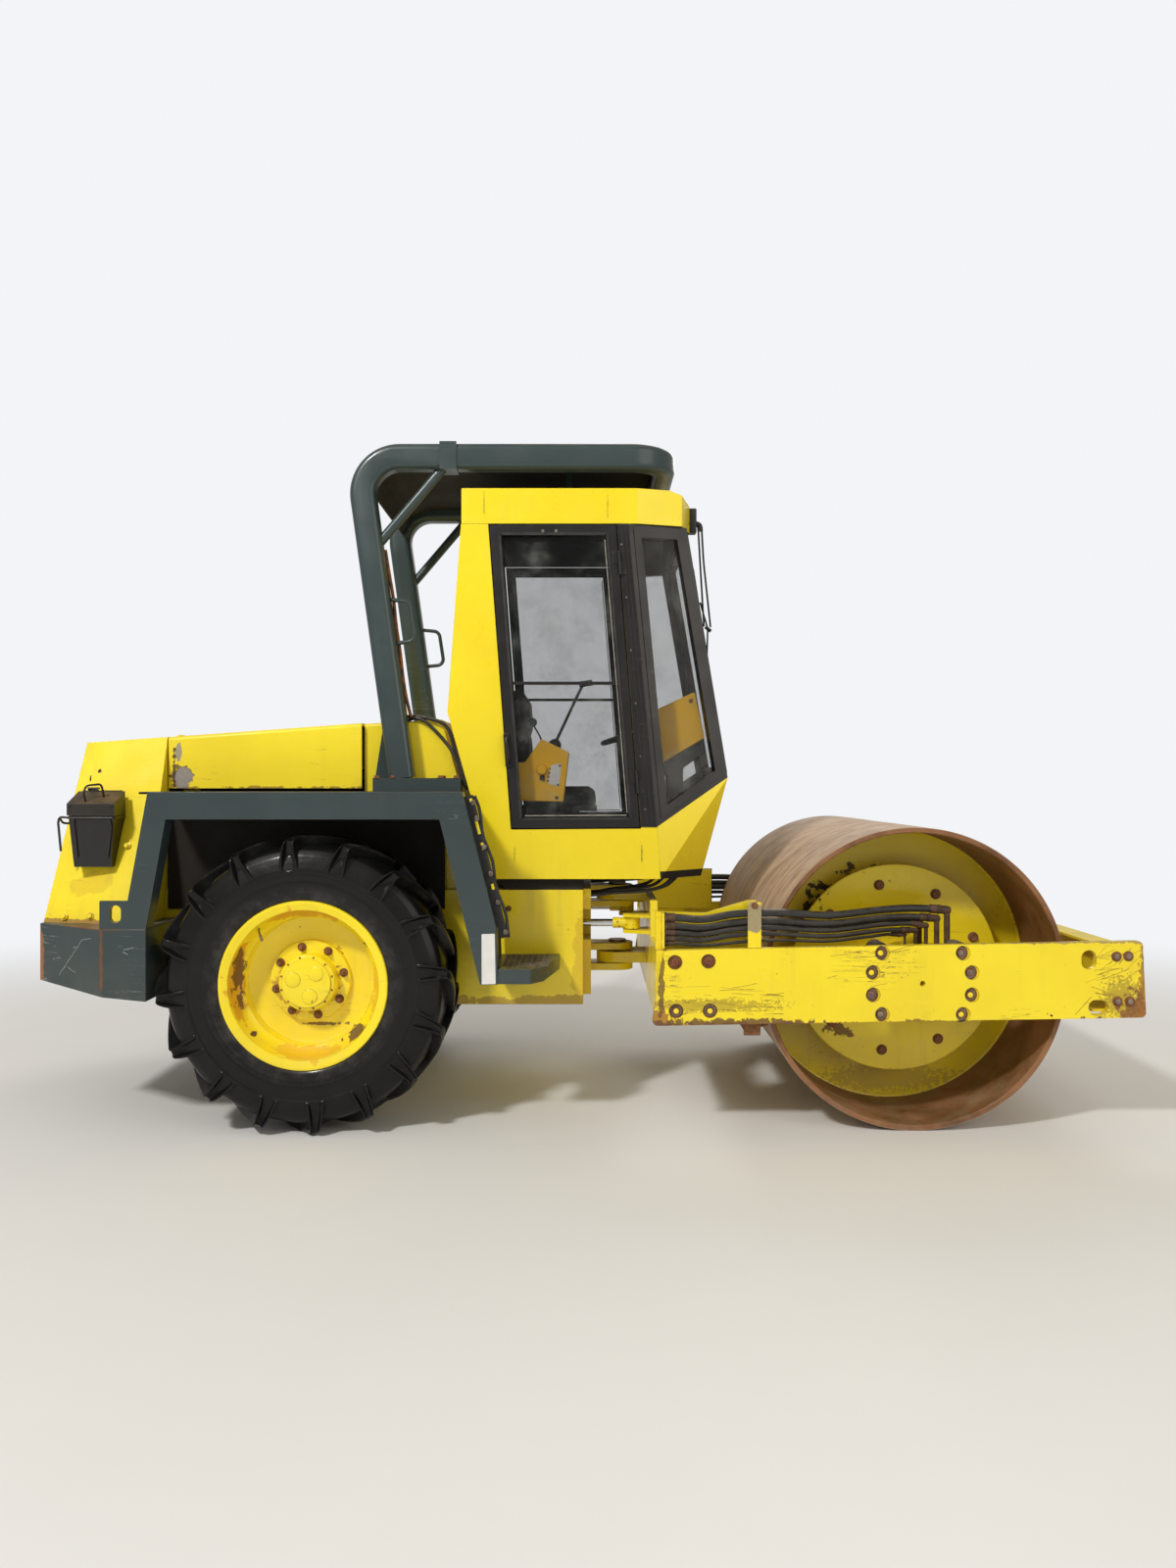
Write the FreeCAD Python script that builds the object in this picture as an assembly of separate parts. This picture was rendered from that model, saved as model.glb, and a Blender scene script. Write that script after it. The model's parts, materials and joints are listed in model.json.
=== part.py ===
import FreeCAD, Part
import math
import os

# Single-drum soil roller, hinged in the middle, with a cab and a roll-over frame.
# +X is forward, +Y is the machine's left, +Z is up. The origin is on the ground, at the
# middle of the overall length and width. All lengths are in millimetres, angles in degrees.

# Driving dimensions

REACH_FRONT = 2749         # lower front corner of the side plates
RUNNING_GAP = 0.3          # a shaft in its hole, or faces that slide
PANEL_GAP = 7              # between a door or lid and its frame

# Drum and its frame
DRUM_X = 1655
DRUM_RADIUS = 750
DRUM_WIDTH = 2100
DRUM_WALL = 28
WEB_FACE_Y = 510           # outer face of the dished end plate
WEB_THICKNESS = 25
HUB_PLATE_RADIUS = 542
HUB_PLATE_Y = 666          # outer face of the round bolted plate
HUB_PLATE_THICKNESS = 20
HUB_DRUM_RADIUS = 480
SPIGOT_RADIUS = 100
SPIGOT_DEPTH = 60

PLATE_OUTER_Y = 1150
PLATE_THICKNESS = 40
PLATE_CORNER_RADIUS = 24
PLATE_REAR_BOTTOM = (350, 539)
PLATE_REAR_TOP = (408, 907)
PLATE_FRONT_TOP = (REACH_FRONT - 18, 951)
PLATE_FRONT_BOTTOM = (REACH_FRONT, 580)
BUFFER_CIRCLE = 246
BUFFER_ANGLES = (12.7, 37.3)
BUFFER_RADIUS = 46
BOLT_POCKET_RADIUS = 35
BOLT_POCKET_DEPTH = 12
CARRIER_HALF = 300
CARRIER_HALF_HEIGHT = 165
CARRIER_THICKNESS = 30
CARRIER_Y = 960            # inner face of the motor carrier
MOTOR_RADIUS = 150

# Articulation
PIVOT_X = 210
PIVOT_PIN_RADIUS = 35
YOKE_PLATE_X = 372         # rear face of the front frame's cross plate
YOKE_PLATE_THICKNESS = 40
ARM_GAP = 8

# Rear wheels
WHEEL_X = -1349
TYRE_RADIUS = 730
TYRE_WIDTH = 467
LUG_HEIGHT = 38
LUGS_PER_SIDE = 16
RIM_SEAT_RADIUS = 385
RIM_FLANGE_RADIUS = 414
HUB_RADIUS = 140
SPINDLE_RADIUS = 70

# Rear frame
FRAME_HALF = 600
TYRE_GAP = 96.5            # between a frame plate and its tyre
WHEEL_Y = FRAME_HALF + TYRE_GAP + TYRE_WIDTH / 2
DISH_Y = WHEEL_Y + 16
HUB_END_Y = WHEEL_Y + 120
FRAME_PLATE = 30
FRAME_FRONT_X = 14
REAR_OVERHANG = 981        # rear end of the frame plates behind the axle
FRAME_REAR_X = WHEEL_X - REAR_OVERHANG
WEIGHT_DEPTH = 420         # rear face of the counterweight behind the frame plates
REACH_BACK = WEIGHT_DEPTH - FRAME_REAR_X
TYRE_CLEARANCE = 35        # between the tyre and the counterweight
FRAME_BOTTOM = 541
FRAME_TOP = 1150
AXLE_SEAT_Z = 850
FENDER_FACE_Y = WHEEL_Y + 200
FENDER_DEPTH = 110
DECK_Z = 1674
DECK_PLATE = 12
WEIGHT_TOP = 1005
WEIGHT_BOTTOM = 650
STEP_TOP = 810
STEP_HEIGHT = 73

# Rear housing, hood and cowl
HOUSING_FRONT_X = FRAME_REAR_X + 130
HOUSING_TOP_HALF = 598
HOUSING_FOOT_HALF = 930
HOUSING_WALL = 18
HOOD_TOP_FRONT = (-1165, 2038)
HOOD_TOP_REAR = (118 - REACH_BACK, 1933)
HOOD_SHEET = 14
COWL_HALF = 553
COWL_REAR_X = HOOD_TOP_FRONT[0] + PANEL_GAP

# Cab
CAB_HALF = 630
CAB_WALL = 40
CAB_FLOOR = 1210
CAB_EAVE = 3090
CAB_TOP = 3280
DOOR_THICKNESS = 36
DOOR_FRAME = 46
SEAL_WIDTH = 42
SEAL_PROUD = 5
GLASS = 6

# Roll-over frame
ROPS_Y = 620
ROPS_DEEP = 135            # seen from the side
ROPS_WIDE = 120            # seen from the front
ROPS_CORNER = 34
ROPS_FOOT = (-943, 1744)
ROPS_LEAN = 0.138          # the posts lean back by this much for each unit of height
ROPS_RAIL_Z = 3440
ROPS_FRONT_X = 450
ROPS_BEND = 195

PARTS = "parts"
DRUM_Z = DRUM_RADIUS
WHEEL_Z = TYRE_RADIUS
UP = FreeCAD.Vector(0, 0, 1)
ORIGIN = FreeCAD.Vector(0, 0, 0)
BIG = 9000


# Small shape helpers

def vec(x, y, z):
    return FreeCAD.Vector(x, y, z)


def box(x0, x1, y0, y1, z0, z1):
    """Block between two corners."""
    return Part.makeBox(x1 - x0, y1 - y0, z1 - z0, vec(x0, y0, z0))


def polygon_face(points):
    return Part.Face(Part.makePolygon(list(points) + [points[0]]))


def side_prism(outline, y0, y1):
    """Outline of (x, z) points carried across the machine from y0 to y1."""
    return polygon_face([vec(x, y0, z) for x, z in outline]).extrude(vec(0, y1 - y0, 0))


def plan_prism(outline, z0, z1):
    """Outline of (x, y) points carried up from z0 to z1."""
    return polygon_face([vec(x, y, z0) for x, y in outline]).extrude(vec(0, 0, z1 - z0))


def front_prism(outline, x0, x1):
    """Outline of (y, z) points carried forward from x0 to x1."""
    return polygon_face([vec(x0, y, z) for y, z in outline]).extrude(vec(x1 - x0, 0, 0))


def cross_cylinder(x, z, radius, y0, y1):
    """Cylinder across the machine from y0 to y1."""
    return Part.makeCylinder(radius, y1 - y0, vec(x, y0, z), vec(0, 1, 0))


def post(x, y, radius, z0, z1):
    return Part.makeCylinder(radius, z1 - z0, vec(x, y, z0), UP)


def rod(start, end, radius):
    axis = end - start
    return Part.makeCylinder(radius, axis.Length, start, axis)


def mirrored(shape):
    """The same piece on the machine's left side."""
    return shape.mirror(ORIGIN, vec(0, 1, 0))


def both_sides(shape):
    return [shape, mirrored(shape)]


def fused(shapes):
    result = shapes[0]
    for other in shapes[1:]:
        result = result.fuse(other)
    return result.removeSplitter()


def cut_all(shape, tools):
    for tool in tools:
        shape = shape.cut(tool)
    return shape


def group(shapes):
    return Part.makeCompound(shapes)


def filleted(shape, radius, wanted):
    """Round the edges for which wanted(edge) is true."""
    edges = [edge for edge in shape.Edges if wanted(edge)]
    return shape.makeFillet(radius, edges)


def runs_along(edge, direction):
    if len(edge.Vertexes) != 2:
        return False
    span = edge.Vertexes[1].Point - edge.Vertexes[0].Point
    if span.Length < 1e-6:
        return False
    return abs(abs(span.normalize().dot(direction)) - 1) < 1e-4


def rounded_path(points, radii):
    """Straight runs between the points, joined by tangent arcs of the given radii."""
    edges = []
    last = points[0]
    for before, corner, after, radius in zip(points, points[1:], points[2:], radii):
        into = (before - corner).normalize()
        out = (after - corner).normalize()
        half_turn = (math.pi - into.getAngle(out)) / 2
        reach = radius * math.tan(half_turn)
        start = corner + into * reach
        end = corner + out * reach
        middle_way = (into + out).normalize()
        middle = corner + middle_way * (radius / math.cos(half_turn) - radius)
        edges.append(Part.LineSegment(last, start).toShape())
        edges.append(Part.Arc(start, middle, end).toShape())
        last = end
    edges.append(Part.LineSegment(last, points[-1]).toShape())
    return Part.Wire(edges)


def free_radii(points, share=0.45):
    """For a hose: the largest arcs that its runs allow."""
    radii = []
    for before, corner, after in zip(points, points[1:], points[2:]):
        into = before - corner
        out = after - corner
        shorter = min(into.Length, out.Length)
        half_turn = (math.pi - into.getAngle(out)) / 2
        radii.append(share * shorter / math.tan(half_turn))
    return radii


def swept(path, profile):
    return path.makePipeShell([profile], True, False)


def round_tube(points, radii, radius):
    """Round bar along a path."""
    path = rounded_path(points, radii)
    heading = points[1] - points[0]
    profile = Part.Wire(Part.Circle(points[0], heading, radius).toShape())
    return swept(path, profile)


def hollow_tube(points, radii, wide, deep, corner, heading, across):
    """Solid bar of rounded rectangular section along a path."""
    path = rounded_path(points, radii)
    normal = heading.cross(across).normalize()
    half_wide = across * (wide / 2)
    half_deep = normal * (deep / 2)
    corners = [half_wide + half_deep, half_deep - half_wide]
    corners += [half_wide * -1 - half_deep, half_wide - half_deep]
    corners = [points[0] + offset for offset in corners]
    ring = corners + corners[:2]
    radii_of_section = [corner] * 4
    start = (ring[0] + ring[1]) * 0.5
    loop = [start] + ring[1:5] + [start]
    return swept(path, rounded_path(loop, radii_of_section))


def half_space(point, outward):
    """Everything on the outer side of a plane, as a large block."""
    block = Part.makeBox(2 * BIG, 2 * BIG, BIG, vec(-BIG, -BIG, 0))
    block.Placement = FreeCAD.Placement(point, FreeCAD.Rotation(UP, outward))
    return block


def inset_polygon(points, margin):
    """Corners of a flat convex polygon with every side moved inwards by margin."""
    count = len(points)
    normal = (points[1] - points[0]).cross(points[2] - points[1]).normalize()
    result = []
    for index in range(count):
        back = (points[index] - points[index - 1]).normalize()
        ahead = (points[(index + 1) % count] - points[index]).normalize()
        inward_back = normal.cross(back)
        inward_ahead = normal.cross(ahead)
        half = (inward_back + inward_ahead).normalize()
        result.append(points[index] + half * (margin / half.dot(inward_back)))
    return result


def slab(points, outward, start, end):
    """Flat polygon carried along outward, from start to end measured from its own plane."""
    moved = [point + outward * start for point in points]
    return polygon_face(moved).extrude(outward * (end - start))


def save(name, shape):
    shape.exportStep(os.path.join(PARTS, name + ".step"))


# Drum

def drum_shell():
    half = DRUM_WIDTH / 2
    outer = cross_cylinder(DRUM_X, DRUM_Z, DRUM_RADIUS, -half, half)
    bore = cross_cylinder(DRUM_X, DRUM_Z, DRUM_RADIUS - DRUM_WALL, -half, half)
    return outer.cut(bore)


def drum_webs():
    """Both end plates with their hub drums, round plates and the tube between them."""
    end_radius = DRUM_RADIUS - DRUM_WALL
    inner = WEB_FACE_Y - WEB_THICKNESS
    web = cross_cylinder(DRUM_X, DRUM_Z, end_radius, -WEB_FACE_Y, -inner)
    drum = cross_cylinder(DRUM_X, DRUM_Z, HUB_DRUM_RADIUS, -HUB_PLATE_Y, -inner)
    plate_inner = HUB_PLATE_Y - HUB_PLATE_THICKNESS
    plate = cross_cylinder(DRUM_X, DRUM_Z, HUB_PLATE_RADIUS, -HUB_PLATE_Y, -plate_inner)
    side = fused([web, drum, plate])
    tube = cross_cylinder(DRUM_X, DRUM_Z, SPIGOT_RADIUS + 60, -WEB_FACE_Y, WEB_FACE_Y)
    bore_radius = SPIGOT_RADIUS + RUNNING_GAP
    bore_end = HUB_PLATE_Y - SPIGOT_DEPTH - RUNNING_GAP
    bores = both_sides(cross_cylinder(DRUM_X, DRUM_Z, bore_radius, -HUB_PLATE_Y, -bore_end))
    return cut_all(fused(both_sides(side) + [tube]), bores)


# Front frame

def plate_outline():
    return [PLATE_REAR_BOTTOM, PLATE_REAR_TOP, PLATE_FRONT_TOP, PLATE_FRONT_BOTTOM]


def buffer_centres():
    """Places of the eight rubber buffers round the drum's axis, seen from the side."""
    centres = []
    for side in (0, 180):
        for angle in BUFFER_ANGLES:
            for sign in (-1, 1):
                turn = math.radians(side + sign * angle)
                centres.append((DRUM_X + 9 + BUFFER_CIRCLE * math.cos(turn),
                                DRUM_Z - 6 + BUFFER_CIRCLE * math.sin(turn)))
    return centres


def oval_hole(x, z, wide, high, y0, y1):
    """Oval lashing hole through a plate, long way up or along as its sizes say."""
    radius = min(wide, high) / 2
    run = (max(wide, high) / 2) - radius
    if high > wide:
        ends = [(x, z - run), (x, z + run)]
        middle = box(x - radius, x + radius, y0, y1, z - run, z + run)
    else:
        ends = [(x - run, z), (x + run, z)]
        middle = box(x - run, x + run, y0, y1, z - radius, z + radius)
    return fused([cross_cylinder(cx, cz, radius, y0, y1) for cx, cz in ends] + [middle])


# x, z, wide, high
LASHING_HOLES = [
    (REACH_FRONT - 278, 859, 73, 93),
    (REACH_FRONT - 232, 629, 97, 70),
]
# x, z of the four bolts that hold the side plate to the cross plate's end blocks
END_BOLTS = [(462, 847), (625, 852), (468, 611), (632, 612)]


def side_plate_right():
    outer, inner = -PLATE_OUTER_Y, -PLATE_OUTER_Y + PLATE_THICKNESS
    plate = side_prism(plate_outline(), outer, inner)
    across = vec(0, 1, 0)
    plate = filleted(plate, PLATE_CORNER_RADIUS, lambda edge: runs_along(edge, across))
    cuts = [oval_hole(*hole, outer - 1, inner + 1) for hole in LASHING_HOLES]
    cuts.append(cross_cylinder(DRUM_X + 9, DRUM_Z - 6, 13, outer - 1, inner + 1))
    for x, z in buffer_centres() + END_BOLTS:
        cuts.append(cross_cylinder(x, z, BOLT_POCKET_RADIUS, outer - 1, outer + BOLT_POCKET_DEPTH))
    return cut_all(plate, cuts)


BEAM_FRONT_X = REACH_FRONT - 139
BEAM_REAR_X = BEAM_FRONT_X - 110
BEAM_SHEET = 16
BEAM_TOP = 946
BEAM_BOTTOM = 600


def front_beam():
    """Channel between the side plates at the front, open to the rear."""
    inner = PLATE_OUTER_Y - PLATE_THICKNESS
    outline = [
        (BEAM_REAR_X, BEAM_TOP), (BEAM_FRONT_X, BEAM_TOP),
        (BEAM_FRONT_X, BEAM_BOTTOM), (BEAM_REAR_X, BEAM_BOTTOM),
        (BEAM_REAR_X, BEAM_BOTTOM + BEAM_SHEET),
        (BEAM_FRONT_X - BEAM_SHEET, BEAM_BOTTOM + BEAM_SHEET),
        (BEAM_FRONT_X - BEAM_SHEET, BEAM_TOP - BEAM_SHEET),
        (BEAM_REAR_X, BEAM_TOP - BEAM_SHEET),
    ]
    return side_prism(outline, -inner, inner)


LOWER_ARM = (690, 750)     # bottom and top of the front frame's lower arm
UPPER_ARM = (1050, 1090)
ARM_RADIUS = 120
CLEVIS_Y = 435
CLEVIS_X = 280
CLEVIS_Z = 957
CLEVIS_GAP = 34            # half the opening between the clevis plates
CLEVIS_PLATE = 18
YOKE_TOP = 1090
YOKE_MIDDLE_HALF = 560


def articulation_arm(bottom, top, radius):
    """Round-ended arm on the front frame with its hole for the pivot pin."""
    disc = post(PIVOT_X, 0, radius, bottom, top)
    block = box(PIVOT_X, YOKE_PLATE_X, -radius, radius, bottom, top)
    hole = post(PIVOT_X, 0, PIVOT_PIN_RADIUS + RUNNING_GAP, bottom - 1, top + 1)
    return fused([disc, block]).cut(hole)


def steering_clevis():
    """Two plates above and below the right steering rod's eye."""
    rear = CLEVIS_X - 48
    plates = []
    for start in (CLEVIS_Z - CLEVIS_GAP - CLEVIS_PLATE, CLEVIS_Z + CLEVIS_GAP):
        outline = [
            (YOKE_PLATE_X, -CLEVIS_Y - 105), (YOKE_PLATE_X, -CLEVIS_Y + 105),
            (rear, -CLEVIS_Y + 42), (rear, -CLEVIS_Y - 42),
        ]
        plates.append(plan_prism(outline, start, start + CLEVIS_PLATE))
    return plates


HOSE_WALL_Y = 1060         # outer face of the wall behind the hoses
BULKHEAD_TOP = 1086
CLAMP_X = 849
CLAMP_TOP = 1140


def articulation_yoke():
    """Cross plate at the rear of the front frame with its arms, end blocks and hose wall."""
    inner = PLATE_OUTER_Y - PLATE_THICKNESS
    front = YOKE_PLATE_X + YOKE_PLATE_THICKNESS
    outline = [
        (-inner, 560), (inner, 560), (inner, 900), (YOKE_MIDDLE_HALF + 60, 900),
        (YOKE_MIDDLE_HALF, YOKE_TOP), (-YOKE_MIDDLE_HALF, YOKE_TOP),
        (-YOKE_MIDDLE_HALF - 60, 900), (-inner, 900),
    ]
    plate = front_prism(outline, YOKE_PLATE_X, front)
    pieces = [plate, articulation_arm(*LOWER_ARM, ARM_RADIUS), articulation_arm(*UPPER_ARM, ARM_RADIUS)]
    for piece in steering_clevis():
        pieces += both_sides(piece)
    end_block = side_prism(
        [(front, 572), (front, 890), (front + 270, 890), (front + 270, 572)], -inner, -inner + 60)
    pieces += both_sides(end_block)
    wall_end = CLAMP_X + 20
    hose_wall = side_prism(
        [(YOKE_PLATE_X, 880), (YOKE_PLATE_X, BULKHEAD_TOP), (620, BULKHEAD_TOP - 8), (CLAMP_X - 114, 1114),
         (CLAMP_X - 20, CLAMP_TOP), (wall_end, CLAMP_TOP), (wall_end, 880)],
        -HOSE_WALL_Y, -HOSE_WALL_Y + 15)
    pieces += both_sides(hose_wall)
    bulkhead = box(front - 12, front, -inner - 36, -HOSE_WALL_Y + 15, PLATE_REAR_TOP[1] + 5, BULKHEAD_TOP)
    pieces += both_sides(bulkhead)
    return fused(pieces)


MANIFOLD_X = (1625, 1890)
MANIFOLD_INNER_Y = 845
MANIFOLD_TOP = 900


def drum_carriers():
    """Plate, drive motor and spigot on each side of the drum."""
    outer = CARRIER_Y + CARRIER_THICKNESS
    half, high = CARRIER_HALF, CARRIER_HALF_HEIGHT
    cut = 70
    x, z = DRUM_X + 9, DRUM_Z - 6
    outline = [
        (x - half, z - high + cut), (x - half, z + high - cut), (x - half + cut, z + high), (x + half - cut, z + high),
        (x + half, z + high - cut), (x + half, z - high + cut), (x + half - cut, z - high), (x - half + cut, z - high),
    ]
    plate = side_prism(outline, -outer, -CARRIER_Y)
    motor = cross_cylinder(DRUM_X, DRUM_Z, MOTOR_RADIUS, -CARRIER_Y, -HUB_PLATE_Y - 90)
    manifold = box(*MANIFOLD_X, -CARRIER_Y + 5, -MANIFOLD_INNER_Y, DRUM_Z + 50, MANIFOLD_TOP)
    neck = cross_cylinder(DRUM_X, DRUM_Z, MOTOR_RADIUS + 40, -HUB_PLATE_Y - 90, -HUB_PLATE_Y - 12)
    spigot_end = HUB_PLATE_Y - SPIGOT_DEPTH
    spigot = cross_cylinder(DRUM_X, DRUM_Z, SPIGOT_RADIUS, -HUB_PLATE_Y - 12, -spigot_end)
    return group(both_sides(fused([plate, motor, manifold, neck, spigot])))


def rubber_buffers():
    """Rubber buffers between the carriers and the side plates."""
    start = CARRIER_Y + CARRIER_THICKNESS
    end = PLATE_OUTER_Y - PLATE_THICKNESS
    buffers = []
    for x, z in buffer_centres():
        buffers += both_sides(cross_cylinder(x, z, BUFFER_RADIUS, -end, -start))
    return group(buffers)


SCRAPER_X = 862
SCRAPER_Z = 500


def drum_scraper():
    """Scraper bar behind the drum with a bracket to each side plate."""
    inner = PLATE_OUTER_Y - PLATE_THICKNESS
    x, z = SCRAPER_X, SCRAPER_Z
    blade = [(x - 4, z + 12), (x + 70, z + 26), (x + 74, z + 16), (x - 4, z - 2)]
    bar = [(x - 50, z - 10), (x, z - 10), (x, z + 40), (x - 50, z + 40)]
    bracket = [(x - 60, z - 16), (x + 20, z - 16), (x + 30, 640), (x - 60, 640)]
    pieces = [side_prism(blade, -inner + 90, inner - 90), side_prism(bar, -inner + 20, inner - 20)]
    pieces += both_sides(side_prism(bracket, -inner, -inner + 20))
    return fused(pieces)


# Hoses along the side plate, from the hose bulkhead to the drum motor

HOSE_END_GAP = 0.3         # between a hose's end and the face it is screwed to
HOSE_START_X = YOKE_PLATE_X + YOKE_PLATE_THICKNESS + HOSE_END_GAP
CLAMP_FACE_Y = 1138        # inner face of the clamp strap
CLAMP_WIDE = 66
CLAMP_THICK = 8
# One row for each hose of a side: its radius, then its points as x, y from the middle, z
HOSES = [
    (19, [(HOSE_START_X, 1118, 1062), (480, 1118, 1062), (600, 1118, 1048), (735, 1118, 1078), (849, 1118, 1085),
          (1000, 1118, 1085), (1120, 1105, 1073), (1240, 1075, 1066), (1370, 1020, 1074), (1500, 960, 1082),
          (1640, 915, 1086), (1760, 900, 1083), (1822, 900, 1078)]),
    (17, [(HOSE_START_X, 1118, 1022), (480, 1118, 1022), (600, 1118, 1008), (735, 1118, 1038), (849, 1118, 1045),
          (1000, 1118, 1045), (1120, 1105, 1033), (1240, 1075, 1026), (1370, 1020, 1034), (1500, 960, 1042),
          (1620, 915, 1044), (1720, 900, 1041), (1772, 900, 1036)]),
    (13, [(HOSE_START_X, 1118, 988), (480, 1118, 988), (600, 1118, 974), (735, 1118, 1004), (849, 1118, 1011),
          (1000, 1118, 1011), (1120, 1105, 999), (1240, 1075, 992), (1370, 1020, 1000), (1500, 960, 1008),
          (1620, 915, 1009), (1690, 900, 1006), (1722, 900, 1001)]),
    (12, [(HOSE_START_X, 1118, 960), (480, 1118, 960), (600, 1118, 946), (735, 1118, 975), (849, 1118, 982),
          (1000, 1118, 982), (1120, 1105, 970), (1240, 1075, 963), (1370, 1020, 971), (1500, 960, 979),
          (1600, 915, 979), (1672, 900, 973)]),
    (8, [(HOSE_START_X, 1118, 936), (480, 1118, 936), (600, 1118, 924), (735, 1118, 936), (849, 1118, 949),
         (1000, 1118, 951), (1120, 1105, 945), (1240, 1075, 940), (1370, 1020, 948), (1500, 960, 954),
         (1560, 915, 955), (1622, 900, 951)]),
    (15, [(HOSE_START_X, 1080, 1004), (480, 1080, 1004), (600, 1080, 992), (700, 1081, 1012), (849, 1083, 1022),
          (1000, 1081, 1020), (1120, 1066, 1010), (1240, 1034, 1002), (1370, 980, 1008), (1500, 920, 1016),
          (1620, 874, 1018), (1700, 862, 1014)]),
]


def hose_route(row):
    """Points of one right-hand hose."""
    return [vec(x, -y, z) for x, y, z in row[1]]


def hose_elbow(end, heading, radius):
    """Fitting that takes a hose's end down into the manifold."""
    start = end + heading * HOSE_END_GAP
    knee = start + heading * (radius + 16)
    foot = vec(knee.x, knee.y, MANIFOLD_TOP + HOSE_END_GAP)
    return fused([rod(start, knee, radius + 2.5), Part.makeSphere(radius + 2.5, knee), rod(knee, foot, radius * 0.8)])


def hoses_right():
    """Hose solids and the hardware that holds them."""
    tubes = []
    hardware = []
    for row in HOSES:
        radius = row[0]
        points = hose_route(row)
        tubes.append(round_tube(points, free_radii(points), radius))
        hardware.append(hose_elbow(points[-1], (points[-1] - points[-2]).normalize(), radius))
    plate_top = PLATE_REAR_TOP[1] + (PLATE_FRONT_TOP[1] - PLATE_REAR_TOP[1]) * (
        (CLAMP_X - PLATE_REAR_TOP[0]) / (PLATE_FRONT_TOP[0] - PLATE_REAR_TOP[0]))
    foot = plate_top + 1
    strap = box(CLAMP_X - CLAMP_WIDE / 2, CLAMP_X + CLAMP_WIDE / 2, -CLAMP_FACE_Y - CLAMP_THICK, -CLAMP_FACE_Y,
                foot, CLAMP_TOP)
    bolt_z = CLAMP_TOP - 18
    spacer = rod(vec(CLAMP_X, -CLAMP_FACE_Y, bolt_z), vec(CLAMP_X, -HOSE_WALL_Y - HOSE_END_GAP, bolt_z), 9)
    hardware.append(fused([strap, spacer]))
    return tubes, hardware


# Rear frame

def main_frame():
    """Side plates, decks and bulkheads, with the pivot lugs at the front."""
    inner = FRAME_HALF - FRAME_PLATE
    outline = [
        (FRAME_FRONT_X, FRAME_BOTTOM), (FRAME_FRONT_X, FRAME_TOP), (FRAME_REAR_X, FRAME_TOP),
        (FRAME_REAR_X, 930), (FRAME_REAR_X + 260, AXLE_SEAT_Z), (-900, AXLE_SEAT_Z),
        (-760, FRAME_BOTTOM),
    ]
    plate = side_prism(outline, -FRAME_HALF, -inner)
    pieces = both_sides(plate)
    front = FRAME_FRONT_X
    pieces.append(box(front - 44, front, -inner, inner, FRAME_BOTTOM, FRAME_TOP))
    pieces.append(box(front, front + 42, -520, 520, FRAME_BOTTOM + 40, FRAME_TOP))
    pieces.append(box(-750, front - 44, -inner, inner, FRAME_BOTTOM, FRAME_BOTTOM + 20))
    pieces.append(box(-760, front - 44, -inner, inner, FRAME_TOP - 20, FRAME_TOP))
    pieces.append(box(-790, -760, -inner, inner, FRAME_BOTTOM + 100, FRAME_TOP))
    pieces.append(box(FRAME_REAR_X, FRAME_REAR_X + 30, -inner, inner, 930, FRAME_TOP))
    for x in (-2060, -1410):
        pieces.append(box(x, x + 70, -inner, inner, 950, 1000))
    for bottom, top in lug_heights():
        disc = post(PIVOT_X, 0, 90, bottom, top)
        block = box(front + 42, PIVOT_X, -90, 90, bottom, top)
        pieces.append(fused([disc, block]).cut(post(PIVOT_X, 0, PIVOT_PIN_RADIUS, bottom, top)))
    windows = [box(front - 50, front + 50, sign * CLEVIS_Y - 110, sign * CLEVIS_Y + 110,
                   CLEVIS_Z - 80, CLEVIS_Z + 80) for sign in (-1, 1)]
    ears = []
    for start in (CLEVIS_Z - 45 - 16, CLEVIS_Z + 45):
        ear = box(BARREL_PIVOT_X - 40, BARREL_PIVOT_X + 40, -inner, -CLEVIS_Y + 50, start, start + 16)
        ears += both_sides(ear)
    return cut_all(fused(pieces + ears), windows)


def lug_heights():
    """Bottom and top of each lug of the rear frame, above and below the front frame's arms."""
    heights = []
    for bottom, top in (LOWER_ARM, UPPER_ARM):
        thickness = 40 if (bottom, top) == LOWER_ARM else 34
        heights.append((bottom - ARM_GAP - thickness, bottom - ARM_GAP))
        heights.append((top + ARM_GAP, top + ARM_GAP + thickness))
    return heights


def articulation_pins():
    pins = []
    lugs = lug_heights()
    for low, high in ((lugs[0], lugs[1]), (lugs[2], lugs[3])):
        pins.append(fused([
            post(PIVOT_X, 0, PIVOT_PIN_RADIUS, low[0], high[1]),
            post(PIVOT_X, 0, PIVOT_PIN_RADIUS + 15, high[1], high[1] + 14),
        ]))
    return group(pins)


BARREL_PIVOT_X = -700
ROD_INNER_X = -300         # inner end of the rod with the machine straight
BARREL_RADIUS = 42
BARREL_END_X = -60
ROD_RADIUS = 20
EYE_RADIUS = 44
EYE_HALF = 30


def steering_barrel_right():
    y = -CLEVIS_Y
    tube = rod(vec(BARREL_PIVOT_X, y, CLEVIS_Z), vec(BARREL_END_X, y, CLEVIS_Z), BARREL_RADIUS)
    eye = post(BARREL_PIVOT_X, y, 46, CLEVIS_Z - 44.5, CLEVIS_Z + 44.5)
    bore = rod(vec(BARREL_PIVOT_X + 60, y, CLEVIS_Z), vec(BARREL_END_X + 1, y, CLEVIS_Z),
               ROD_RADIUS + RUNNING_GAP)
    return fused([tube, eye]).cut(bore)


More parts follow.
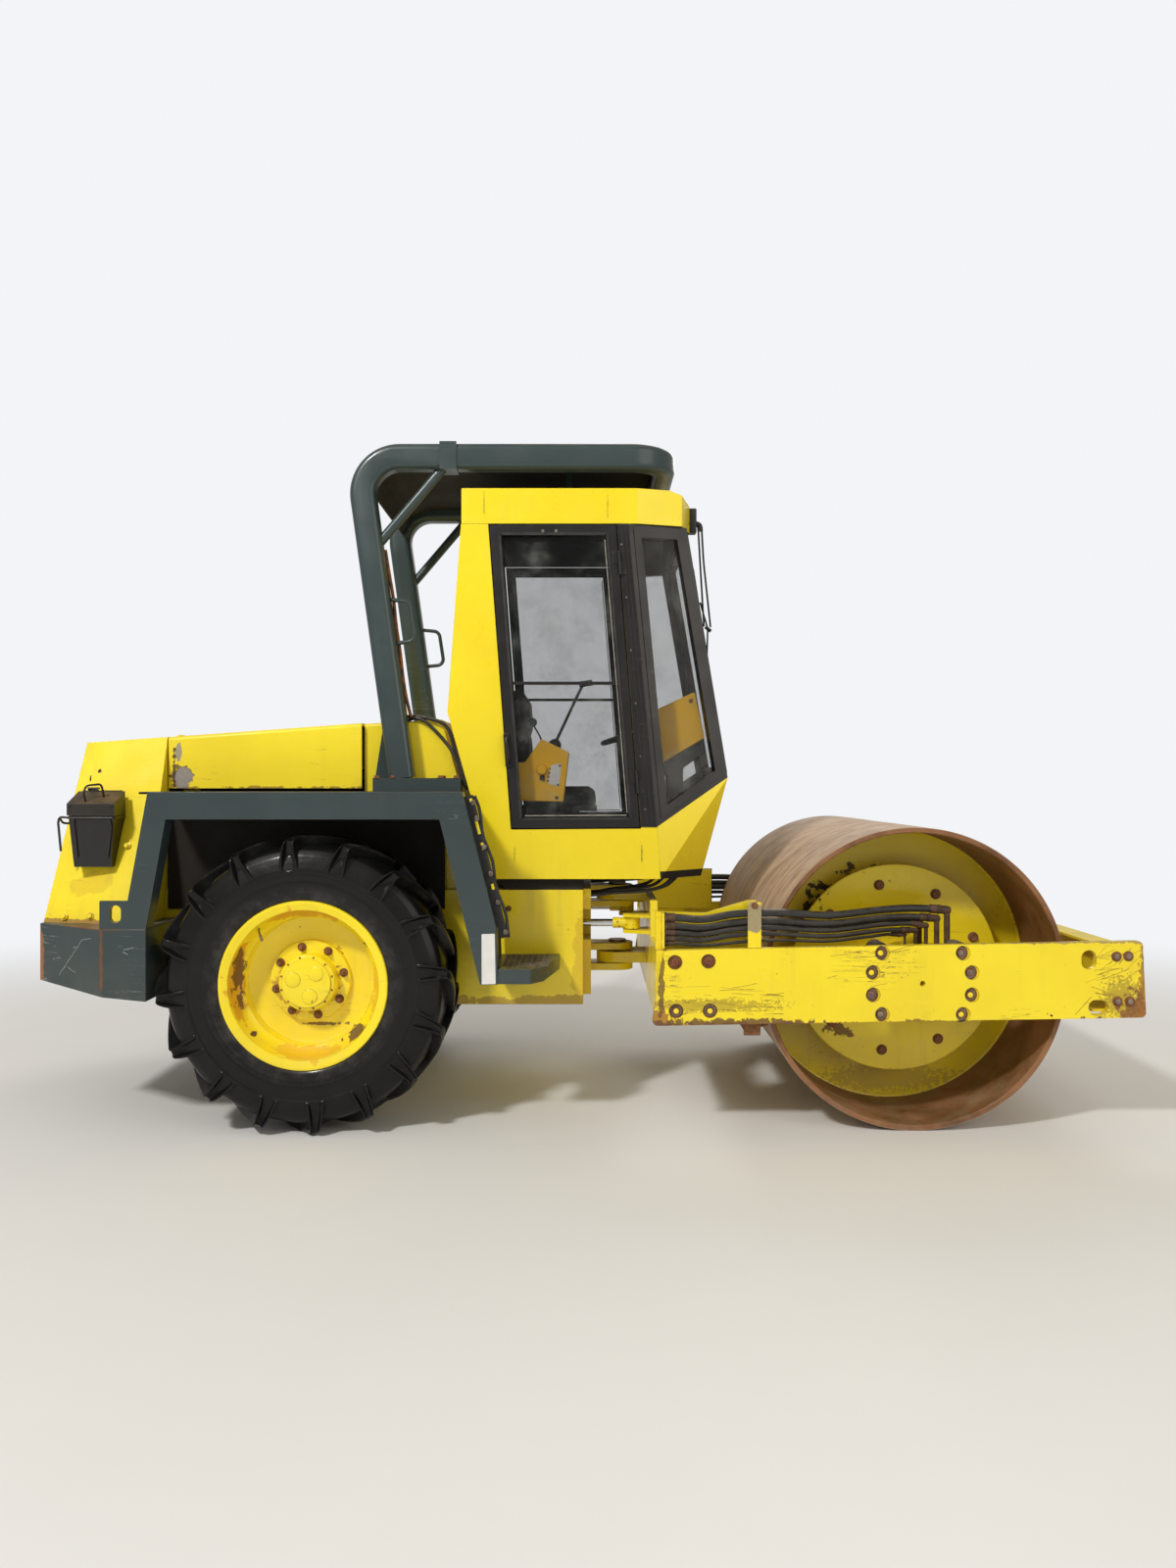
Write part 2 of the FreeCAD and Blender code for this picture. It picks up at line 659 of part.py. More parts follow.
def steering_rod_right():
    y = -CLEVIS_Y
    shaft = rod(vec(ROD_INNER_X, y, CLEVIS_Z), vec(CLEVIS_X - 30, y, CLEVIS_Z), ROD_RADIUS)
    eye = post(CLEVIS_X, y, EYE_RADIUS, CLEVIS_Z - EYE_HALF, CLEVIS_Z + EYE_HALF)
    neck = rod(vec(CLEVIS_X - 105, y, CLEVIS_Z), vec(CLEVIS_X - 30, y, CLEVIS_Z), 29)
    return fused([shaft, eye, neck])


def engine_block():
    """Engine and the radiator behind it, as plain blocks."""
    engine = box(WHEEL_X - 761, WHEEL_X + 89, -330, 330, 1000, GRILLE_TOP)
    radiator = box(190 - REACH_BACK, 290 - REACH_BACK, 10 - GRILLE_HALF, GRILLE_HALF - 10, WEIGHT_TOP, GRILLE_TOP)
    return group([engine, radiator])


def rear_axle():
    """Axle with its differential, the seats under the frame plates and the wheel spindles."""
    tube = cross_cylinder(WHEEL_X, WHEEL_Z, 95, -760, 760)
    middle = Part.makeSphere(185, vec(WHEEL_X, 0, WHEEL_Z))
    input_neck = rod(vec(WHEEL_X, 0, WHEEL_Z), vec(WHEEL_X + 330, 0, WHEEL_Z + 20), 80)
    pieces = [tube, middle, input_neck]
    seat = box(WHEEL_X - 110, WHEEL_X + 110, -FRAME_HALF, -FRAME_HALF + 120, WHEEL_Z, AXLE_SEAT_Z)
    drum = cross_cylinder(WHEEL_X, WHEEL_Z, 165, -800, -690)
    spindle = cross_cylinder(WHEEL_X, WHEEL_Z, SPINDLE_RADIUS, -DISH_Y - 40, -760)
    for piece in (seat, drum, spindle):
        pieces += both_sides(piece)
    return fused(pieces)


WEIGHT_CORNER = (FRAME_REAR_X, FENDER_FACE_Y)
WEIGHT_REAR_HALF = 867
WEIGHT_FRONT_X = WHEEL_X - TYRE_RADIUS - TYRE_CLEARANCE


def counterweight():
    """U-shaped casting round the rear end, with cut-off corners and a rising underside."""
    outline = [
        (WEIGHT_FRONT_X, FENDER_FACE_Y), WEIGHT_CORNER, (-REACH_BACK, WEIGHT_REAR_HALF),
        (-REACH_BACK, -WEIGHT_REAR_HALF), (WEIGHT_CORNER[0], -FENDER_FACE_Y),
        (WEIGHT_FRONT_X, -FENDER_FACE_Y),
    ]
    body = plan_prism(outline, WEIGHT_BOTTOM, WEIGHT_TOP)
    under = side_prism(
        [(WEIGHT_FRONT_X + 10, WEIGHT_BOTTOM - 10), (WEIGHT_FRONT_X + 10, WEIGHT_BOTTOM),
         (-REACH_BACK - 10, WEIGHT_BOTTOM + 66), (-REACH_BACK - 10, WEIGHT_BOTTOM - 10)], -1200, 1200)
    room = box(FRAME_REAR_X, 0, -FRAME_HALF - 2, FRAME_HALF + 2, 0, 1200)
    return cut_all(body, [under, room])


FENDER_OUTER = [(WEIGHT_FRONT_X + 8, DECK_Z), (-573, DECK_Z), (-407, 1009), (-399, 735)]
FENDER_INNER = [(WEIGHT_FRONT_X + 96, 1540), (-684, 1540), (-486, 735)]
FENDER_REAR_FOOT = [(WEIGHT_FRONT_X, WEIGHT_TOP), (FRAME_REAR_X - 10, WEIGHT_TOP), (FRAME_REAR_X - 10, 1143),
                    (FRAME_REAR_X + 127, 1143)]
LUG_HOLE = (FRAME_REAR_X + 68, 1079, 54, 86)


def fender_frame_right():
    """Bent frame round the wheel, its rear foot spread into a lashing plate."""
    outline = FENDER_OUTER + FENDER_INNER[::-1] + FENDER_REAR_FOOT
    frame = side_prism(outline, -FENDER_FACE_Y, -FENDER_FACE_Y + FENDER_DEPTH)
    hole = oval_hole(*LUG_HOLE, -FENDER_FACE_Y - 1, -FENDER_FACE_Y + 200)
    relief = box(FRAME_REAR_X - 20, FRAME_REAR_X + 115, -FENDER_FACE_Y + 30, -FENDER_FACE_Y + 200, WEIGHT_TOP - 1, 1150)
    return cut_all(frame, [hole, relief])


def wheel_arches():
    """Decks over the wheels, the walls beside them and the sloping front guards."""
    inner = FRAME_HALF
    outer = FENDER_FACE_Y - FENDER_DEPTH
    rear = HOUSING_FRONT_X + 10
    deck = box(rear, -590, -outer, -inner, DECK_Z - DECK_PLATE, DECK_Z)
    wall = box(rear, -720, -inner - DECK_PLATE, -inner, FRAME_TOP - 100, DECK_Z - DECK_PLATE)
    guard_outline = [(-590, DECK_Z), (-424, 1009), (-416, STEP_TOP), (-428, STEP_TOP),
                     (-436, 1007), (-602, DECK_Z)]
    guard = side_prism(guard_outline, -outer, -CAB_HALF - 12)
    strip = box(-720, -602, -inner - DECK_PLATE, -inner, 1420, DECK_Z - DECK_PLATE)
    side = fused([deck, wall, guard, strip])
    return group(both_sides(side))


def steps():
    """Boarding step beside each frame plate, its outer front corner cut off."""
    inner, outer = FRAME_HALF, FENDER_FACE_Y
    outline = [(-399, -outer), (-240, -outer), (-178, -outer + 90), (-110, -inner - 60),
               (-110, -inner), (-460, -inner), (-460, -outer + FENDER_DEPTH),
               (-399, -outer + FENDER_DEPTH)]
    body = plan_prism(outline, STEP_TOP - STEP_HEIGHT, STEP_TOP)
    return group(both_sides(body))


# Rear housing and hood

def hood_top_at(x):
    """Height of the sloping hood line."""
    (x0, z0), (x1, z1) = HOOD_TOP_FRONT, HOOD_TOP_REAR
    return z0 + (z1 - z0) * (x - x0) / (x1 - x0)


def housing_loft(inset, bottom, front_inset):
    """Chamfered rear body that leans in from its foot to the hood line."""
    sections = []
    top = 2060
    rear_top = HOOD_TOP_REAR[0] - (top - HOOD_TOP_REAR[1]) * -0.127
    # height, rear x, half width at the front, half width at the rear
    table = [
        (WEIGHT_TOP, -REACH_BACK, HOUSING_FOOT_HALF, 828),
        (top, rear_top, HOUSING_TOP_HALF - 48, 590 - 46),
    ]
    for height, rear_x, front_half, rear_half in table:
        front_x = HOUSING_FRONT_X - front_inset
        knee_x = WEIGHT_CORNER[0]
        knee = front_half - inset
        corner = rear_half - inset
        rear = rear_x + inset
        points = [(front_x, -knee), (knee_x, -knee), (rear, -corner),
                  (rear, corner), (knee_x, knee), (front_x, knee)]
        sections.append(Part.makePolygon([vec(x, y, height) for x, y in points + points[:1]]))
    body = Part.makeLoft(sections, True, True)
    roof = side_prism(
        [(-3000, hood_top_at(-3000) - bottom), (-2000, hood_top_at(-2000) - bottom),
         (-2000, 2300), (-3000, 2300)], -1200, 1200)
    return body.cut(roof)


GRILLE_HALF = 430
GRILLE_BOTTOM = 1130
GRILLE_TOP = 1800
SLATS = 14
REAR_LEAN = (REACH_BACK + HOOD_TOP_REAR[0]) / (HOOD_TOP_REAR[1] - WEIGHT_TOP)


def rear_face_x(z):
    return -REACH_BACK + REAR_LEAN * (z - WEIGHT_TOP)


HOOD_HINGE_RADIUS = 9
HOOD_HINGE_Y = (-420, 360)
HOOD_HINGE_LENGTH = 60


def hood_hinge_centre():
    x = HOUSING_FRONT_X + PANEL_GAP / 2
    return x, hood_top_at(x) + HOOD_HINGE_RADIUS + 1


def hood_knuckle(y, forward_sign):
    """Knuckle across the machine with a leaf on the hood or on the housing."""
    x, z = hood_hinge_centre()
    knuckle = cross_cylinder(x, z, HOOD_HINGE_RADIUS, y, y + HOOD_HINGE_LENGTH)
    end = x + forward_sign * 40
    leaf = side_prism([(x, z - 5), (end, hood_top_at(end) + 5), (end, hood_top_at(end)),
                       (x, hood_top_at(x))], y, y + HOOD_HINGE_LENGTH)
    if forward_sign > 0:
        clear = side_prism([(x - 1, z - 30), (x + PANEL_GAP / 2, z - 30), (x + PANEL_GAP / 2, z - 8),
                            (x - 1, z - 8)], y, y + HOOD_HINGE_LENGTH)
    else:
        clear = side_prism([(x - PANEL_GAP / 2, z - 30), (x + 1, z - 30), (x + 1, z - 8),
                            (x - PANEL_GAP / 2, z - 8)], y, y + HOOD_HINGE_LENGTH)
    return fused([knuckle, leaf]).cut(clear)


def rear_housing():
    outer = housing_loft(0, 0, 0)
    inner = housing_loft(HOUSING_WALL, HOUSING_WALL, HOUSING_WALL)
    passage = box(HOUSING_FRONT_X - 60, HOUSING_FRONT_X + 10, -560, 560, 0, 1900)
    frame_room = box(HOUSING_FRONT_X - 200, HOUSING_FRONT_X + 10, -620, 620, 0, FRAME_TOP + 4)
    opening = box(-2800, -2600, -GRILLE_HALF, GRILLE_HALF, GRILLE_BOTTOM, GRILLE_TOP)
    shell = cut_all(outer, [inner, passage, frame_room, opening])
    return fused([shell] + [hood_knuckle(y, -1) for y in HOOD_HINGE_Y])


def rear_grille():
    """Frame and level slats in the opening of the rear face."""
    def strip(z0, z1, depth_out, depth_in):
        return [(rear_face_x(z0) - depth_out, z0), (rear_face_x(z1) - depth_out, z1),
                (rear_face_x(z1) + depth_in, z1), (rear_face_x(z0) + depth_in, z0)]
    outer = side_prism(strip(GRILLE_BOTTOM, GRILLE_TOP, 0, HOUSING_WALL), -GRILLE_HALF, GRILLE_HALF)
    hole = side_prism(strip(GRILLE_BOTTOM + 26, GRILLE_TOP - 26, 5, HOUSING_WALL + 5),
                      -GRILLE_HALF + 26, GRILLE_HALF - 26)
    pieces = [outer.cut(hole)]
    pitch = (GRILLE_TOP - GRILLE_BOTTOM - 52) / SLATS
    for index in range(SLATS):
        z = GRILLE_BOTTOM + 26 + pitch * (index + 0.5)
        pieces.append(side_prism(strip(z - 6, z + 6, -2, HOUSING_WALL - 3),
                                 -GRILLE_HALF + 26, GRILLE_HALF - 26))
    pieces.append(side_prism(strip(GRILLE_BOTTOM + 26, GRILLE_TOP - 26, -4, HOUSING_WALL - 5), -12, 12))
    return fused(pieces)


def hood():
    """Lid over the engine: a sloping top with two sides, open below and at its ends."""
    rear_x = HOUSING_FRONT_X + PANEL_GAP
    front_x = HOOD_TOP_FRONT[0]
    top = [(front_x, hood_top_at(front_x)), (rear_x, hood_top_at(rear_x))]
    foot = DECK_Z + 16
    outline = top + [(rear_x, foot), (front_x, foot)]
    inner_outline = [(front_x + 1, hood_top_at(front_x) - HOOD_SHEET),
                     (rear_x - 1, hood_top_at(rear_x) - HOOD_SHEET), (rear_x - 1, foot - 1),
                     (front_x + 1, foot - 1)]
    half = HOUSING_TOP_HALF - 4
    body = side_prism(outline, -half, half)
    body = filleted(body, 22, lambda edge: abs(edge.BoundBox.ZMin - foot) > 100
                    and edge.BoundBox.YLength < 1 and edge.BoundBox.XLength > 500)
    body = body.cut(side_prism(inner_outline, -half + HOOD_SHEET, half - HOOD_SHEET))
    beside = HOOD_HINGE_LENGTH + RUNNING_GAP
    return fused([body] + [hood_knuckle(y + beside, 1) for y in HOOD_HINGE_Y])


def cowl():
    """Closed tank body between the hood and the cab, sloped like the cab's back."""
    outline = [(COWL_REAR_X, FRAME_TOP), (COWL_REAR_X, 2036), (-745, 2060), (-490, FRAME_TOP)]
    body = side_prism(outline, -COWL_HALF, COWL_HALF)
    return filleted(body, 18, lambda edge: edge.BoundBox.ZMin > 2000 and edge.BoundBox.XLength > 300)


# Cab

A = (-619, CAB_HALF, CAB_TOP)      # rear, top
B = (-704.5, CAB_HALF, 2092)       # rear, widest
C = (-458, CAB_HALF, CAB_FLOOR)    # rear, bottom
D = (424, CAB_HALF, CAB_FLOOR)     # front of the side wall, bottom
E = (405, CAB_HALF, 1485)          # foot of the front pillar
F = (253, CAB_HALF, CAB_EAVE)      # head of the front pillar
G = (795, 500, 1748)               # lower corner of the windscreen
I = (660, 400, CAB_FLOOR)          # bottom of the nose
WINDSCREEN_HEAD_X = 570
CAB_MIDDLE = vec(0, 0, 2000)


def quarter_plane_y(x, z):
    """Distance from the middle of a point of the quarter window's plane, through E, F and G."""
    normal = (vec(*F) - vec(*E)).cross(vec(*G) - vec(*E))
    return E[1] - (normal.x * (x - E[0]) + normal.z * (z - E[2])) / normal.y


H = (WINDSCREEN_HEAD_X, quarter_plane_y(WINDSCREEN_HEAD_X, CAB_EAVE), CAB_EAVE)    # its upper corner


def right(point):
    return vec(point[0], -point[1], point[2])


def left(point):
    return vec(*point)


def outward_of(points):
    normal = (points[1] - points[0]).cross(points[2] - points[1]).normalize()
    if normal.dot(points[0] - CAB_MIDDLE) < 0:
        normal = normal * -1
    return normal


CAB_FACETS = {
    "rear_upper": [right(A), right(B), left(B)],
    "rear_lower": [right(B), right(C), left(C)],
    "floor": [right(C), right(D), left(D)],
    "nose": [right(I), right(G), left(G)],
    "windscreen": [right(G), right(H), left(H), left(G)],
    "side_right": [right(A), right(C), right(D)],
    "quarter_right": [right(E), right(G), right(H), right(F)],
    "lower_right": [right(E), right(D), right(G)],
    "cheek_right": [right(D), right(I), right(G)],
    "side_left": [left(A), left(C), left(D)],
    "quarter_left": [left(E), left(G), left(H), left(F)],
    "lower_left": [left(E), left(D), left(G)],
    "cheek_left": [left(D), left(I), left(G)],
}


def cab_volume(inset):
    """Convex body inside all facets of the cab, each moved inwards by inset."""
    body = box(-1200, 1200, -1000, 1000, CAB_FLOOR - 50, CAB_EAVE)
    for points in CAB_FACETS.values():
        outward = outward_of(points)
        body = body.cut(half_space(points[0] - outward * inset, outward))
    return body


# (x, z) of the door's outer edge, from the rear top corner
DOOR_EDGE = [(-481, CAB_EAVE - PANEL_GAP), (185.6, CAB_EAVE - PANEL_GAP), (313, 1484), (-361.6, 1479)]


def door_polygon(margin):
    """Door outline on the right wall's outer plane; a negative margin makes it larger."""
    points = [vec(x, -CAB_HALF, z) for x, z in DOOR_EDGE]
    return inset_polygon(points, margin)


def side_region():
    """Space of the right wall: its plane up to the front pillar."""
    outline = [(-1000, CAB_FLOOR - 10), (D[0], CAB_FLOOR - 10), (D[0], D[2]), (E[0], E[2]),
               (F[0], F[2]), (F[0], CAB_EAVE + 10), (-1000, CAB_EAVE + 10)]
    return side_prism(outline, -CAB_HALF - 10, -CAB_HALF + CAB_WALL)


def door_cut():
    opening = slab(door_polygon(-PANEL_GAP), vec(0, -1, 0), -CAB_WALL - 20, 30)
    above = opening.common(box(-1000, 1000, -1000, 0, CAB_EAVE - 20, CAB_EAVE))
    above.translate(vec(0, 0, 19))
    return opening.fuse(above)


# Hinges: the axis runs beside the door's front edge, in the middle of the gap
HINGE_RADIUS = 10
HINGE_CLEAR = 8.5          # from the door's outer face to the knuckle's near side
HINGE_LENGTH = 60
HINGE_STATIONS = (180, 1340)
LEAF_WIDE = 34
LEAF_THICK = 5
DOOR_PROUD = 8


def hinge_frame():
    """Foot of the hinge axis, its direction, and the direction along the wall to the front."""
    head, foot = (vec(x, -CAB_HALF, z) for x, z in DOOR_EDGE[1:3])
    along = (head - foot).normalize()
    forward = along.cross(vec(0, -1, 0)).normalize() * -1
    if forward.x < 0:
        forward = forward * -1
    offset = DOOR_PROUD + HINGE_RADIUS + 0.5
    foot = foot + forward * (PANEL_GAP / 2) + vec(0, -offset, 0)
    return foot, along, forward


def hinge_knuckle(station, forward_sign, face_offset):
    """Knuckle with a leaf that lies on the door or on the pillar."""
    foot, along, forward = hinge_frame()
    start = foot + along * station
    knuckle = rod(start, start + along * HINGE_LENGTH, HINGE_RADIUS)
    inward = vec(0, 1, 0)
    near = HINGE_RADIUS - 4.5
    far = DOOR_PROUD + HINGE_RADIUS + 0.5 - face_offset
    ahead = forward * (forward_sign * LEAF_WIDE)
    corners = [start + inward * near, start + inward * far,
               start + inward * far + ahead, start + inward * near + ahead]
    leaf = polygon_face(corners).extrude(along * HINGE_LENGTH)
    return fused([knuckle, leaf])


def pillar_knuckles():
    return [hinge_knuckle(station, 1, SEAL_PROUD) for station in HINGE_STATIONS]


def door_knuckles():
    above = HINGE_LENGTH + RUNNING_GAP
    return [hinge_knuckle(station + above, -1, DOOR_PROUD) for station in HINGE_STATIONS]


def pillar_region():
    """Space of the black pillar between the door and the quarter window."""
    gap_edge = door_polygon(-PANEL_GAP)
    outline = [(gap_edge[1].x, CAB_EAVE), (F[0], CAB_EAVE), (E[0], E[2]),
               (gap_edge[2].x, E[2])]
    return side_prism(outline, -CAB_HALF - 20, -CAB_HALF + CAB_WALL)


REAR_WINDOW = (430, 2190, 3010)    # half width, bottom, top

GLAZED = {
    "windscreen": "windscreen",
    "quarter_right": "quarter_right",
    "quarter_left": "quarter_left",
}
SEAL_MARGIN = 26


def rear_window_corners():
    """Corners of the rear window on the upper rear facet."""
    half, low, high = REAR_WINDOW
    def on_facet(y, z):
        share = (z - B[2]) / (A[2] - B[2])
        return vec(B[0] + (A[0] - B[0]) * share, y, z)
    return [on_facet(-half, low), on_facet(-half, high), on_facet(half, high), on_facet(half, low)]


def window_table():
    """Name, corners of the seal's outer edge and outward direction of every fixed window."""
    table = []
    for name in GLAZED:
        points = CAB_FACETS[name]
        table.append((name, inset_polygon(points, SEAL_MARGIN), outward_of(points)))
    corners = rear_window_corners()
    table.append(("rear", corners, outward_of(corners)))
    return table


def cab_panels():
    """The cab's shell, split into the panels that meet at its corners."""
    shell = cab_volume(0).cut(cab_volume(CAB_WALL))
    cuts = [slab(corners, outward, -CAB_WALL - 60, 40) for _, corners, outward in window_table()]
    shell = cut_all(shell, cuts)
    region = side_region()
    side_right = shell.common(region)
    side_right = cut_all(side_right, [door_cut(), pillar_region()])
    rest = cut_all(shell, both_sides(region))
    rear_box = box(-1000, -300, -CAB_HALF, CAB_HALF, CAB_FLOOR + CAB_WALL, CAB_EAVE + 10)
    rear_wall = rest.common(rear_box)
    rest = rest.cut(rear_box)
    floor_box = box(-1000, 1000, -1000, 1000, CAB_FLOOR - 10, CAB_FLOOR + CAB_WALL)
    floor = rest.common(floor_box)
    front = rest.cut(floor_box)
    return {"side": side_right, "rear": rear_wall, "floor": floor, "front": front}


def window_frames():
    """Black rings round the fixed windows and the two front pillars."""
    pieces = []
    for _, corners, outward in window_table():
        ring = slab(corners, outward, -CAB_WALL, SEAL_PROUD)
        hole = slab(inset_polygon(corners, SEAL_WIDTH), outward, -CAB_WALL - 5, SEAL_PROUD + 5)
        pieces.append(ring.cut(hole))
    pillar = pillar_region().common(box(-1000, 1000, -CAB_HALF - SEAL_PROUD, 0, 0, CAB_EAVE))
    pillar = fused([pillar] + pillar_knuckles())
    return group(pieces + both_sides(pillar))


def window_glass():
    panes = []
    for _, corners, outward in window_table():
        panes.append(slab(inset_polygon(corners, SEAL_WIDTH), outward, -20 - GLASS, -20))
    return group(panes)


DOOR_BAR_Z = 2247
DOOR_BAR = 16


def door_frame_right():
    """Black frame with a thin bar across it."""
    outward = vec(0, -1, 0)
    start, end = DOOR_PROUD - DOOR_THICKNESS, DOOR_PROUD
    ring = slab(door_polygon(0), outward, start, end)
    hole = slab(door_polygon(DOOR_FRAME), outward, start - 5, end + 5)
    bar = slab(door_polygon(DOOR_FRAME), outward, start + 8, end - 8)
    level = box(-1000, 1000, -1000, 0, DOOR_BAR_Z - DOOR_BAR / 2, DOOR_BAR_Z + DOOR_BAR / 2)
    return fused([ring.cut(hole), bar.common(level)] + door_knuckles())


def door_glass_right():
    pane = slab(door_polygon(DOOR_FRAME), vec(0, -1, 0), -13 - GLASS, -13)
    gap = box(-1000, 1000, -1000, 0, DOOR_BAR_Z - DOOR_BAR / 2, DOOR_BAR_Z + DOOR_BAR / 2)
    return pane.cut(gap)


ROOF_FRONT = [(300, CAB_HALF), (544, 560), (597, 390)]
ROOF_LIP = 40


def cab_roof():
    """Shallow cap with a brow over the windscreen."""
    rear_x = A[0] - 12
    right_edge = [(x, -y) for x, y in ROOF_FRONT]
    outline = [(rear_x, -CAB_HALF)] + right_edge
    outline += [(x, -y) for x, y in outline[::-1]]
    corners = [vec(x, y, CAB_EAVE) for x, y in outline]
    cap = polygon_face(corners).extrude(vec(0, 0, CAB_TOP - CAB_EAVE))
    hollow = polygon_face(inset_polygon(corners, CAB_WALL)).extrude(vec(0, 0, CAB_TOP - CAB_EAVE - 36))
    slope = side_prism([(470, CAB_TOP + 1), (700, CAB_TOP + 1), (700, CAB_TOP - 70)], -1000, 1000)
    return cut_all(cap, [hollow, slope])


def cab_underframe():
    """Wedge-shaped plate under the cab."""
    outline = [(-440, CAB_FLOOR), (-400, FRAME_TOP), (FRAME_FRONT_X, FRAME_TOP), (FRAME_FRONT_X, CAB_FLOOR)]
    return side_prism(outline, -FRAME_HALF + 10, FRAME_HALF - 10)


# Inside the cab

SEAT_X = -150
FLOOR_TOP = CAB_FLOOR + CAB_WALL
COLUMN_FOOT = (560, FLOOR_TOP)
COLUMN_HEAD = (330, 1990)
WHEEL_RIM_RADIUS = 205


def seat_base():
    pedestal = box(SEAT_X - 180, SEAT_X + 140, -170, 170, FLOOR_TOP, 1560)
    pan = box(SEAT_X - 240, SEAT_X + 240, -230, 230, 1560, 1590)
    back_plate = side_prism([(SEAT_X - 240, 1590), (SEAT_X - 222, 1590), (SEAT_X - 262, 2200),
                             (SEAT_X - 280, 2200)], -190, 190)
    return fused([pedestal, pan, back_plate])


def seat_cushions():
    """Plain seat and back cushion."""
    seat = box(SEAT_X - 195, SEAT_X + 250, -235, 235, 1590.5, 1700)
    back = side_prism([(SEAT_X - 229.2, 1706), (SEAT_X - 120, 1706), (SEAT_X - 160, 2260),
                       (SEAT_X - 265.6, 2260)], -225, 225)
    return group([seat, back])


def steering_column():
    foot = vec(COLUMN_FOOT[0], 0, COLUMN_FOOT[1])
    head = vec(COLUMN_HEAD[0], 0, COLUMN_HEAD[1])
    along = (head - foot).normalize()
    lower = rod(foot + along * 40, head - along * 60, 42)
    block = box(COLUMN_FOOT[0] - 90, COLUMN_FOOT[0] + 50, -110, 110, FLOOR_TOP, FLOOR_TOP + 260)
    neck = rod(head - along * 60, head - along * RUNNING_GAP, 18)
    return fused([lower, block, neck])


def steering_wheel():
    foot = vec(COLUMN_FOOT[0], 0, COLUMN_FOOT[1])
    head = vec(COLUMN_HEAD[0], 0, COLUMN_HEAD[1])
    along = (head - foot).normalize()
    centre = head + along * 22
    rim = Part.makeTorus(WHEEL_RIM_RADIUS, 14, centre, along)
    hub = rod(head, head + along * 40, 34)
    across = along.cross(vec(0, 1, 0)).normalize()
    pieces = [rim, hub]
    for angle in (90, 210, 330):
        turn = math.radians(angle)
        aim = across * math.sin(turn) + vec(0, 1, 0) * math.cos(turn)
        pieces.append(rod(centre, centre + aim * WHEEL_RIM_RADIUS, 8))
    return fused(pieces)


CONSOLE_OUTLINE = [(-339, 1830), (-302, 1830), (-211, 1956), (-61, 1884), (-93, 1617), (-328, 1622)]


def operator_console():
    """Control box at the driver's right on its stand."""
    head = side_prism(CONSOLE_OUTLINE, -520, -400)
    stand = box(-300, -130, -500, -420, FLOOR_TOP, 1650)
    return fused([head, stand])


# Roll-over frame

def rops_vertex():
    return ROPS_FOOT[0] - ROPS_LEAN * (ROPS_RAIL_Z - ROPS_FOOT[1])


def rops_post_x(z):
    return ROPS_FOOT[0] - ROPS_LEAN * (z - ROPS_FOOT[1])


def rops_frame():
    """One tube from the right foot over the cab and down to the left foot, with its feet."""
    y, top = ROPS_Y, ROPS_RAIL_Z
    corner = 190
    points = [
        vec(ROPS_FOOT[0], -y, ROPS_FOOT[1]), vec(rops_vertex(), -y, top),
        vec(ROPS_FRONT_X, -y, top), vec(ROPS_FRONT_X, y, top),
        vec(rops_vertex(), y, top), vec(ROPS_FOOT[0], y, ROPS_FOOT[1]),
    ]
    radii = [ROPS_BEND, corner, corner, ROPS_BEND]
    heading = (points[1] - points[0]).normalize()
    tube = hollow_tube(points, radii, ROPS_WIDE, ROPS_DEEP, ROPS_CORNER, heading, vec(0, 1, 0))
    trim = box(-1300, -500, -800, 800, 1500, ROPS_FOOT[1])
    pieces = [tube.cut(trim)]
    foot = box(-1090, -630, -y - 65, -y + 58, DECK_Z, ROPS_FOOT[1])
    gusset = side_prism([(-1086, ROPS_FOOT[1]), (-1040, 2040), (rops_post_x(2040), 2040),
                         (ROPS_FOOT[0], ROPS_FOOT[1])], -y - 12, -y + 12)
    collar = box(-740, -650, -y - ROPS_WIDE / 2 - 5, -y + ROPS_WIDE / 2 + 5,
                 top - ROPS_DEEP / 2 - 5, top + ROPS_DEEP / 2 + 5)
    brace_start = vec(rops_post_x(2960) + 20, -y, 2960)
    brace = rod(brace_start, vec(-717, -y, 3400), 26)
    for piece in (foot, gusset, collar, brace):
        pieces += both_sides(piece)
    return fused(pieces)


def rops_roof():
    """Sheet inside the ring of tubes, bent down at its back edge, on two short struts."""
    half = ROPS_Y - ROPS_WIDE / 2
    sheet = 12
    z = ROPS_RAIL_Z
    front = ROPS_FRONT_X - ROPS_WIDE / 2
    outline = [(front, z), (front, z + sheet), (-960, z + sheet), (-1080, z - 40), (-1135, z - 150),
               (-1122, z - 154), (-1070, z - 50), (-955, z)]
    body = side_prism(outline, -half, half)
    corner = front - 130
    for sign in (-1, 1):
        wedge = plan_prism([(corner, sign * (half + 1)), (front + 1, sign * (half + 1)),
                            (front + 1, sign * (half - 130))], z - 50, z + 50)
        body = body.cut(wedge)
    struts = [box(-80, -50, sign * 300 - 15, sign * 300 + 15, CAB_TOP, z) for sign in (-1, 1)]
    return fused([body] + struts)


def grab_handles():
    """Bent grips on the front of each post."""
    top_z, low_z, reach, radius = 2690, 2460, 100, 11
    front = ROPS_DEEP / 2
    points = [
        vec(rops_post_x(top_z) + front, -ROPS_Y, top_z),
        vec(rops_post_x(top_z) + front + reach, -ROPS_Y, top_z - 10),
        vec(rops_post_x(low_z) + front + reach, -ROPS_Y, low_z + 10),
        vec(rops_post_x(low_z) + front, -ROPS_Y, low_z),
    ]
    return group(both_sides(round_tube(points, [40, 40], radius)))


# Toolbox on the right of the rear housing

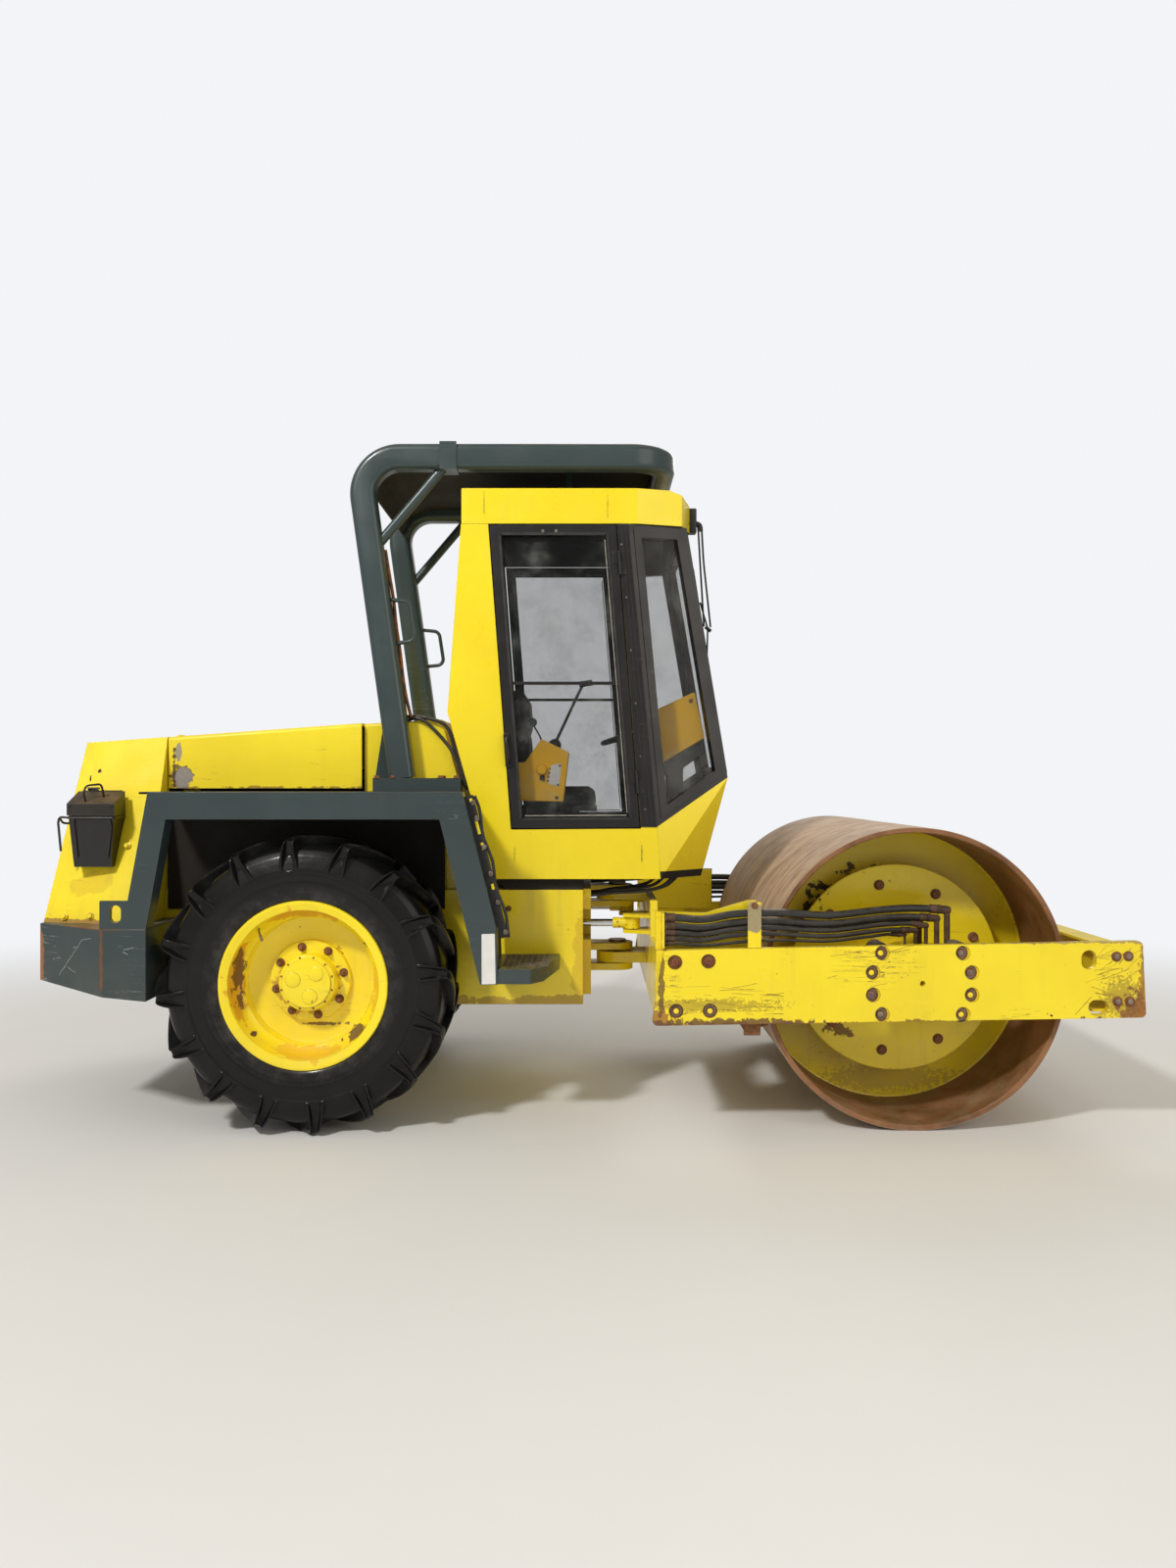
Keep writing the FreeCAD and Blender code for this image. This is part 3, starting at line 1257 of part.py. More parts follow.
BOX_FRONT_X = 380 - REACH_BACK
BOX_REAR_X = 150 - REACH_BACK
BOX_OUTER_Y = 880
BOX_BACK_Y = 738           # front of the back plate that carries the lid's hinge
BOX_BACK_PLATE = 8
BOX_RIM_Z = 1552
BOX_FOOT_Z = 1290
BOX_TAPER = 20             # narrower at the foot, on each side
LID_HINGE_Z = 1690
LID_HINGE_RADIUS = 6


def box_loft(low, high, wall, back):
    """The box's tapered form between two heights, thinner by its wall, closed at the back."""
    sections = []
    for z in (low, high):
        share = (z - BOX_FOOT_Z) / (BOX_RIM_Z - BOX_FOOT_Z)
        taper = BOX_TAPER * (1 - share) + wall
        rear, front, outer = BOX_REAR_X + taper, BOX_FRONT_X - taper, -BOX_OUTER_Y + taper
        ring = [(rear, outer), (front, outer), (front, back), (rear, back)]
        sections.append(Part.makePolygon([vec(x, y, z) for x, y in ring + ring[:1]]))
    return Part.makeLoft(sections, True, True)


def toolbox():
    """Tapered box that hangs on the leaning wall, with a back plate up to the lid's hinge."""
    back = -BOX_BACK_Y + 200
    body = box_loft(BOX_FOOT_Z, BOX_RIM_Z, 0, back)
    plate_back = -BOX_BACK_Y + BOX_BACK_PLATE
    plate = box(BOX_REAR_X + 12, BOX_FRONT_X - 12, -BOX_BACK_Y, plate_back, BOX_RIM_Z - 10,
                LID_HINGE_Z - 10)
    room = box_loft(BOX_RIM_Z - 180, BOX_RIM_Z + 1, 8, -BOX_BACK_Y - 2)
    knuckle = lid_knuckle(BOX_REAR_X + 40)
    stay = box(BOX_REAR_X + 40, BOX_REAR_X + 70, -BOX_BACK_Y, plate_back, LID_HINGE_Z - 30, LID_HINGE_Z)
    return fused([body.cut(room), plate, stay, knuckle])


def lid_knuckle(x):
    centre = vec(x, -BOX_BACK_Y - 2, LID_HINGE_Z)
    return Part.makeCylinder(LID_HINGE_RADIUS, 30, centre, vec(1, 0, 0))


def toolbox_lid():
    """Wedge-shaped lid, high at the wall."""
    back = -BOX_BACK_Y - PANEL_GAP
    outline = [(-BOX_OUTER_Y - 8, BOX_RIM_Z + 1), (-BOX_OUTER_Y - 8, 1613), (back, 1676),
               (back, BOX_RIM_Z + 1)]
    body = front_prism(outline, BOX_REAR_X - 6, BOX_FRONT_X + 6)
    start = BOX_REAR_X + 40 + 30 + RUNNING_GAP
    knuckle = lid_knuckle(start)
    arm = box(start, start + 30, back - 14, -BOX_BACK_Y - 2, LID_HINGE_Z - 4, LID_HINGE_Z + 4)
    arm = arm.fuse(box(start, start + 30, back - 14, back - 6, 1660, LID_HINGE_Z + 4))
    return fused([body, knuckle, arm])


# Wheels

BEAD_HALF = 186
# Half profile of the tyre: distance from its middle plane, radius
TYRE_HALF = TYRE_WIDTH / 2
CARCASS_RADIUS = TYRE_RADIUS - LUG_HEIGHT
TYRE_PROFILE = [(0, CARCASS_RADIUS), (TYRE_HALF - 83, CARCASS_RADIUS - 8), (TYRE_HALF - 37, CARCASS_RADIUS - 28),
                (TYRE_HALF - 7, CARCASS_RADIUS - 82), (TYRE_HALF, CARCASS_RADIUS - 142),
                (TYRE_HALF - 11, CARCASS_RADIUS - 212), (TYRE_HALF - 33, CARCASS_RADIUS - 262),
                (BEAD_HALF, RIM_SEAT_RADIUS + 35), (BEAD_HALF, RIM_SEAT_RADIUS)]
# Tread bar: across the tyre, along its rim, width, top radius
LUG_SECTIONS = [
    (-18, 0, 50, TYRE_RADIUS - 2),
    (110, 120, 54, TYRE_RADIUS),
    (TYRE_HALF - 37, 190, 66, TYRE_RADIUS - 14),
    (TYRE_HALF - 6, 212, 84, TYRE_RADIUS - 90),
    (TYRE_HALF - 5, 216, 88, TYRE_RADIUS - 170),
]


def polar(along, radius, across, phase):
    """Point on the wheel: a length along the rim, a radius and a distance across."""
    turn = math.radians(phase) - along / TYRE_RADIUS
    return vec(WHEEL_X + radius * math.sin(turn), across, WHEEL_Z + radius * math.cos(turn))


def tread_lug(phase, side):
    sections = []
    for across, along, width, top in LUG_SECTIONS:
        low = 640 if top > 640 else top - 60
        y = side * across
        corners = [polar(along - width / 2, low, y, phase), polar(along - width / 2, top, y, phase),
                   polar(along + width / 2, top, y, phase), polar(along + width / 2, low, y, phase)]
        sections.append(Part.makePolygon(corners + corners[:1]))
    return Part.makeLoft(sections, True, True)


def tyre_right():
    """Carcass with bars that meet in a V and point forward at the top."""
    half = [(-across, radius) for across, radius in TYRE_PROFILE[1:]]
    profile = half[::-1] + TYRE_PROFILE
    face = polygon_face([vec(WHEEL_X, y, WHEEL_Z + radius) for y, radius in profile])
    carcass = face.revolve(vec(WHEEL_X, 0, WHEEL_Z), vec(0, 1, 0), 360)
    pitch = 360 / LUGS_PER_SIDE
    lugs = []
    for index in range(LUGS_PER_SIDE):
        lugs.append(tread_lug(index * pitch, 1))
        lugs.append(tread_lug((index + 0.5) * pitch, -1))
    tyre = carcass.fuse(lugs)
    tyre.translate(vec(0, -WHEEL_Y, 0))
    return tyre


# Half section of the rim and its dish: across from the wheel's middle plane (outwards positive), radius
RIM_SECTION = [
    (-205, RIM_FLANGE_RADIUS), (-192, RIM_FLANGE_RADIUS), (-BEAD_HALF, 405),
    (-BEAD_HALF, RIM_SEAT_RADIUS), (-150, RIM_SEAT_RADIUS), (-60, 372),
    (-40, 340), (60, 340), (90, 372), (150, RIM_SEAT_RADIUS), (BEAD_HALF, RIM_SEAT_RADIUS),
    (BEAD_HALF, 405), (192, RIM_FLANGE_RADIUS),
    (205, RIM_FLANGE_RADIUS), (205, RIM_FLANGE_RADIUS - 16), (198, 368), (96, 356), (66, 322),
    (30, 322), (16, 300), (16, SPINDLE_RADIUS + 60), (-4, SPINDLE_RADIUS + 60), (-4, 310),
    (10, 322), (-46, 322), (-66, 356), (-198, 368), (-205, RIM_FLANGE_RADIUS - 16),
]


def rim_right():
    """Rim with its dish, and the geared hub that turns with it."""
    points = [vec(WHEEL_X, -WHEEL_Y - across, WHEEL_Z + radius) for across, radius in RIM_SECTION]
    axis_point = vec(WHEEL_X, 0, WHEEL_Z)
    rim = polygon_face(points).revolve(axis_point, vec(0, 1, 0), 360)
    hub = cross_cylinder(WHEEL_X, WHEEL_Z, HUB_RADIUS, -HUB_END_Y, -800 - 3)
    cap = cross_cylinder(WHEEL_X, WHEEL_Z, HUB_RADIUS - 21, -HUB_END_Y - 12, -HUB_END_Y)
    flange = cross_cylinder(WHEEL_X, WHEEL_Z, 200, -DISH_Y + 20, -DISH_Y + 50)
    bore = cross_cylinder(WHEEL_X, WHEEL_Z, SPINDLE_RADIUS + RUNNING_GAP, -DISH_Y - 41, -790)
    return fused([rim, hub, cap, flange]).cut(bore)


def build():
    os.makedirs(PARTS, exist_ok=True)
    save("drum_shell", drum_shell())
    save("drum_webs", drum_webs())

    plate = side_plate_right()
    save("side_plate_right", plate)
    save("side_plate_left", mirrored(plate))
    save("front_beam", front_beam())
    save("articulation_yoke", articulation_yoke())
    save("drum_carriers", drum_carriers())
    save("rubber_buffers", rubber_buffers())
    save("drum_scraper", drum_scraper())
    tubes, hardware = hoses_right()
    save("drum_hoses", group(tubes + [mirrored(tube) for tube in tubes]))
    save("hose_hardware", group(hardware + [mirrored(piece) for piece in hardware]))

    save("main_frame", main_frame())
    save("articulation_pins", articulation_pins())
    for name, piece in (("steering_barrel", steering_barrel_right()), ("steering_rod", steering_rod_right())):
        save(name + "_right", piece)
        save(name + "_left", mirrored(piece))
    save("engine_block", engine_block())
    save("rear_axle", rear_axle())
    save("counterweight", counterweight())
    fender = fender_frame_right()
    save("fender_frame_right", fender)
    save("fender_frame_left", mirrored(fender))
    save("wheel_arches", wheel_arches())
    save("steps", steps())

    housing = rear_housing()
    save("rear_housing", housing)
    save("rear_grille", rear_grille())
    save("hood", hood())
    save("cowl", cowl())
    solid_housing = housing_loft(0, 0, 0)
    save("toolbox", toolbox().cut(solid_housing))
    save("toolbox_lid", toolbox_lid())

    panels = cab_panels()
    save("cab_side_right", panels["side"])
    save("cab_side_left", mirrored(panels["side"]))
    save("cab_rear_wall", panels["rear"])
    save("cab_floor", fused([panels["floor"], cab_underframe()]))
    save("cab_front", panels["front"])
    save("cab_roof", cab_roof())
    save("window_frames", window_frames())
    save("window_glass", window_glass())
    door, glass = door_frame_right(), door_glass_right()
    save("door_frame_right", door)
    save("door_frame_left", mirrored(door))
    save("door_glass_right", glass)
    save("door_glass_left", mirrored(glass))
    save("seat_base", seat_base())
    save("seat_cushions", seat_cushions())
    save("steering_column", steering_column())
    save("steering_wheel", steering_wheel())
    save("operator_console", operator_console())

    frame = rops_frame()
    save("rops_frame", frame)
    save("rops_roof", rops_roof().cut(frame))
    save("grab_handles", grab_handles().cut(frame))

    tyre, rim = tyre_right(), rim_right()
    save("tyre_right", tyre)
    save("tyre_left", mirrored(tyre))
    save("rim_right", rim)
    save("rim_left", mirrored(rim))


build()
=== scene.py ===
"""Looks of the single-drum road roller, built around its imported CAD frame."""
import json
import logging
import math
from dataclasses import dataclass, field
from enum import Enum

import bmesh
import bpy
import numpy as np
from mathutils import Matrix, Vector


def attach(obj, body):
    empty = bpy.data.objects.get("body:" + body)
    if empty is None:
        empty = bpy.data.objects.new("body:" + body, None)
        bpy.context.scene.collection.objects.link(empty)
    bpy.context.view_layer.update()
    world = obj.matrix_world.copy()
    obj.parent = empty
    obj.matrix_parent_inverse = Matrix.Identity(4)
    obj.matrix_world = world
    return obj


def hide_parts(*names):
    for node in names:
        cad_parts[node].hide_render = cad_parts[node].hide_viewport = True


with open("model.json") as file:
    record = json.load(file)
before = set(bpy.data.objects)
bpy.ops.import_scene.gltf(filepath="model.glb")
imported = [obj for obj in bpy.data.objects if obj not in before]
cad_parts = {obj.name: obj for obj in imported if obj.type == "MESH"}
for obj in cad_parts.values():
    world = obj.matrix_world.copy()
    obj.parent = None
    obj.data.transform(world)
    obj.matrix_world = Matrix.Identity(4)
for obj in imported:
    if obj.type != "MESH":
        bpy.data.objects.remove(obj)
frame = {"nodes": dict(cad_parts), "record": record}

LOG = logging.getLogger("roller")
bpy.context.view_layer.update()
TURN = 2 * math.pi


class Slot(Enum):
    """Material slots of the record."""

    YELLOW = "yellow_paint"
    GREY = "grey_paint"
    BLACK = "black_paint"
    CONSOLE = "console_paint"
    GLASS = "window_glass"
    TYRE = "tyre_rubber"
    DRUM = "drum_steel"
    STEEL = "bare_steel"
    IRON = "engine_iron"
    BUFFER = "buffer_rubber"
    SEAT = "seat_cover"
    PLASTIC = "black_plastic"
    CHROME = "rod_chrome"
    HOSE = "hose_rubber"
    PLATED = "plated_steel"


# Surfaces

def unit(vector: np.ndarray) -> np.ndarray:
    """The vector at length one."""
    vector = np.asarray(vector, float)
    return vector / np.linalg.norm(vector)


def frame_about(axis: np.ndarray) -> tuple[np.ndarray, np.ndarray, np.ndarray]:
    """Three unit vectors at right angles, the last one along the axis.

    Args:
        axis: direction of the third vector.
    Returns:
        Two vectors across the axis and the axis itself.
    """
    along = unit(axis)
    helper = np.array([0, 0, 1.0]) if abs(along[2]) < 0.9 else np.array([1.0, 0, 0])
    first = unit(np.cross(helper, along))
    return first, np.cross(along, first), along


@dataclass
class Pile:
    """Grids and fans gathered into one mesh."""

    points: list[np.ndarray] = field(default_factory=list)
    faces: list[list[int]] = field(default_factory=list)
    marks: list[int] = field(default_factory=list)
    count: int = 0

    def grid(self, points: np.ndarray, wrap_rows: bool = False, wrap_columns: bool = False, mark: int = 0) -> int:
        """Adds a grid of quads.

        Args:
            points: rows by columns by three.
            wrap_rows: the last row joins the first.
            wrap_columns: the last column joins the first.
            mark: material of the faces.
        Returns:
            Index of the grid's first point.
        """
        rows, columns = points.shape[:2]
        start = self.count
        index = np.arange(rows * columns).reshape(rows, columns) + start
        if wrap_rows:
            index = np.vstack([index, index[:1]])
        if wrap_columns:
            index = np.hstack([index, index[:, :1]])
        quads = np.stack([index[:-1, :-1], index[:-1, 1:], index[1:, 1:], index[1:, :-1]], axis=-1)
        quads = quads.reshape(-1, 4).tolist()
        self.points.append(points.reshape(-1, 3))
        self.faces += quads
        self.marks += [mark] * len(quads)
        self.count += rows * columns
        return start

    def close(self, ring: range, mark: int = 0, backwards: bool = False) -> None:
        """Closes a ring of points with one flat face."""
        loop = list(ring)
        self.faces.append(loop[::-1] if backwards else loop)
        self.marks.append(mark)

    def sweep(self, rings: np.ndarray, mark: int = 0) -> None:
        """Adds closed rings carried along a path, with both ends closed.

        Args:
            rings: stations by ring points by three, the rings turning right-handed round the path.
            mark: material of the faces.
        """
        stations, around = rings.shape[:2]
        start = self.grid(rings, wrap_columns=True, mark=mark)
        self.close(range(start, start + around), mark, backwards=True)
        last = start + (stations - 1) * around
        self.close(range(last, last + around), mark)

    def solid(self, name: str, materials: list[bpy.types.Material], smooth: float = 35) -> bpy.types.Object:
        """Makes the object.

        Args:
            name: the piece's name.
            materials: one for each mark.
            smooth: edges flatter than this many degrees shade smooth.
        Returns:
            The linked object.
        """
        mesh = bpy.data.meshes.new(name)
        mesh.from_pydata(np.vstack(self.points).tolist(), [], self.faces)
        mesh.polygons.foreach_set("material_index", self.marks)
        for material in materials:
            mesh.materials.append(material)
        work = bmesh.new()
        work.from_mesh(mesh)
        bmesh.ops.remove_doubles(work, verts=work.verts, dist=1e-6)
        bmesh.ops.recalc_face_normals(work, faces=work.faces)
        work.to_mesh(mesh)
        work.free()
        return linked(name, mesh, smooth)


def linked(name: str, mesh: bpy.types.Mesh, smooth: float = 35) -> bpy.types.Object:
    """Links a mesh as a piece with smooth shading up to an angle in degrees."""
    mesh.polygons.foreach_set("use_smooth", [True] * len(mesh.polygons))
    mesh.set_sharp_from_angle(angle=math.radians(smooth))
    thing = bpy.data.objects.new(name, mesh)
    bpy.context.scene.collection.objects.link(thing)
    return thing


def settle(thing: bpy.types.Object, body: str, slot: Slot, *nodes: str) -> bpy.types.Object:
    """Rides a piece on a body and hides the nodes that it stands for."""
    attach(thing, body)
    if nodes:
        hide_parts(*nodes)
    LOG.info("%s on %s", thing.name, body)
    return thing


def lathe(profile: list[tuple[float, float]], centre: tuple, axis: tuple, segments: int) -> np.ndarray:
    """Carries a profile round an axis: point = centre + radius (cos t, sin t) + along.

    Args:
        profile: radius and distance along the axis of each point.
        centre: point on the axis.
        axis: direction of the axis.
        segments: points round it.
    Returns:
        Grid of profile points by segments, for a grid with wrapped columns.
    """
    first, second, along = frame_about(axis)
    turn = np.linspace(0, TURN, segments, endpoint=False)
    ring = np.cos(turn)[:, None] * first + np.sin(turn)[:, None] * second
    table = np.asarray(profile, float)
    return np.asarray(centre, float) + table[:, :1, None] * ring[None] + table[:, 1:, None] * along


def hexagon(radius: float, turn: np.ndarray) -> np.ndarray:
    """Distance from the centre to a hexagon's side: apothem over the cosine from the side's middle."""
    return radius * math.cos(math.pi / 6) / np.cos((turn % (math.pi / 3)) - math.pi / 6)


def bolt(pile: Pile, centre: tuple, axis: tuple, radius: float, height: float, mark: int = 0, spin: float = 0.3,
         washer: bool = True, tip: int | None = None) -> None:
    """Adds a hexagon bolt head with its washer.

    Args:
        pile: where it goes.
        centre: point on the face that it clamps.
        axis: outward direction.
        radius: corner radius of the head.
        height: height of the head.
        mark: material.
        spin: turn of the hexagon in radians.
        washer: adds the washer.
        tip: material of a worn crown, None for none.
    """
    first, second, along = frame_about(axis)
    turn = np.linspace(0, TURN, 24, endpoint=False)
    side = hexagon(radius, turn)
    crown = np.minimum(side, radius * 0.9)
    aim = np.cos(turn + spin)[:, None] * first + np.sin(turn + spin)[:, None] * second
    foot = radius * 0.12 if washer else 0.0
    levels = [(side, foot - 0.0005), (side, foot + height * 0.82), (crown * 0.97, foot + height),
              (crown * 0.45, foot + height * 0.99)]
    rings = np.stack([np.asarray(centre) + size[:, None] * aim + lift * along for size, lift in levels])
    pile.sweep(rings, mark)
    if tip is not None:
        top = foot + height
        pile.grid(lathe([(0.0, top + 0.0012), (radius * 0.55, top + 0.0010), (radius * 0.66, top - 0.0004)],
                        centre, axis, 20), wrap_columns=True, mark=tip)
    if washer:
        rim = radius * 1.32
        pile.sweep(np.stack([np.asarray(centre) + size * aim + lift * along
                             for size, lift in ((rim, -0.0005), (rim, foot * 0.7), (rim * 0.95, foot))]), mark)


def rounded(corners: list[tuple[float, float]], radius: float, steps: int = 5) -> np.ndarray:
    """Outline with arcs in its corners: each arc joins the points at the same distance from its corner.

    Args:
        corners: outline in order.
        radius: distance kept from each corner, at most 0.45 of its shorter side.
        steps: points on each arc.
    Returns:
        Points by two.
    """
    table = np.asarray(corners, float)
    before = np.roll(table, 1, axis=0) - table
    after = np.roll(table, -1, axis=0) - table
    reach = np.minimum(radius, 0.45 * np.minimum(np.linalg.norm(before, axis=1), np.linalg.norm(after, axis=1)))
    begin = table + before / np.linalg.norm(before, axis=1)[:, None] * reach[:, None]
    end = table + after / np.linalg.norm(after, axis=1)[:, None] * reach[:, None]
    share = np.linspace(0, 1, steps)[None, :, None]
    arcs = (1 - share) ** 2 * begin[:, None] + 2 * share * (1 - share) * table[:, None] + share ** 2 * end[:, None]
    return arcs.reshape(-1, 2)


def inset(outline: np.ndarray, margin: float) -> np.ndarray:
    """Outline moved inwards along the mean of each point's two side normals."""
    side = np.roll(outline, -1, axis=0) - outline
    normal = np.stack([-side[:, 1], side[:, 0]], axis=1)
    normal /= np.maximum(np.linalg.norm(normal, axis=1), 1e-9)[:, None]
    mean = normal + np.roll(normal, 1, axis=0)
    mean /= np.maximum((mean * mean).sum(axis=1), 1e-9)[:, None] / 2
    area = np.cross(outline, np.roll(outline, -1, axis=0)).sum()
    return outline + mean * margin * (1 if area > 0 else -1)


def plate(pile: Pile, outline: np.ndarray, place, start: float, end: float, edge: float = 0.002, mark: int = 0) -> None:
    """Adds a flat plate with eased edges.

    Args:
        pile: where it goes.
        outline: points by two in the plate's plane.
        place: function of (first, second, depth) arrays that gives points.
        start: depth of one face.
        end: depth of the other face.
        edge: width of the eased edge.
        mark: material.
    """
    way = 1 if end > start else -1
    levels = [(inset(outline, edge), start), (outline, start + way * edge), (outline, end - way * edge),
              (inset(outline, edge), end)]
    rings = [place(points[:, 0], points[:, 1], np.full(len(points), depth)) for points, depth in levels]
    pile.sweep(np.stack(rings), mark)


def side_place(first: np.ndarray, second: np.ndarray, depth: np.ndarray) -> np.ndarray:
    """Points of the side view: x, z and depth along y."""
    return np.stack([first, depth, second], axis=1)


def front_place(first: np.ndarray, second: np.ndarray, depth: np.ndarray) -> np.ndarray:
    """Points of the front view: y, z and depth along x."""
    return np.stack([depth, first, second], axis=1)


def plan_place(first: np.ndarray, second: np.ndarray, depth: np.ndarray) -> np.ndarray:
    """Points of the plan: x, y and depth along z."""
    return np.stack([first, second, depth], axis=1)


def block(pile: Pile, low: tuple, high: tuple, edge: float = 0.003, mark: int = 0) -> None:
    """Adds a box with eased edges between two corners."""
    outline = rounded([(low[0], low[1]), (high[0], low[1]), (high[0], high[1]), (low[0], high[1])], edge, 3)
    plate(pile, outline, plan_place, low[2], high[2], edge * 0.6, mark)


def along_path(points: np.ndarray, radius: float, sides: int = 12) -> np.ndarray:
    """Rings of a round tube: each ring stands square to the path, its frame carried on without twist.

    Args:
        points: path.
        radius: tube radius.
        sides: points on a ring.
    Returns:
        Stations by sides by three.
    """
    heading = np.gradient(points, axis=0)
    heading /= np.linalg.norm(heading, axis=1)[:, None]
    across = frame_about(heading[0])[0]
    turn = np.linspace(0, TURN, sides, endpoint=False)
    rings = []
    for place, along in zip(points, heading):
        across = unit(across - along * (across @ along))
        other = np.cross(along, across)
        rings.append(place + radius * (np.cos(turn)[:, None] * across + np.sin(turn)[:, None] * other))
    return np.stack(rings)


def bent(corners: list[tuple], radius: float, steps: int = 7) -> np.ndarray:
    """Path through corners with a curve in each inner one, as a bent bar has."""
    table = np.asarray(corners, float)
    path = [table[:1]]
    for before, corner, after in zip(table[:-2], table[1:-1], table[2:]):
        reach = min(radius, 0.48 * np.linalg.norm(before - corner), 0.48 * np.linalg.norm(after - corner))
        begin = corner + unit(before - corner) * reach
        end = corner + unit(after - corner) * reach
        share = np.linspace(0, 1, steps)[:, None]
        path.append((1 - share) ** 2 * begin + 2 * share * (1 - share) * corner + share ** 2 * end)
    path.append(table[-1:])
    return np.vstack(path)


def both(point: tuple) -> list[tuple]:
    """A point on the right side and its mirror on the left."""
    return [point, (point[0], -point[1], point[2])]


def eased_copy(node: str, body: str, material: bpy.types.Material, width: float = 0.003, slot: Slot | None = None,
               angle: float = 30) -> bpy.types.Object:
    """Stands for a CAD node with a merged copy whose sharp edges are rounded.

    Args:
        node: the CAD node.
        body: the body it rides on.
        material: its finish.
        width: width of the rounding, 0 for none.
        slot: slot of the record.
        angle: edges flatter than this stay.
    Returns:
        The piece.
    """
    mesh = frame["nodes"][node].data.copy()
    mesh.name = node + "_skin"
    work = bmesh.new()
    work.from_mesh(mesh)
    bmesh.ops.remove_doubles(work, verts=work.verts, dist=2e-5)
    bmesh.ops.dissolve_limit(work, angle_limit=math.radians(1.2), verts=work.verts, edges=work.edges)
    work.to_mesh(mesh)
    work.free()
    mesh.materials.clear()
    mesh.materials.append(material)
    thing = linked(node + "_skin", mesh, angle)
    if width:
        ease = thing.modifiers.new("eased", "BEVEL")
        ease.width = width
        ease.segments = 2
        ease.limit_method = "ANGLE"
        ease.angle_limit = math.radians(angle)
        ease.harden_normals = True
    slot = slot or SLOT_OF[node]
    return settle(thing, body, slot, node)


BODY_OF = {node: body for body, nodes in frame["record"]["behaviour"]["bodies"].items() for node in nodes}
SLOT_OF = {row["node"]: Slot(row["material_slot"]) for row in frame["record"]["subparts"]}


# Finishes

class Web:
    """Short calls for a node tree."""

    def __init__(self, tree: bpy.types.NodeTree) -> None:
        """Keeps the tree."""
        self.tree = tree

    def add(self, kind: str, *inputs, **settings) -> bpy.types.Node:
        """Adds a node.

        Args:
            kind: node type without its ShaderNode prefix.
            inputs: a value or an output for each socket in order, None to leave one.
            settings: the node's own settings.
        Returns:
            The node.
        """
        node = self.tree.nodes.new("ShaderNode" + kind)
        for key, value in settings.items():
            setattr(node, key, value)
        for index, value in enumerate(inputs):
            if value is not None:
                self.feed(node.inputs[index], value)
        return node

    def feed(self, socket: bpy.types.NodeSocket, value) -> None:
        """Links an output to a socket or sets its value."""
        if isinstance(value, bpy.types.NodeSocket):
            self.tree.links.new(value, socket)
        else:
            socket.default_value = value

    def maths(self, operation: str, *inputs) -> bpy.types.NodeSocket:
        """Result of a Math node."""
        return self.add("Math", *inputs, operation=operation).outputs[0]

    def ramp(self, value, low: float, high: float, bottom: float = 0.0, top: float = 1.0) -> bpy.types.NodeSocket:
        """Smooth step of a value from bottom at low to top at high."""
        node = self.add("MapRange", value, low, high, bottom, top, interpolation_type="SMOOTHSTEP")
        return node.outputs[0]

    def noise(self, place, scale, detail: float = 4, rough: float = 0.55) -> bpy.types.NodeSocket:
        """Noise value at a place."""
        return self.add("TexNoise", place, None, scale, detail, rough).outputs[0]

    def mix(self, factor, first, second, kind: str = "MIX") -> bpy.types.NodeSocket:
        """Mix of two colours."""
        node = self.add("Mix", data_type="RGBA", blend_type=kind)
        self.feed(node.inputs[0], factor)
        self.feed(node.inputs[6], first)
        self.feed(node.inputs[7], second)
        return node.outputs[2]

    def use(self, group: bpy.types.NodeTree, **values) -> bpy.types.Node:
        """Places a group with its inputs set by name, underscores for spaces."""
        node = self.tree.nodes.new("ShaderNodeGroup")
        node.node_tree = group
        for key, value in values.items():
            self.feed(node.inputs[key.replace("_", " ")], value)
        return node


def new_group(name: str, inputs: dict[str, object], outputs: dict[str, str]) -> tuple[bpy.types.NodeTree, Web, object, object]:
    """Makes an empty shader group.

    Args:
        name: its name.
        inputs: default of each input, a number or a three-number vector.
        outputs: socket type of each output, Float or Color.
    Returns:
        The group, its web, its input node's outputs and its output node's inputs.
    """
    tree = bpy.data.node_groups.new(name, "ShaderNodeTree")
    for key, default in inputs.items():
        kind = "NodeSocketVector" if isinstance(default, tuple) else "NodeSocketFloat"
        socket = tree.interface.new_socket(key, in_out="INPUT", socket_type=kind)
        socket.default_value = default
    for key, kind in outputs.items():
        tree.interface.new_socket(key, in_out="OUTPUT", socket_type="NodeSocket" + kind)
    source = tree.nodes.new("NodeGroupInput")
    sink = tree.nodes.new("NodeGroupOutput")
    return tree, Web(tree), source.outputs, sink.inputs


def object_place(web: Web) -> bpy.types.NodeSocket:
    """Object coordinates."""
    return web.add("TexCoord").outputs["Object"]


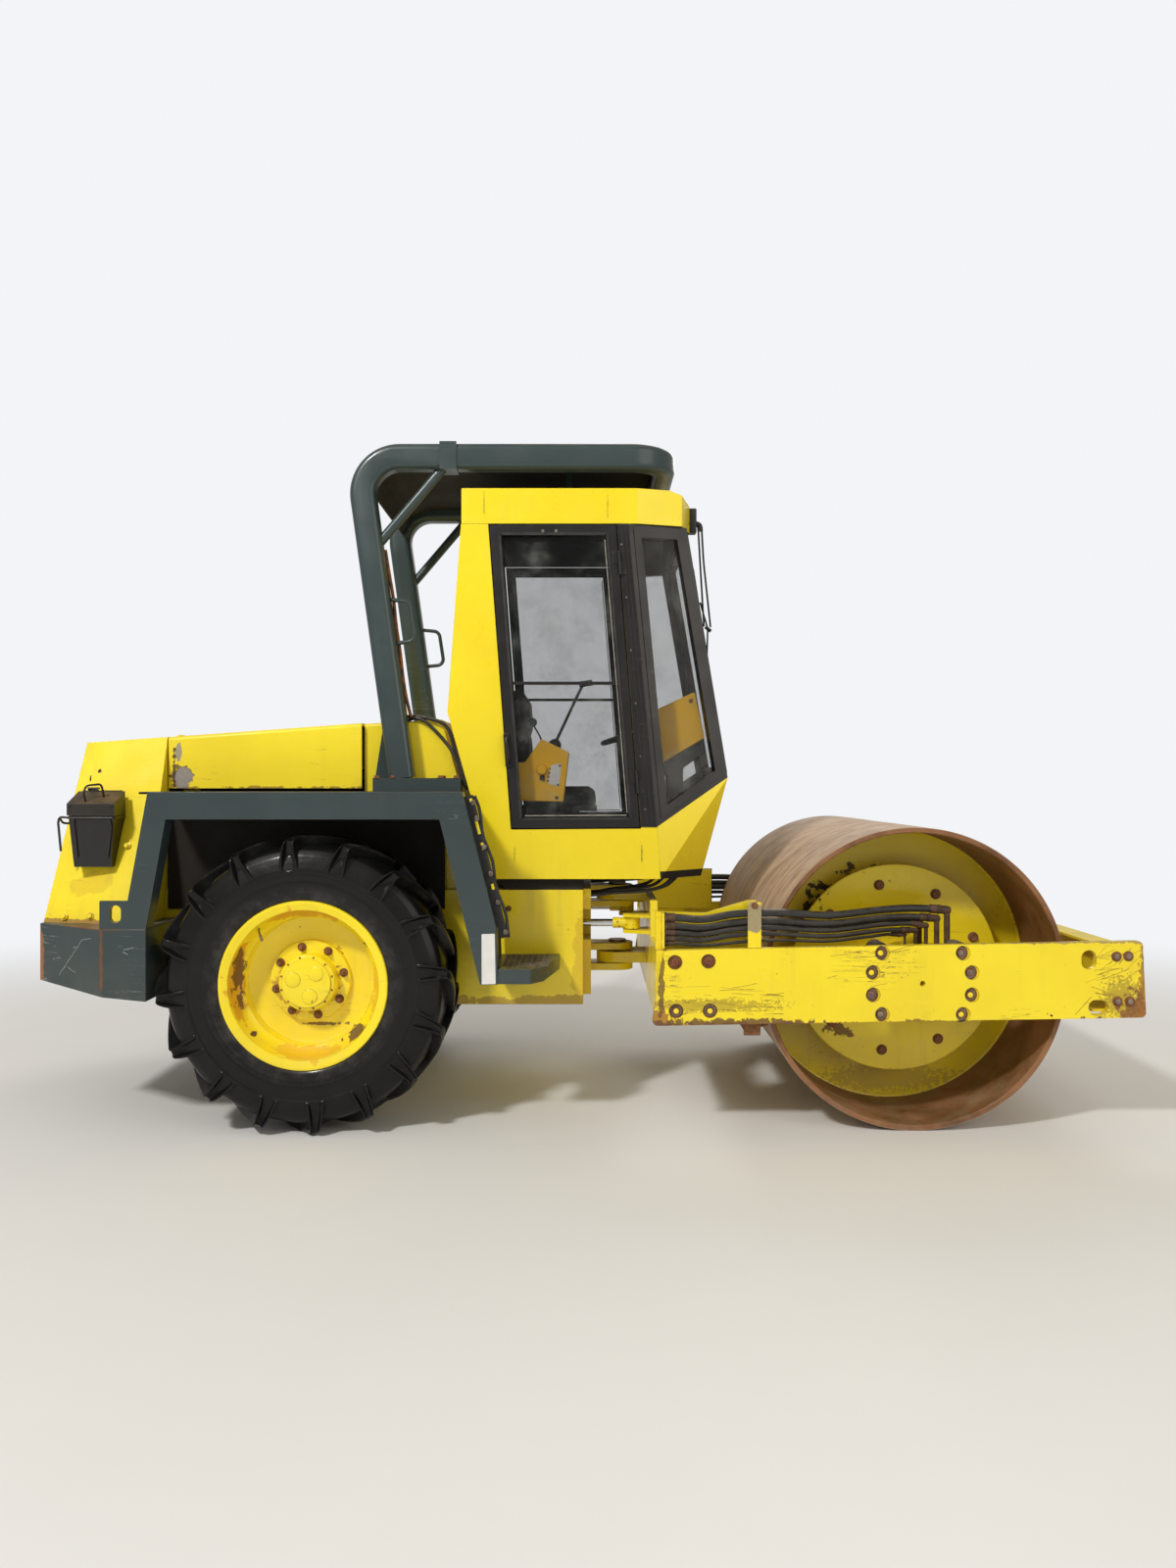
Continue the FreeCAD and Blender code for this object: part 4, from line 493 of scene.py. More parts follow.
@dataclass
class Effects:
    """Groups that the finishes share."""

    chips: bpy.types.NodeTree = None
    streaks: bpy.types.NodeTree = None
    edges: bpy.types.NodeTree = None
    dust: bpy.types.NodeTree = None
    patch: bpy.types.NodeTree = None
    scratches: bpy.types.NodeTree = None

    def build(self) -> None:
        """Makes every group once."""
        self.chips = self.make_chips()
        self.streaks = self.make_streaks()
        self.edges = self.make_edges()
        self.dust = self.make_dust()
        self.patch = self.make_patch()
        self.scratches = self.make_scratches()

    def make_chips(self) -> bpy.types.NodeTree:
        """Mask of small chips: noise over a threshold, gathered by a wider noise."""
        tree, web, given, out = new_group("Chips", {"Scale": 60.0, "Amount": 0.3}, {"Mask": "Float"})
        place = object_place(web)
        fine = web.noise(place, given["Scale"], 5, 0.65)
        wide = web.noise(place, web.maths("MULTIPLY", given["Scale"], 0.08), 3)
        both_noises = web.maths("ADD", fine, web.maths("MULTIPLY", web.maths("SUBTRACT", wide, 0.5), 0.55))
        limit = web.maths("SUBTRACT", 0.86, web.maths("MULTIPLY", given["Amount"], 0.25))
        mask = web.add("MapRange", both_noises, limit, web.maths("ADD", limit, 0.03)).outputs[0]
        web.feed(out["Mask"], mask)
        return tree

    def make_streaks(self) -> bpy.types.NodeTree:
        """Mask of dirt that runs down: noise stretched along z, times a wide noise."""
        tree, web, given, out = new_group("Runs", {"Scale": 14.0, "Amount": 0.5}, {"Mask": "Float"})
        place = object_place(web)
        stretched = web.add("Mapping", place, (0, 0, 0), (0, 0, 0), (1, 1, 0.06)).outputs[0]
        fine = web.ramp(web.noise(stretched, given["Scale"], 4, 0.6), 0.5, 0.78)
        wide = web.ramp(web.noise(place, 1.7, 3), 0.42, 0.66)
        web.feed(out["Mask"], web.maths("MULTIPLY", web.maths("MULTIPLY", fine, wide), given["Amount"]))
        return tree

    def make_edges(self) -> bpy.types.NodeTree:
        """Mask of worn edges: how far the rounded normal leaves the true one, broken up by noise."""
        tree, web, given, out = new_group("Edge wear", {"Width": 0.006, "Amount": 0.6},
                                          {"Mask": "Float"})
        place = object_place(web)
        broad = web.add("Bevel", given["Width"], samples=4).outputs[0]
        true = web.add("NewGeometry").outputs["Normal"]
        same = web.add("VectorMath", broad, true, operation="DOT_PRODUCT").outputs["Value"]
        bend = web.ramp(same, 0.995, 0.85)
        rough = web.ramp(web.noise(place, 38, 5, 0.7), 0.62, 0.50)
        gate = web.ramp(web.noise(place, 4, 3), 0.38, 0.62)
        worn = web.maths("MULTIPLY", web.maths("MULTIPLY", bend, rough), gate)
        web.feed(out["Mask"], web.maths("MULTIPLY", worn, given["Amount"]))
        return tree

    def make_dust(self) -> bpy.types.NodeTree:
        """Mask of dust: on faces that look up and near the ground, times noise."""
        tree, web, given, out = new_group("Dust", {"Top": 0.4, "Low": 0.5, "Height": 0.9}, {"Mask": "Float"})
        place = object_place(web)
        up = web.add("SeparateXYZ", web.add("NewGeometry").outputs["Normal"]).outputs[2]
        top = web.maths("MULTIPLY", web.ramp(up, 0.35, 0.95), given["Top"])
        height = web.add("SeparateXYZ", place).outputs[2]
        low = web.add("MapRange", height, given["Height"], 0.1, 0.0, 1.0).outputs[0]
        low = web.maths("MULTIPLY", low, given["Low"])
        grain = web.ramp(web.noise(place, 7, 6, 0.62), 0.36, 0.66)
        web.feed(out["Mask"], web.maths("MINIMUM", web.maths("MULTIPLY", web.maths("ADD", top, low), grain), 1.0))
        return tree

    def make_patch(self) -> bpy.types.NodeTree:
        """Mask of one patch: distance from its centre in units of its size, with a ragged border."""
        tree, web, given, out = new_group("Patch", {"Centre": (0.0, 0.0, 0.0), "Size": (1.0, 1.0, 1.0),
                                                    "Ragged": 0.3, "Scale": 25.0}, {"Mask": "Float"})
        place = object_place(web)
        offset = web.add("VectorMath", place, given["Centre"], operation="SUBTRACT").outputs[0]
        scaled = web.add("VectorMath", offset, given["Size"], operation="DIVIDE").outputs[0]
        far = web.add("VectorMath", scaled, operation="LENGTH").outputs["Value"]
        wobble = web.maths("SUBTRACT", web.noise(place, given["Scale"], 5, 0.65), 0.5)
        far = web.maths("ADD", far, web.maths("MULTIPLY", wobble, web.maths("MULTIPLY", given["Ragged"], 4)))
        web.feed(out["Mask"], web.ramp(far, 1.05, 0.92))
        return tree

    def make_scratches(self) -> bpy.types.NodeTree:
        """Mask of thin scratches: the narrow middle band of a stretched, bent noise, broken by wide noise."""
        tree, web, given, out = new_group("Scratches", {"Turn": (0.0, 0.4, 0.0), "Scale": 3.0, "Amount": 0.5},
                                          {"Mask": "Float"})
        place = object_place(web)
        turned = web.add("Mapping", place, (0, 0, 0), given["Turn"], (0.35, 1, 9)).outputs[0]
        value = web.noise(turned, given["Scale"], 2, 0.4)
        off = web.maths("ABSOLUTE", web.maths("SUBTRACT", value, 0.5))
        line = web.ramp(off, 0.006, 0.002)
        wide = web.ramp(web.noise(place, 2.3, 3), 0.5, 0.62)
        fine = web.ramp(web.noise(place, 60, 3), 0.4, 0.5)
        mask = web.maths("MULTIPLY", web.maths("MULTIPLY", line, wide), fine)
        web.feed(out["Mask"], web.maths("MULTIPLY", mask, given["Amount"]))
        return tree


EFFECTS = Effects()


@dataclass(frozen=True)
class Patch:
    """One worn place on a painted piece; a few patches are painted shade instead."""

    centre: tuple
    size: tuple
    colour: tuple
    ragged: float = 0.25
    scale: float = 25.0
    strength: float = 1.0


@dataclass(frozen=True)
class Paint:
    """Painted metal with its wear, and patches that can be painted shade."""

    name: str
    colour: tuple
    rough: float = 0.32
    coat: float = 0.25
    chips: float = 0.25
    chip_colour: tuple = (0.10, 0.045, 0.02)
    runs: float = 0.35
    edge: float = 0.6
    edge_colour: tuple = (0.16, 0.07, 0.03)
    top: float = 0.25
    low: float = 0.3
    dust_colour: tuple = (0.36, 0.29, 0.20)
    scratch: float = 0.3
    scratch_colour: tuple = (0.10, 0.07, 0.05)
    scratch_turns: tuple = ((0.0, 0.5, 0.3),)
    scratch_scale: float = 3.0
    patches: tuple = ()

    def make(self) -> bpy.types.Material:
        """Builds the material."""
        material, web, shader = blank(self.name)
        place = object_place(web)
        tone = web.noise(place, 1.3, 4)
        colour = web.mix(web.ramp(tone, 0.3, 0.75), shade(self.colour, 0.90), shade(self.colour, 1.05))
        run = web.use(EFFECTS.streaks, Scale=14.0, Amount=self.runs).outputs[0]
        colour = web.mix(run, colour, tint(self.colour, (0.20, 0.12, 0.06), 0.65))
        for turn in self.scratch_turns:
            scratch = web.use(EFFECTS.scratches, Turn=turn, Scale=self.scratch_scale, Amount=self.scratch).outputs[0]
            colour = web.mix(scratch, colour, solid(self.scratch_colour))
        edge = web.use(EFFECTS.edges, Width=0.006, Amount=self.edge).outputs[0]
        colour = web.mix(edge, colour, solid(self.edge_colour))
        chip = web.use(EFFECTS.chips, Scale=55.0, Amount=self.chips).outputs[0]
        colour = web.mix(chip, colour, solid(self.chip_colour))
        worn = web.maths("MAXIMUM", chip, edge)
        # Besides rust, bare metal and stains, a few patches are painted shade.
        for patch in self.patches:
            mask = web.use(EFFECTS.patch, Centre=patch.centre, Size=patch.size, Ragged=patch.ragged,
                           Scale=patch.scale).outputs[0]
            mask = web.maths("MULTIPLY", mask, patch.strength)
            grain = web.noise(place, 90, 5, 0.7)
            patch_tone = web.mix(grain, shade(patch.colour, 0.6), shade(patch.colour, 1.35))
            colour = web.mix(mask, colour, patch_tone)
            worn = web.maths("MAXIMUM", worn, mask)
        dust = web.use(EFFECTS.dust, Top=self.top, Low=self.low, Height=0.9).outputs[0]
        colour = web.mix(dust, colour, solid(self.dust_colour))
        matt = web.maths("MAXIMUM", web.maths("MULTIPLY", worn, 0.8), dust)
        smear = web.maths("MULTIPLY", web.ramp(web.noise(place, 5, 5, 0.6), 0.35, 0.7), 0.14)
        rough = web.add("MapRange", matt, 0.0, 1.0, web.maths("ADD", smear, self.rough - 0.05), 0.8).outputs[0]
        web.feed(shader.inputs["Base Color"], colour)
        web.feed(shader.inputs["Roughness"], rough)
        web.feed(shader.inputs["Coat Weight"], web.add("MapRange", matt, 0.0, 0.5, self.coat, 0.0).outputs[0])
        shader.inputs["Coat Roughness"].default_value = 0.12
        peel = web.noise(place, 140, 2, 0.5)
        wave = web.noise(place, 3.2, 2, 0.5)
        height = web.maths("ADD", web.maths("MULTIPLY", peel, 0.03), web.maths("MULTIPLY", wave, 0.7))
        height = web.maths("SUBTRACT", height, web.maths("MULTIPLY", worn, 0.12))
        bump = web.add("Bump", 0.35, 0.006, None, height)
        web.feed(shader.inputs["Normal"], bump.outputs[0])
        return material


def blank(name: str) -> tuple[bpy.types.Material, Web, bpy.types.Node]:
    """A new material, its web and its main shader."""
    material = bpy.data.materials.new(name)
    material.use_nodes = True
    return material, Web(material.node_tree), material.node_tree.nodes["Principled BSDF"]


def solid(colour: tuple) -> tuple:
    """Colour with its alpha."""
    return (*colour[:3], 1.0)


def shade(colour: tuple, factor: float) -> tuple:
    """Colour made darker or lighter."""
    return (*(min(1.0, part * factor) for part in colour[:3]), 1.0)


def tint(colour: tuple, other: tuple, share: float) -> tuple:
    """Colour moved towards another."""
    return (*(one * (1 - share) + two * share for one, two in zip(colour, other)), 1.0)


@dataclass(frozen=True)
class Rough:
    """A plain or rusty material with two tones of noise."""

    name: str
    dark: tuple
    light: tuple
    scale: float = 8.0
    detail: float = 6.0
    rough: tuple = (0.5, 0.8)
    metallic: float = 0.0
    bump: float = 0.3
    bump_scale: float = 60.0
    depth: float = 0.004
    dust: float = 0.0
    dust_colour: tuple = (0.36, 0.29, 0.20)
    height: float = 0.9
    stretch: tuple = (1.0, 1.0, 1.0)

    def make(self) -> bpy.types.Material:
        """Builds the material."""
        material, web, shader = blank(self.name)
        place = object_place(web)
        streaked = web.add("VectorMath", place, self.stretch, operation="MULTIPLY").outputs[0]
        wide = web.ramp(web.noise(streaked, self.scale, self.detail, 0.62), 0.32, 0.68)
        fine = web.noise(streaked, self.scale * 9, 4, 0.6)
        both_noises = web.maths("ADD", web.maths("MULTIPLY", wide, 0.7), web.maths("MULTIPLY", fine, 0.3))
        colour = web.mix(both_noises, solid(self.dark), solid(self.light))
        rough = web.add("MapRange", both_noises, 0.0, 1.0, self.rough[0], self.rough[1]).outputs[0]
        if self.dust:
            dust = web.use(EFFECTS.dust, Top=self.dust, Low=self.dust, Height=self.height).outputs[0]
            colour = web.mix(dust, colour, solid(self.dust_colour))
            rough = web.maths("MAXIMUM", rough, web.maths("MULTIPLY", dust, 0.9))
        web.feed(shader.inputs["Base Color"], colour)
        web.feed(shader.inputs["Roughness"], rough)
        shader.inputs["Metallic"].default_value = self.metallic
        grain = web.noise(place, self.bump_scale, 5, 0.65)
        bump = web.add("Bump", self.bump, self.depth, None, grain)
        web.feed(shader.inputs["Normal"], bump.outputs[0])
        return material


@dataclass(frozen=True)
class Window:
    """Dark-tinted pane with a thin film of dust."""

    name: str = "pane"
    colour: tuple = (0.010, 0.013, 0.014)
    dust: tuple = (0.22, 0.23, 0.22)
    tint: float = 0.20
    film: float = 0.12

    def make(self) -> bpy.types.Material:
        """Builds the material: the pane's tint is its alpha, and noise adds dust to it."""
        material, web, shader = blank(self.name)
        place = object_place(web)
        film = web.ramp(web.noise(place, 4.5, 7, 0.68), 0.42, 0.78)
        web.feed(shader.inputs["Base Color"], web.mix(film, solid(self.colour), solid(self.dust)))
        alpha = web.add("MapRange", film, 0.0, 1.0, self.tint, self.tint + self.film).outputs[0]
        web.feed(shader.inputs["Alpha"], alpha)
        shader.inputs["Roughness"].default_value = 0.03
        shader.inputs["Specular IOR Level"].default_value = 0.5
        return material


YELLOW_TONE = (0.98, 0.765, 0.010)
GREY_TONE = (0.030, 0.050, 0.054)
RUST = (0.16, 0.065, 0.025)
RUST_LIGHT = (0.30, 0.13, 0.05)


class Palette:
    """Finishes of the roller, made once each."""

    def __init__(self) -> None:
        """Builds the shared effects and the finishes that more than one piece wears."""
        EFFECTS.build()
        self.yellow = self.painted("yellow")
        self.grey = Paint("grey", GREY_TONE, 0.36, 0.2, chips=0.22, chip_colour=(0.16, 0.10, 0.06), runs=0.15,
                          edge=0.5, edge_colour=(0.20, 0.14, 0.10), top=0.2, scratch=0.4,
                          scratch_colour=(0.30, 0.31, 0.30)).make()
        self.black = Paint("black", (0.0055, 0.0055, 0.0065), 0.36, 0.12, chips=0.12, runs=0.1, edge=0.35,
                           edge_colour=(0.10, 0.09, 0.08), top=0.3, scratch=0.25,
                           scratch_colour=(0.12, 0.12, 0.11)).make()
        self.console = Paint("console", (1.0, 0.56, 0.015), 0.45, 0.1, chips=0.2, edge=0.3, low=0.0, top=0.2).make()
        self.pane = Window().make()
        self.tyre = self.rubber()
        self.drum = Rough("rolled_steel", (0.17, 0.105, 0.065), (0.60, 0.42, 0.28), 5.0, 8.0, (0.5, 0.85),
                          0.10, 0.5, 26.0, 0.004, 0.45, (0.60, 0.45, 0.33), 3.0, (0.5, 6.0, 0.5)).make()
        self.inner = Rough("rusty_inside", (0.11, 0.045, 0.018), (0.36, 0.17, 0.075), 4.0, 8.0, (0.35, 0.8),
                           0.25, 0.4, 34.0, 0.003, 0.2).make()
        self.steel = Rough("worn_steel", (0.12, 0.09, 0.07), (0.36, 0.31, 0.27), 14.0, rough=(0.3, 0.6),
                           metallic=0.8, dust=0.3).make()
        self.rusty = Rough("rusty_bolts", (0.10, 0.040, 0.015), (0.34, 0.15, 0.06), 30.0, rough=(0.6, 0.9),
                           metallic=0.2, bump_scale=220.0, depth=0.001).make()
        self.zinc = Rough("zinc", (0.32, 0.31, 0.27), (0.58, 0.56, 0.50), 30.0, rough=(0.3, 0.5),
                          metallic=0.9, depth=0.0005).make()
        self.iron = Rough("grimy_iron", (0.012, 0.011, 0.010), (0.05, 0.045, 0.04), 9.0, rough=(0.5, 0.85),
                          dust=0.4).make()
        self.buffer = Rough("rubber_block", (0.010, 0.010, 0.010), (0.028, 0.026, 0.024), 20.0,
                            rough=(0.5, 0.8), dust=0.5).make()
        self.hose = Rough("hose_rubber", (0.010, 0.010, 0.011), (0.035, 0.033, 0.030), 26.0,
                          rough=(0.32, 0.55), bump_scale=260.0, depth=0.0006, dust=0.35).make()
        self.plastic = Rough("dull_plastic", (0.012, 0.012, 0.013), (0.028, 0.028, 0.028), 18.0,
                             rough=(0.38, 0.55), bump_scale=420.0, depth=0.0003, dust=0.2).make()
        self.fabric = self.cloth()
        self.chrome = Rough("chrome_rod", (0.62, 0.62, 0.64), (0.82, 0.82, 0.83), 6.0, rough=(0.06, 0.16),
                            metallic=1.0, bump=0.02, depth=0.0003).make()
        self.worn_yellow = Paint("worn_yellow", YELLOW_TONE, 0.45, 0.1, chips=0.9, edge=1.0, top=0.0,
                                 low=0.2).make()
        self.red_rust = Rough("red_rust", (0.09, 0.018, 0.010), (0.26, 0.060, 0.028), 40.0, rough=(0.6, 0.9),
                              bump_scale=240.0, depth=0.001).make()
        self.strap = Paint("strap_paint", YELLOW_TONE, 0.45, 0.1, chips=0.8, edge=1.2, low=0.2, patches=(
            Patch((0.849, -1.15, 1.07), (0.06, 0.05, 0.075), (0.30, 0.25, 0.18), 0.35, 30.0, 0.9),
            Patch((0.849, 1.15, 1.07), (0.06, 0.05, 0.075), (0.30, 0.25, 0.18), 0.35, 30.0, 0.9))).make()
        self.grey_rops = Paint("rops_paint", (0.031, 0.054, 0.057), 0.34, 0.25, chips=0.15,
                               chip_colour=(0.16, 0.10, 0.06), runs=0.12, edge=0.0, top=0.25, low=0.0,
                               scratch=0.35, scratch_colour=(0.22, 0.25, 0.25)).make()
        self.lid = Paint("lid_paint", (0.016, 0.013, 0.010), 0.42, 0.15, chips=0.5, chip_colour=(0.10, 0.05, 0.025),
                         edge=0.9, edge_colour=(0.16, 0.10, 0.05), top=1.0, low=0.0, dust_colour=(0.13, 0.08, 0.04),
                         scratch=0.5, scratch_colour=(0.20, 0.16, 0.10)).make()
        # Near-black for the wheel arches, the roof's underside and the cab floor: painted shade, with some grime.
        self.shade_and_grime = Rough("arch_shade_and_grime", (0.004, 0.0035, 0.003), (0.018, 0.013, 0.009), 5.0, rough=(0.7, 0.95),
                           dust=0.12).make()
        self.lining = Rough("cab_lining", (0.012, 0.012, 0.013), (0.024, 0.024, 0.025), 12.0, rough=(0.6, 0.8),
                            bump_scale=300.0, depth=0.0005).make()
        self.taped = Rough("taped_line", (0.02, 0.018, 0.016), (0.50, 0.17, 0.03), 26.0, 3.0, (0.4, 0.8),
                           bump_scale=90.0, depth=0.003).make()
        self.blank_white = Rough("bare_label_plate", (0.70, 0.70, 0.68), (0.82, 0.82, 0.80), 9.0,
                                 rough=(0.35, 0.55), depth=0.0003, dust=0.2).make()
        self.elbow = Rough("grimy_elbow", (0.014, 0.010, 0.008), (0.15, 0.075, 0.04), 22.0, rough=(0.5, 0.85),
                           metallic=0.1, bump_scale=160.0, depth=0.002).make()
        self.stroke = Rough("brown_scratch", (0.07, 0.035, 0.015), (0.42, 0.25, 0.05), 70.0, rough=(0.6, 0.8),
                            depth=0.0003).make()
        self.chalk = Rough("chalky_scratch", (0.15, 0.16, 0.15), (0.50, 0.51, 0.48), 60.0, rough=(0.6, 0.8),
                           depth=0.0003).make()
        self.lamp = Rough("lamp_lens", (0.35, 0.012, 0.008), (0.48, 0.02, 0.01), 12.0, rough=(0.12, 0.2),
                          depth=0.0004).make()
        self.amber = Rough("amber_lens", (0.62, 0.20, 0.01), (0.75, 0.28, 0.015), 12.0, rough=(0.12, 0.2),
                           depth=0.0004).make()
        self.by_slot = {Slot.YELLOW: self.yellow, Slot.GREY: self.grey, Slot.BLACK: self.black,
                        Slot.CONSOLE: self.console, Slot.GLASS: self.pane, Slot.TYRE: self.tyre,
                        Slot.DRUM: self.drum, Slot.STEEL: self.steel, Slot.IRON: self.iron,
                        Slot.BUFFER: self.buffer, Slot.SEAT: self.fabric, Slot.PLASTIC: self.plastic,
                        Slot.CHROME: self.chrome, Slot.HOSE: self.hose, Slot.PLATED: self.zinc}

    def painted(self, name: str, patches: tuple = (), **changes) -> bpy.types.Material:
        """Yellow paint with its own worn places, a few of them painted shade."""
        return Paint(name, YELLOW_TONE, patches=patches, **changes).make()

    def rubber(self) -> bpy.types.Material:
        """Glossy black tyre with dust between its bars."""
        material, web, shader = blank("tyre_black")
        place = object_place(web)
        tone = web.noise(place, 6, 5, 0.6)
        colour = web.mix(tone, (0.0022, 0.0022, 0.0026, 1), (0.0075, 0.0075, 0.008, 1))
        split = web.add("SeparateXYZ", place).outputs
        across = web.maths("ADD", split["X"], 1.349)
        up = web.maths("SUBTRACT", split["Z"], 0.73)
        away = web.maths("SQRT", web.maths("ADD", web.maths("MULTIPLY", across, across), web.maths("MULTIPLY", up, up)))
        tread = web.add("MapRange", away, 0.716, 0.728, 0.0, 0.40).outputs[0]
        bead = web.add("MapRange", away, 0.500, 0.425, 0.0, 0.40).outputs[0]
        ragged = web.ramp(web.noise(place, 13, 6, 0.7), 0.38, 0.72, 0.15, 1.0)
        dust = web.maths("MULTIPLY", web.maths("MAXIMUM", web.maths("MAXIMUM", tread, bead), 0.02), ragged)
        colour = web.mix(dust, colour, (0.12, 0.112, 0.10, 1))
        web.feed(shader.inputs["Base Color"], colour)
        web.feed(shader.inputs["Roughness"], web.add("MapRange", tone, 0.25, 0.75, 0.26, 0.46).outputs[0])
        shader.inputs["Specular IOR Level"].default_value = 0.16
        shader.inputs["Coat Weight"].default_value = 0.22
        shader.inputs["Coat Roughness"].default_value = 0.14
        height = web.maths("ADD", web.maths("MULTIPLY", web.noise(place, 120, 4, 0.6), 0.3), web.noise(place, 14, 3))
        web.feed(shader.inputs["Normal"], web.add("Bump", 0.3, 0.006, None, height).outputs[0])
        return material

    def cloth(self) -> bpy.types.Material:
        """Black woven seat cover: two crossed waves as weave."""
        material, web, shader = blank("seat_cloth")
        place = object_place(web)
        one = web.add("TexWave", place, 260.0, 0.4, bands_direction="Y").outputs["Fac"]
        two = web.add("TexWave", place, 260.0, 0.4, bands_direction="Z").outputs["Fac"]
        weave = web.maths("MULTIPLY", one, two)
        tone = web.noise(place, 9, 4)
        colour = web.mix(tone, (0.012, 0.012, 0.014, 1), (0.034, 0.033, 0.034, 1))
        colour = web.mix(web.maths("MULTIPLY", weave, 0.4), colour, (0.06, 0.06, 0.062, 1))
        web.feed(shader.inputs["Base Color"], colour)
        shader.inputs["Roughness"].default_value = 0.85
        shader.inputs["Sheen Weight"].default_value = 0.3
        web.feed(shader.inputs["Normal"], web.add("Bump", 0.3, 0.001, None, weave).outputs[0])
        return material


@dataclass
class Studio:
    """Floor, lamps, world and the camera."""

    eye: tuple = (0.04, -6.866, 1.713)
    lens: float = 27.05
    floor_half: float = 60.0

    def build(self) -> None:
        """Sets the whole studio."""
        self.camera()
        self.floor()
        self.world()
        self.lamps()
        bpy.context.scene.view_settings.view_transform = "Standard"

    def camera(self) -> None:
        """Level camera that looks along +Y from the photograph's place."""
        data = bpy.data.cameras.new("camera")
        data.lens = self.lens
        data.sensor_width = 36
        data.clip_end = 300
        camera = bpy.data.objects.new("camera", data)
        bpy.context.scene.collection.objects.link(camera)
        camera.location = self.eye
        camera.rotation_euler = (math.pi / 2, 0, 0)
        bpy.context.scene.camera = camera

    def floor(self) -> None:
        """Pale floor as one quad just under the tyres."""
        pile = Pile()
        reach = self.floor_half
        pile.grid(np.array([[[-reach, -reach, 0], [reach, -reach, 0]], [[-reach, reach, 0], [reach, reach, 0]]]))
        thing = pile.solid("floor", [self.pale("floor_paint", 0.78)])

    def pale(self, name: str, level: float) -> bpy.types.Material:
        """Plain pale matt finish."""
        material, web, shader = blank(name)
        place = object_place(web)
        tone = web.noise(place, 3.0, 5)
        colour = web.mix(tone, (level * 0.97, level * 0.97, level * 0.96, 1), (level, level, level * 0.99, 1))
        web.feed(shader.inputs["Base Color"], colour)
        shader.inputs["Roughness"].default_value = 0.7
        split = web.add("SeparateXYZ", place).outputs
        away = web.maths("SQRT", web.maths("ADD", web.maths("MULTIPLY", split["X"], split["X"]),
                                           web.maths("MULTIPLY", split["Y"], split["Y"])))
        far = web.add("MapRange", away, 3.6, 9.0, 0.0, 1.0, interpolation_type="SMOOTHSTEP").outputs[0]
        glow = web.add("Emission", (0.96, 0.975, 1.0, 1), 0.93)
        blend = web.add("MixShader", web.maths("MULTIPLY", far, web.add("LightPath").outputs["Is Camera Ray"]))
        web.feed(blend.inputs[1], shader.outputs[0])
        web.feed(blend.inputs[2], glow.outputs[0])
        web.feed(material.node_tree.nodes["Material Output"].inputs["Surface"], blend.outputs[0])
        return material

    def world(self) -> None:
        """White background for the camera, soft grey light for the object."""
        world = bpy.data.worlds.new("studio")
        bpy.context.scene.world = world
        world.use_nodes = True
        web = Web(world.node_tree)
        node = world.node_tree.nodes["Background"]
        path = web.add("LightPath")
        seen = web.maths("MAXIMUM", path.outputs["Is Camera Ray"], path.outputs["Is Transmission Ray"])
        strength = web.add("MapRange", seen, 0.0, 1.0, 0.42, 0.93).outputs[0]
        web.feed(node.inputs["Color"], web.mix(seen, (1.0, 0.95, 0.88, 1), (0.96, 0.975, 1.0, 1)))
        web.feed(node.inputs["Strength"], strength)

    def lamps(self) -> None:
        """Large key lamp from the upper left front, a wide fill and a lamp behind."""
        self.lamp("key", (-6.5, -10.0, 11.0), (0.2, 0, 0.8), 1.3, 1350, (1.0, 0.975, 0.93))
        self.lamp("fill", (8.0, -9.0, 5.0), (0.4, 0, 1.2), 7.0, 260, (1.0, 0.93, 0.82))
        self.lamp("back", (3.0, 10.0, 9.0), (0, 0, 1.2), 6.0, 420, (1.0, 0.97, 0.92))

    def lamp(self, name: str, place: tuple, aim: tuple, size: float, power: float, colour: tuple) -> None:
        """One square area lamp turned to its aim."""
        data = bpy.data.lights.new(name, "AREA")
        data.size = size
        data.energy = power
        data.color = colour
        lamp = bpy.data.objects.new(name, data)
        lamp.location = place
        lamp.rotation_euler = (Vector(aim) - Vector(place)).to_track_quat("-Z", "Y").to_euler()
        bpy.context.scene.collection.objects.link(lamp)


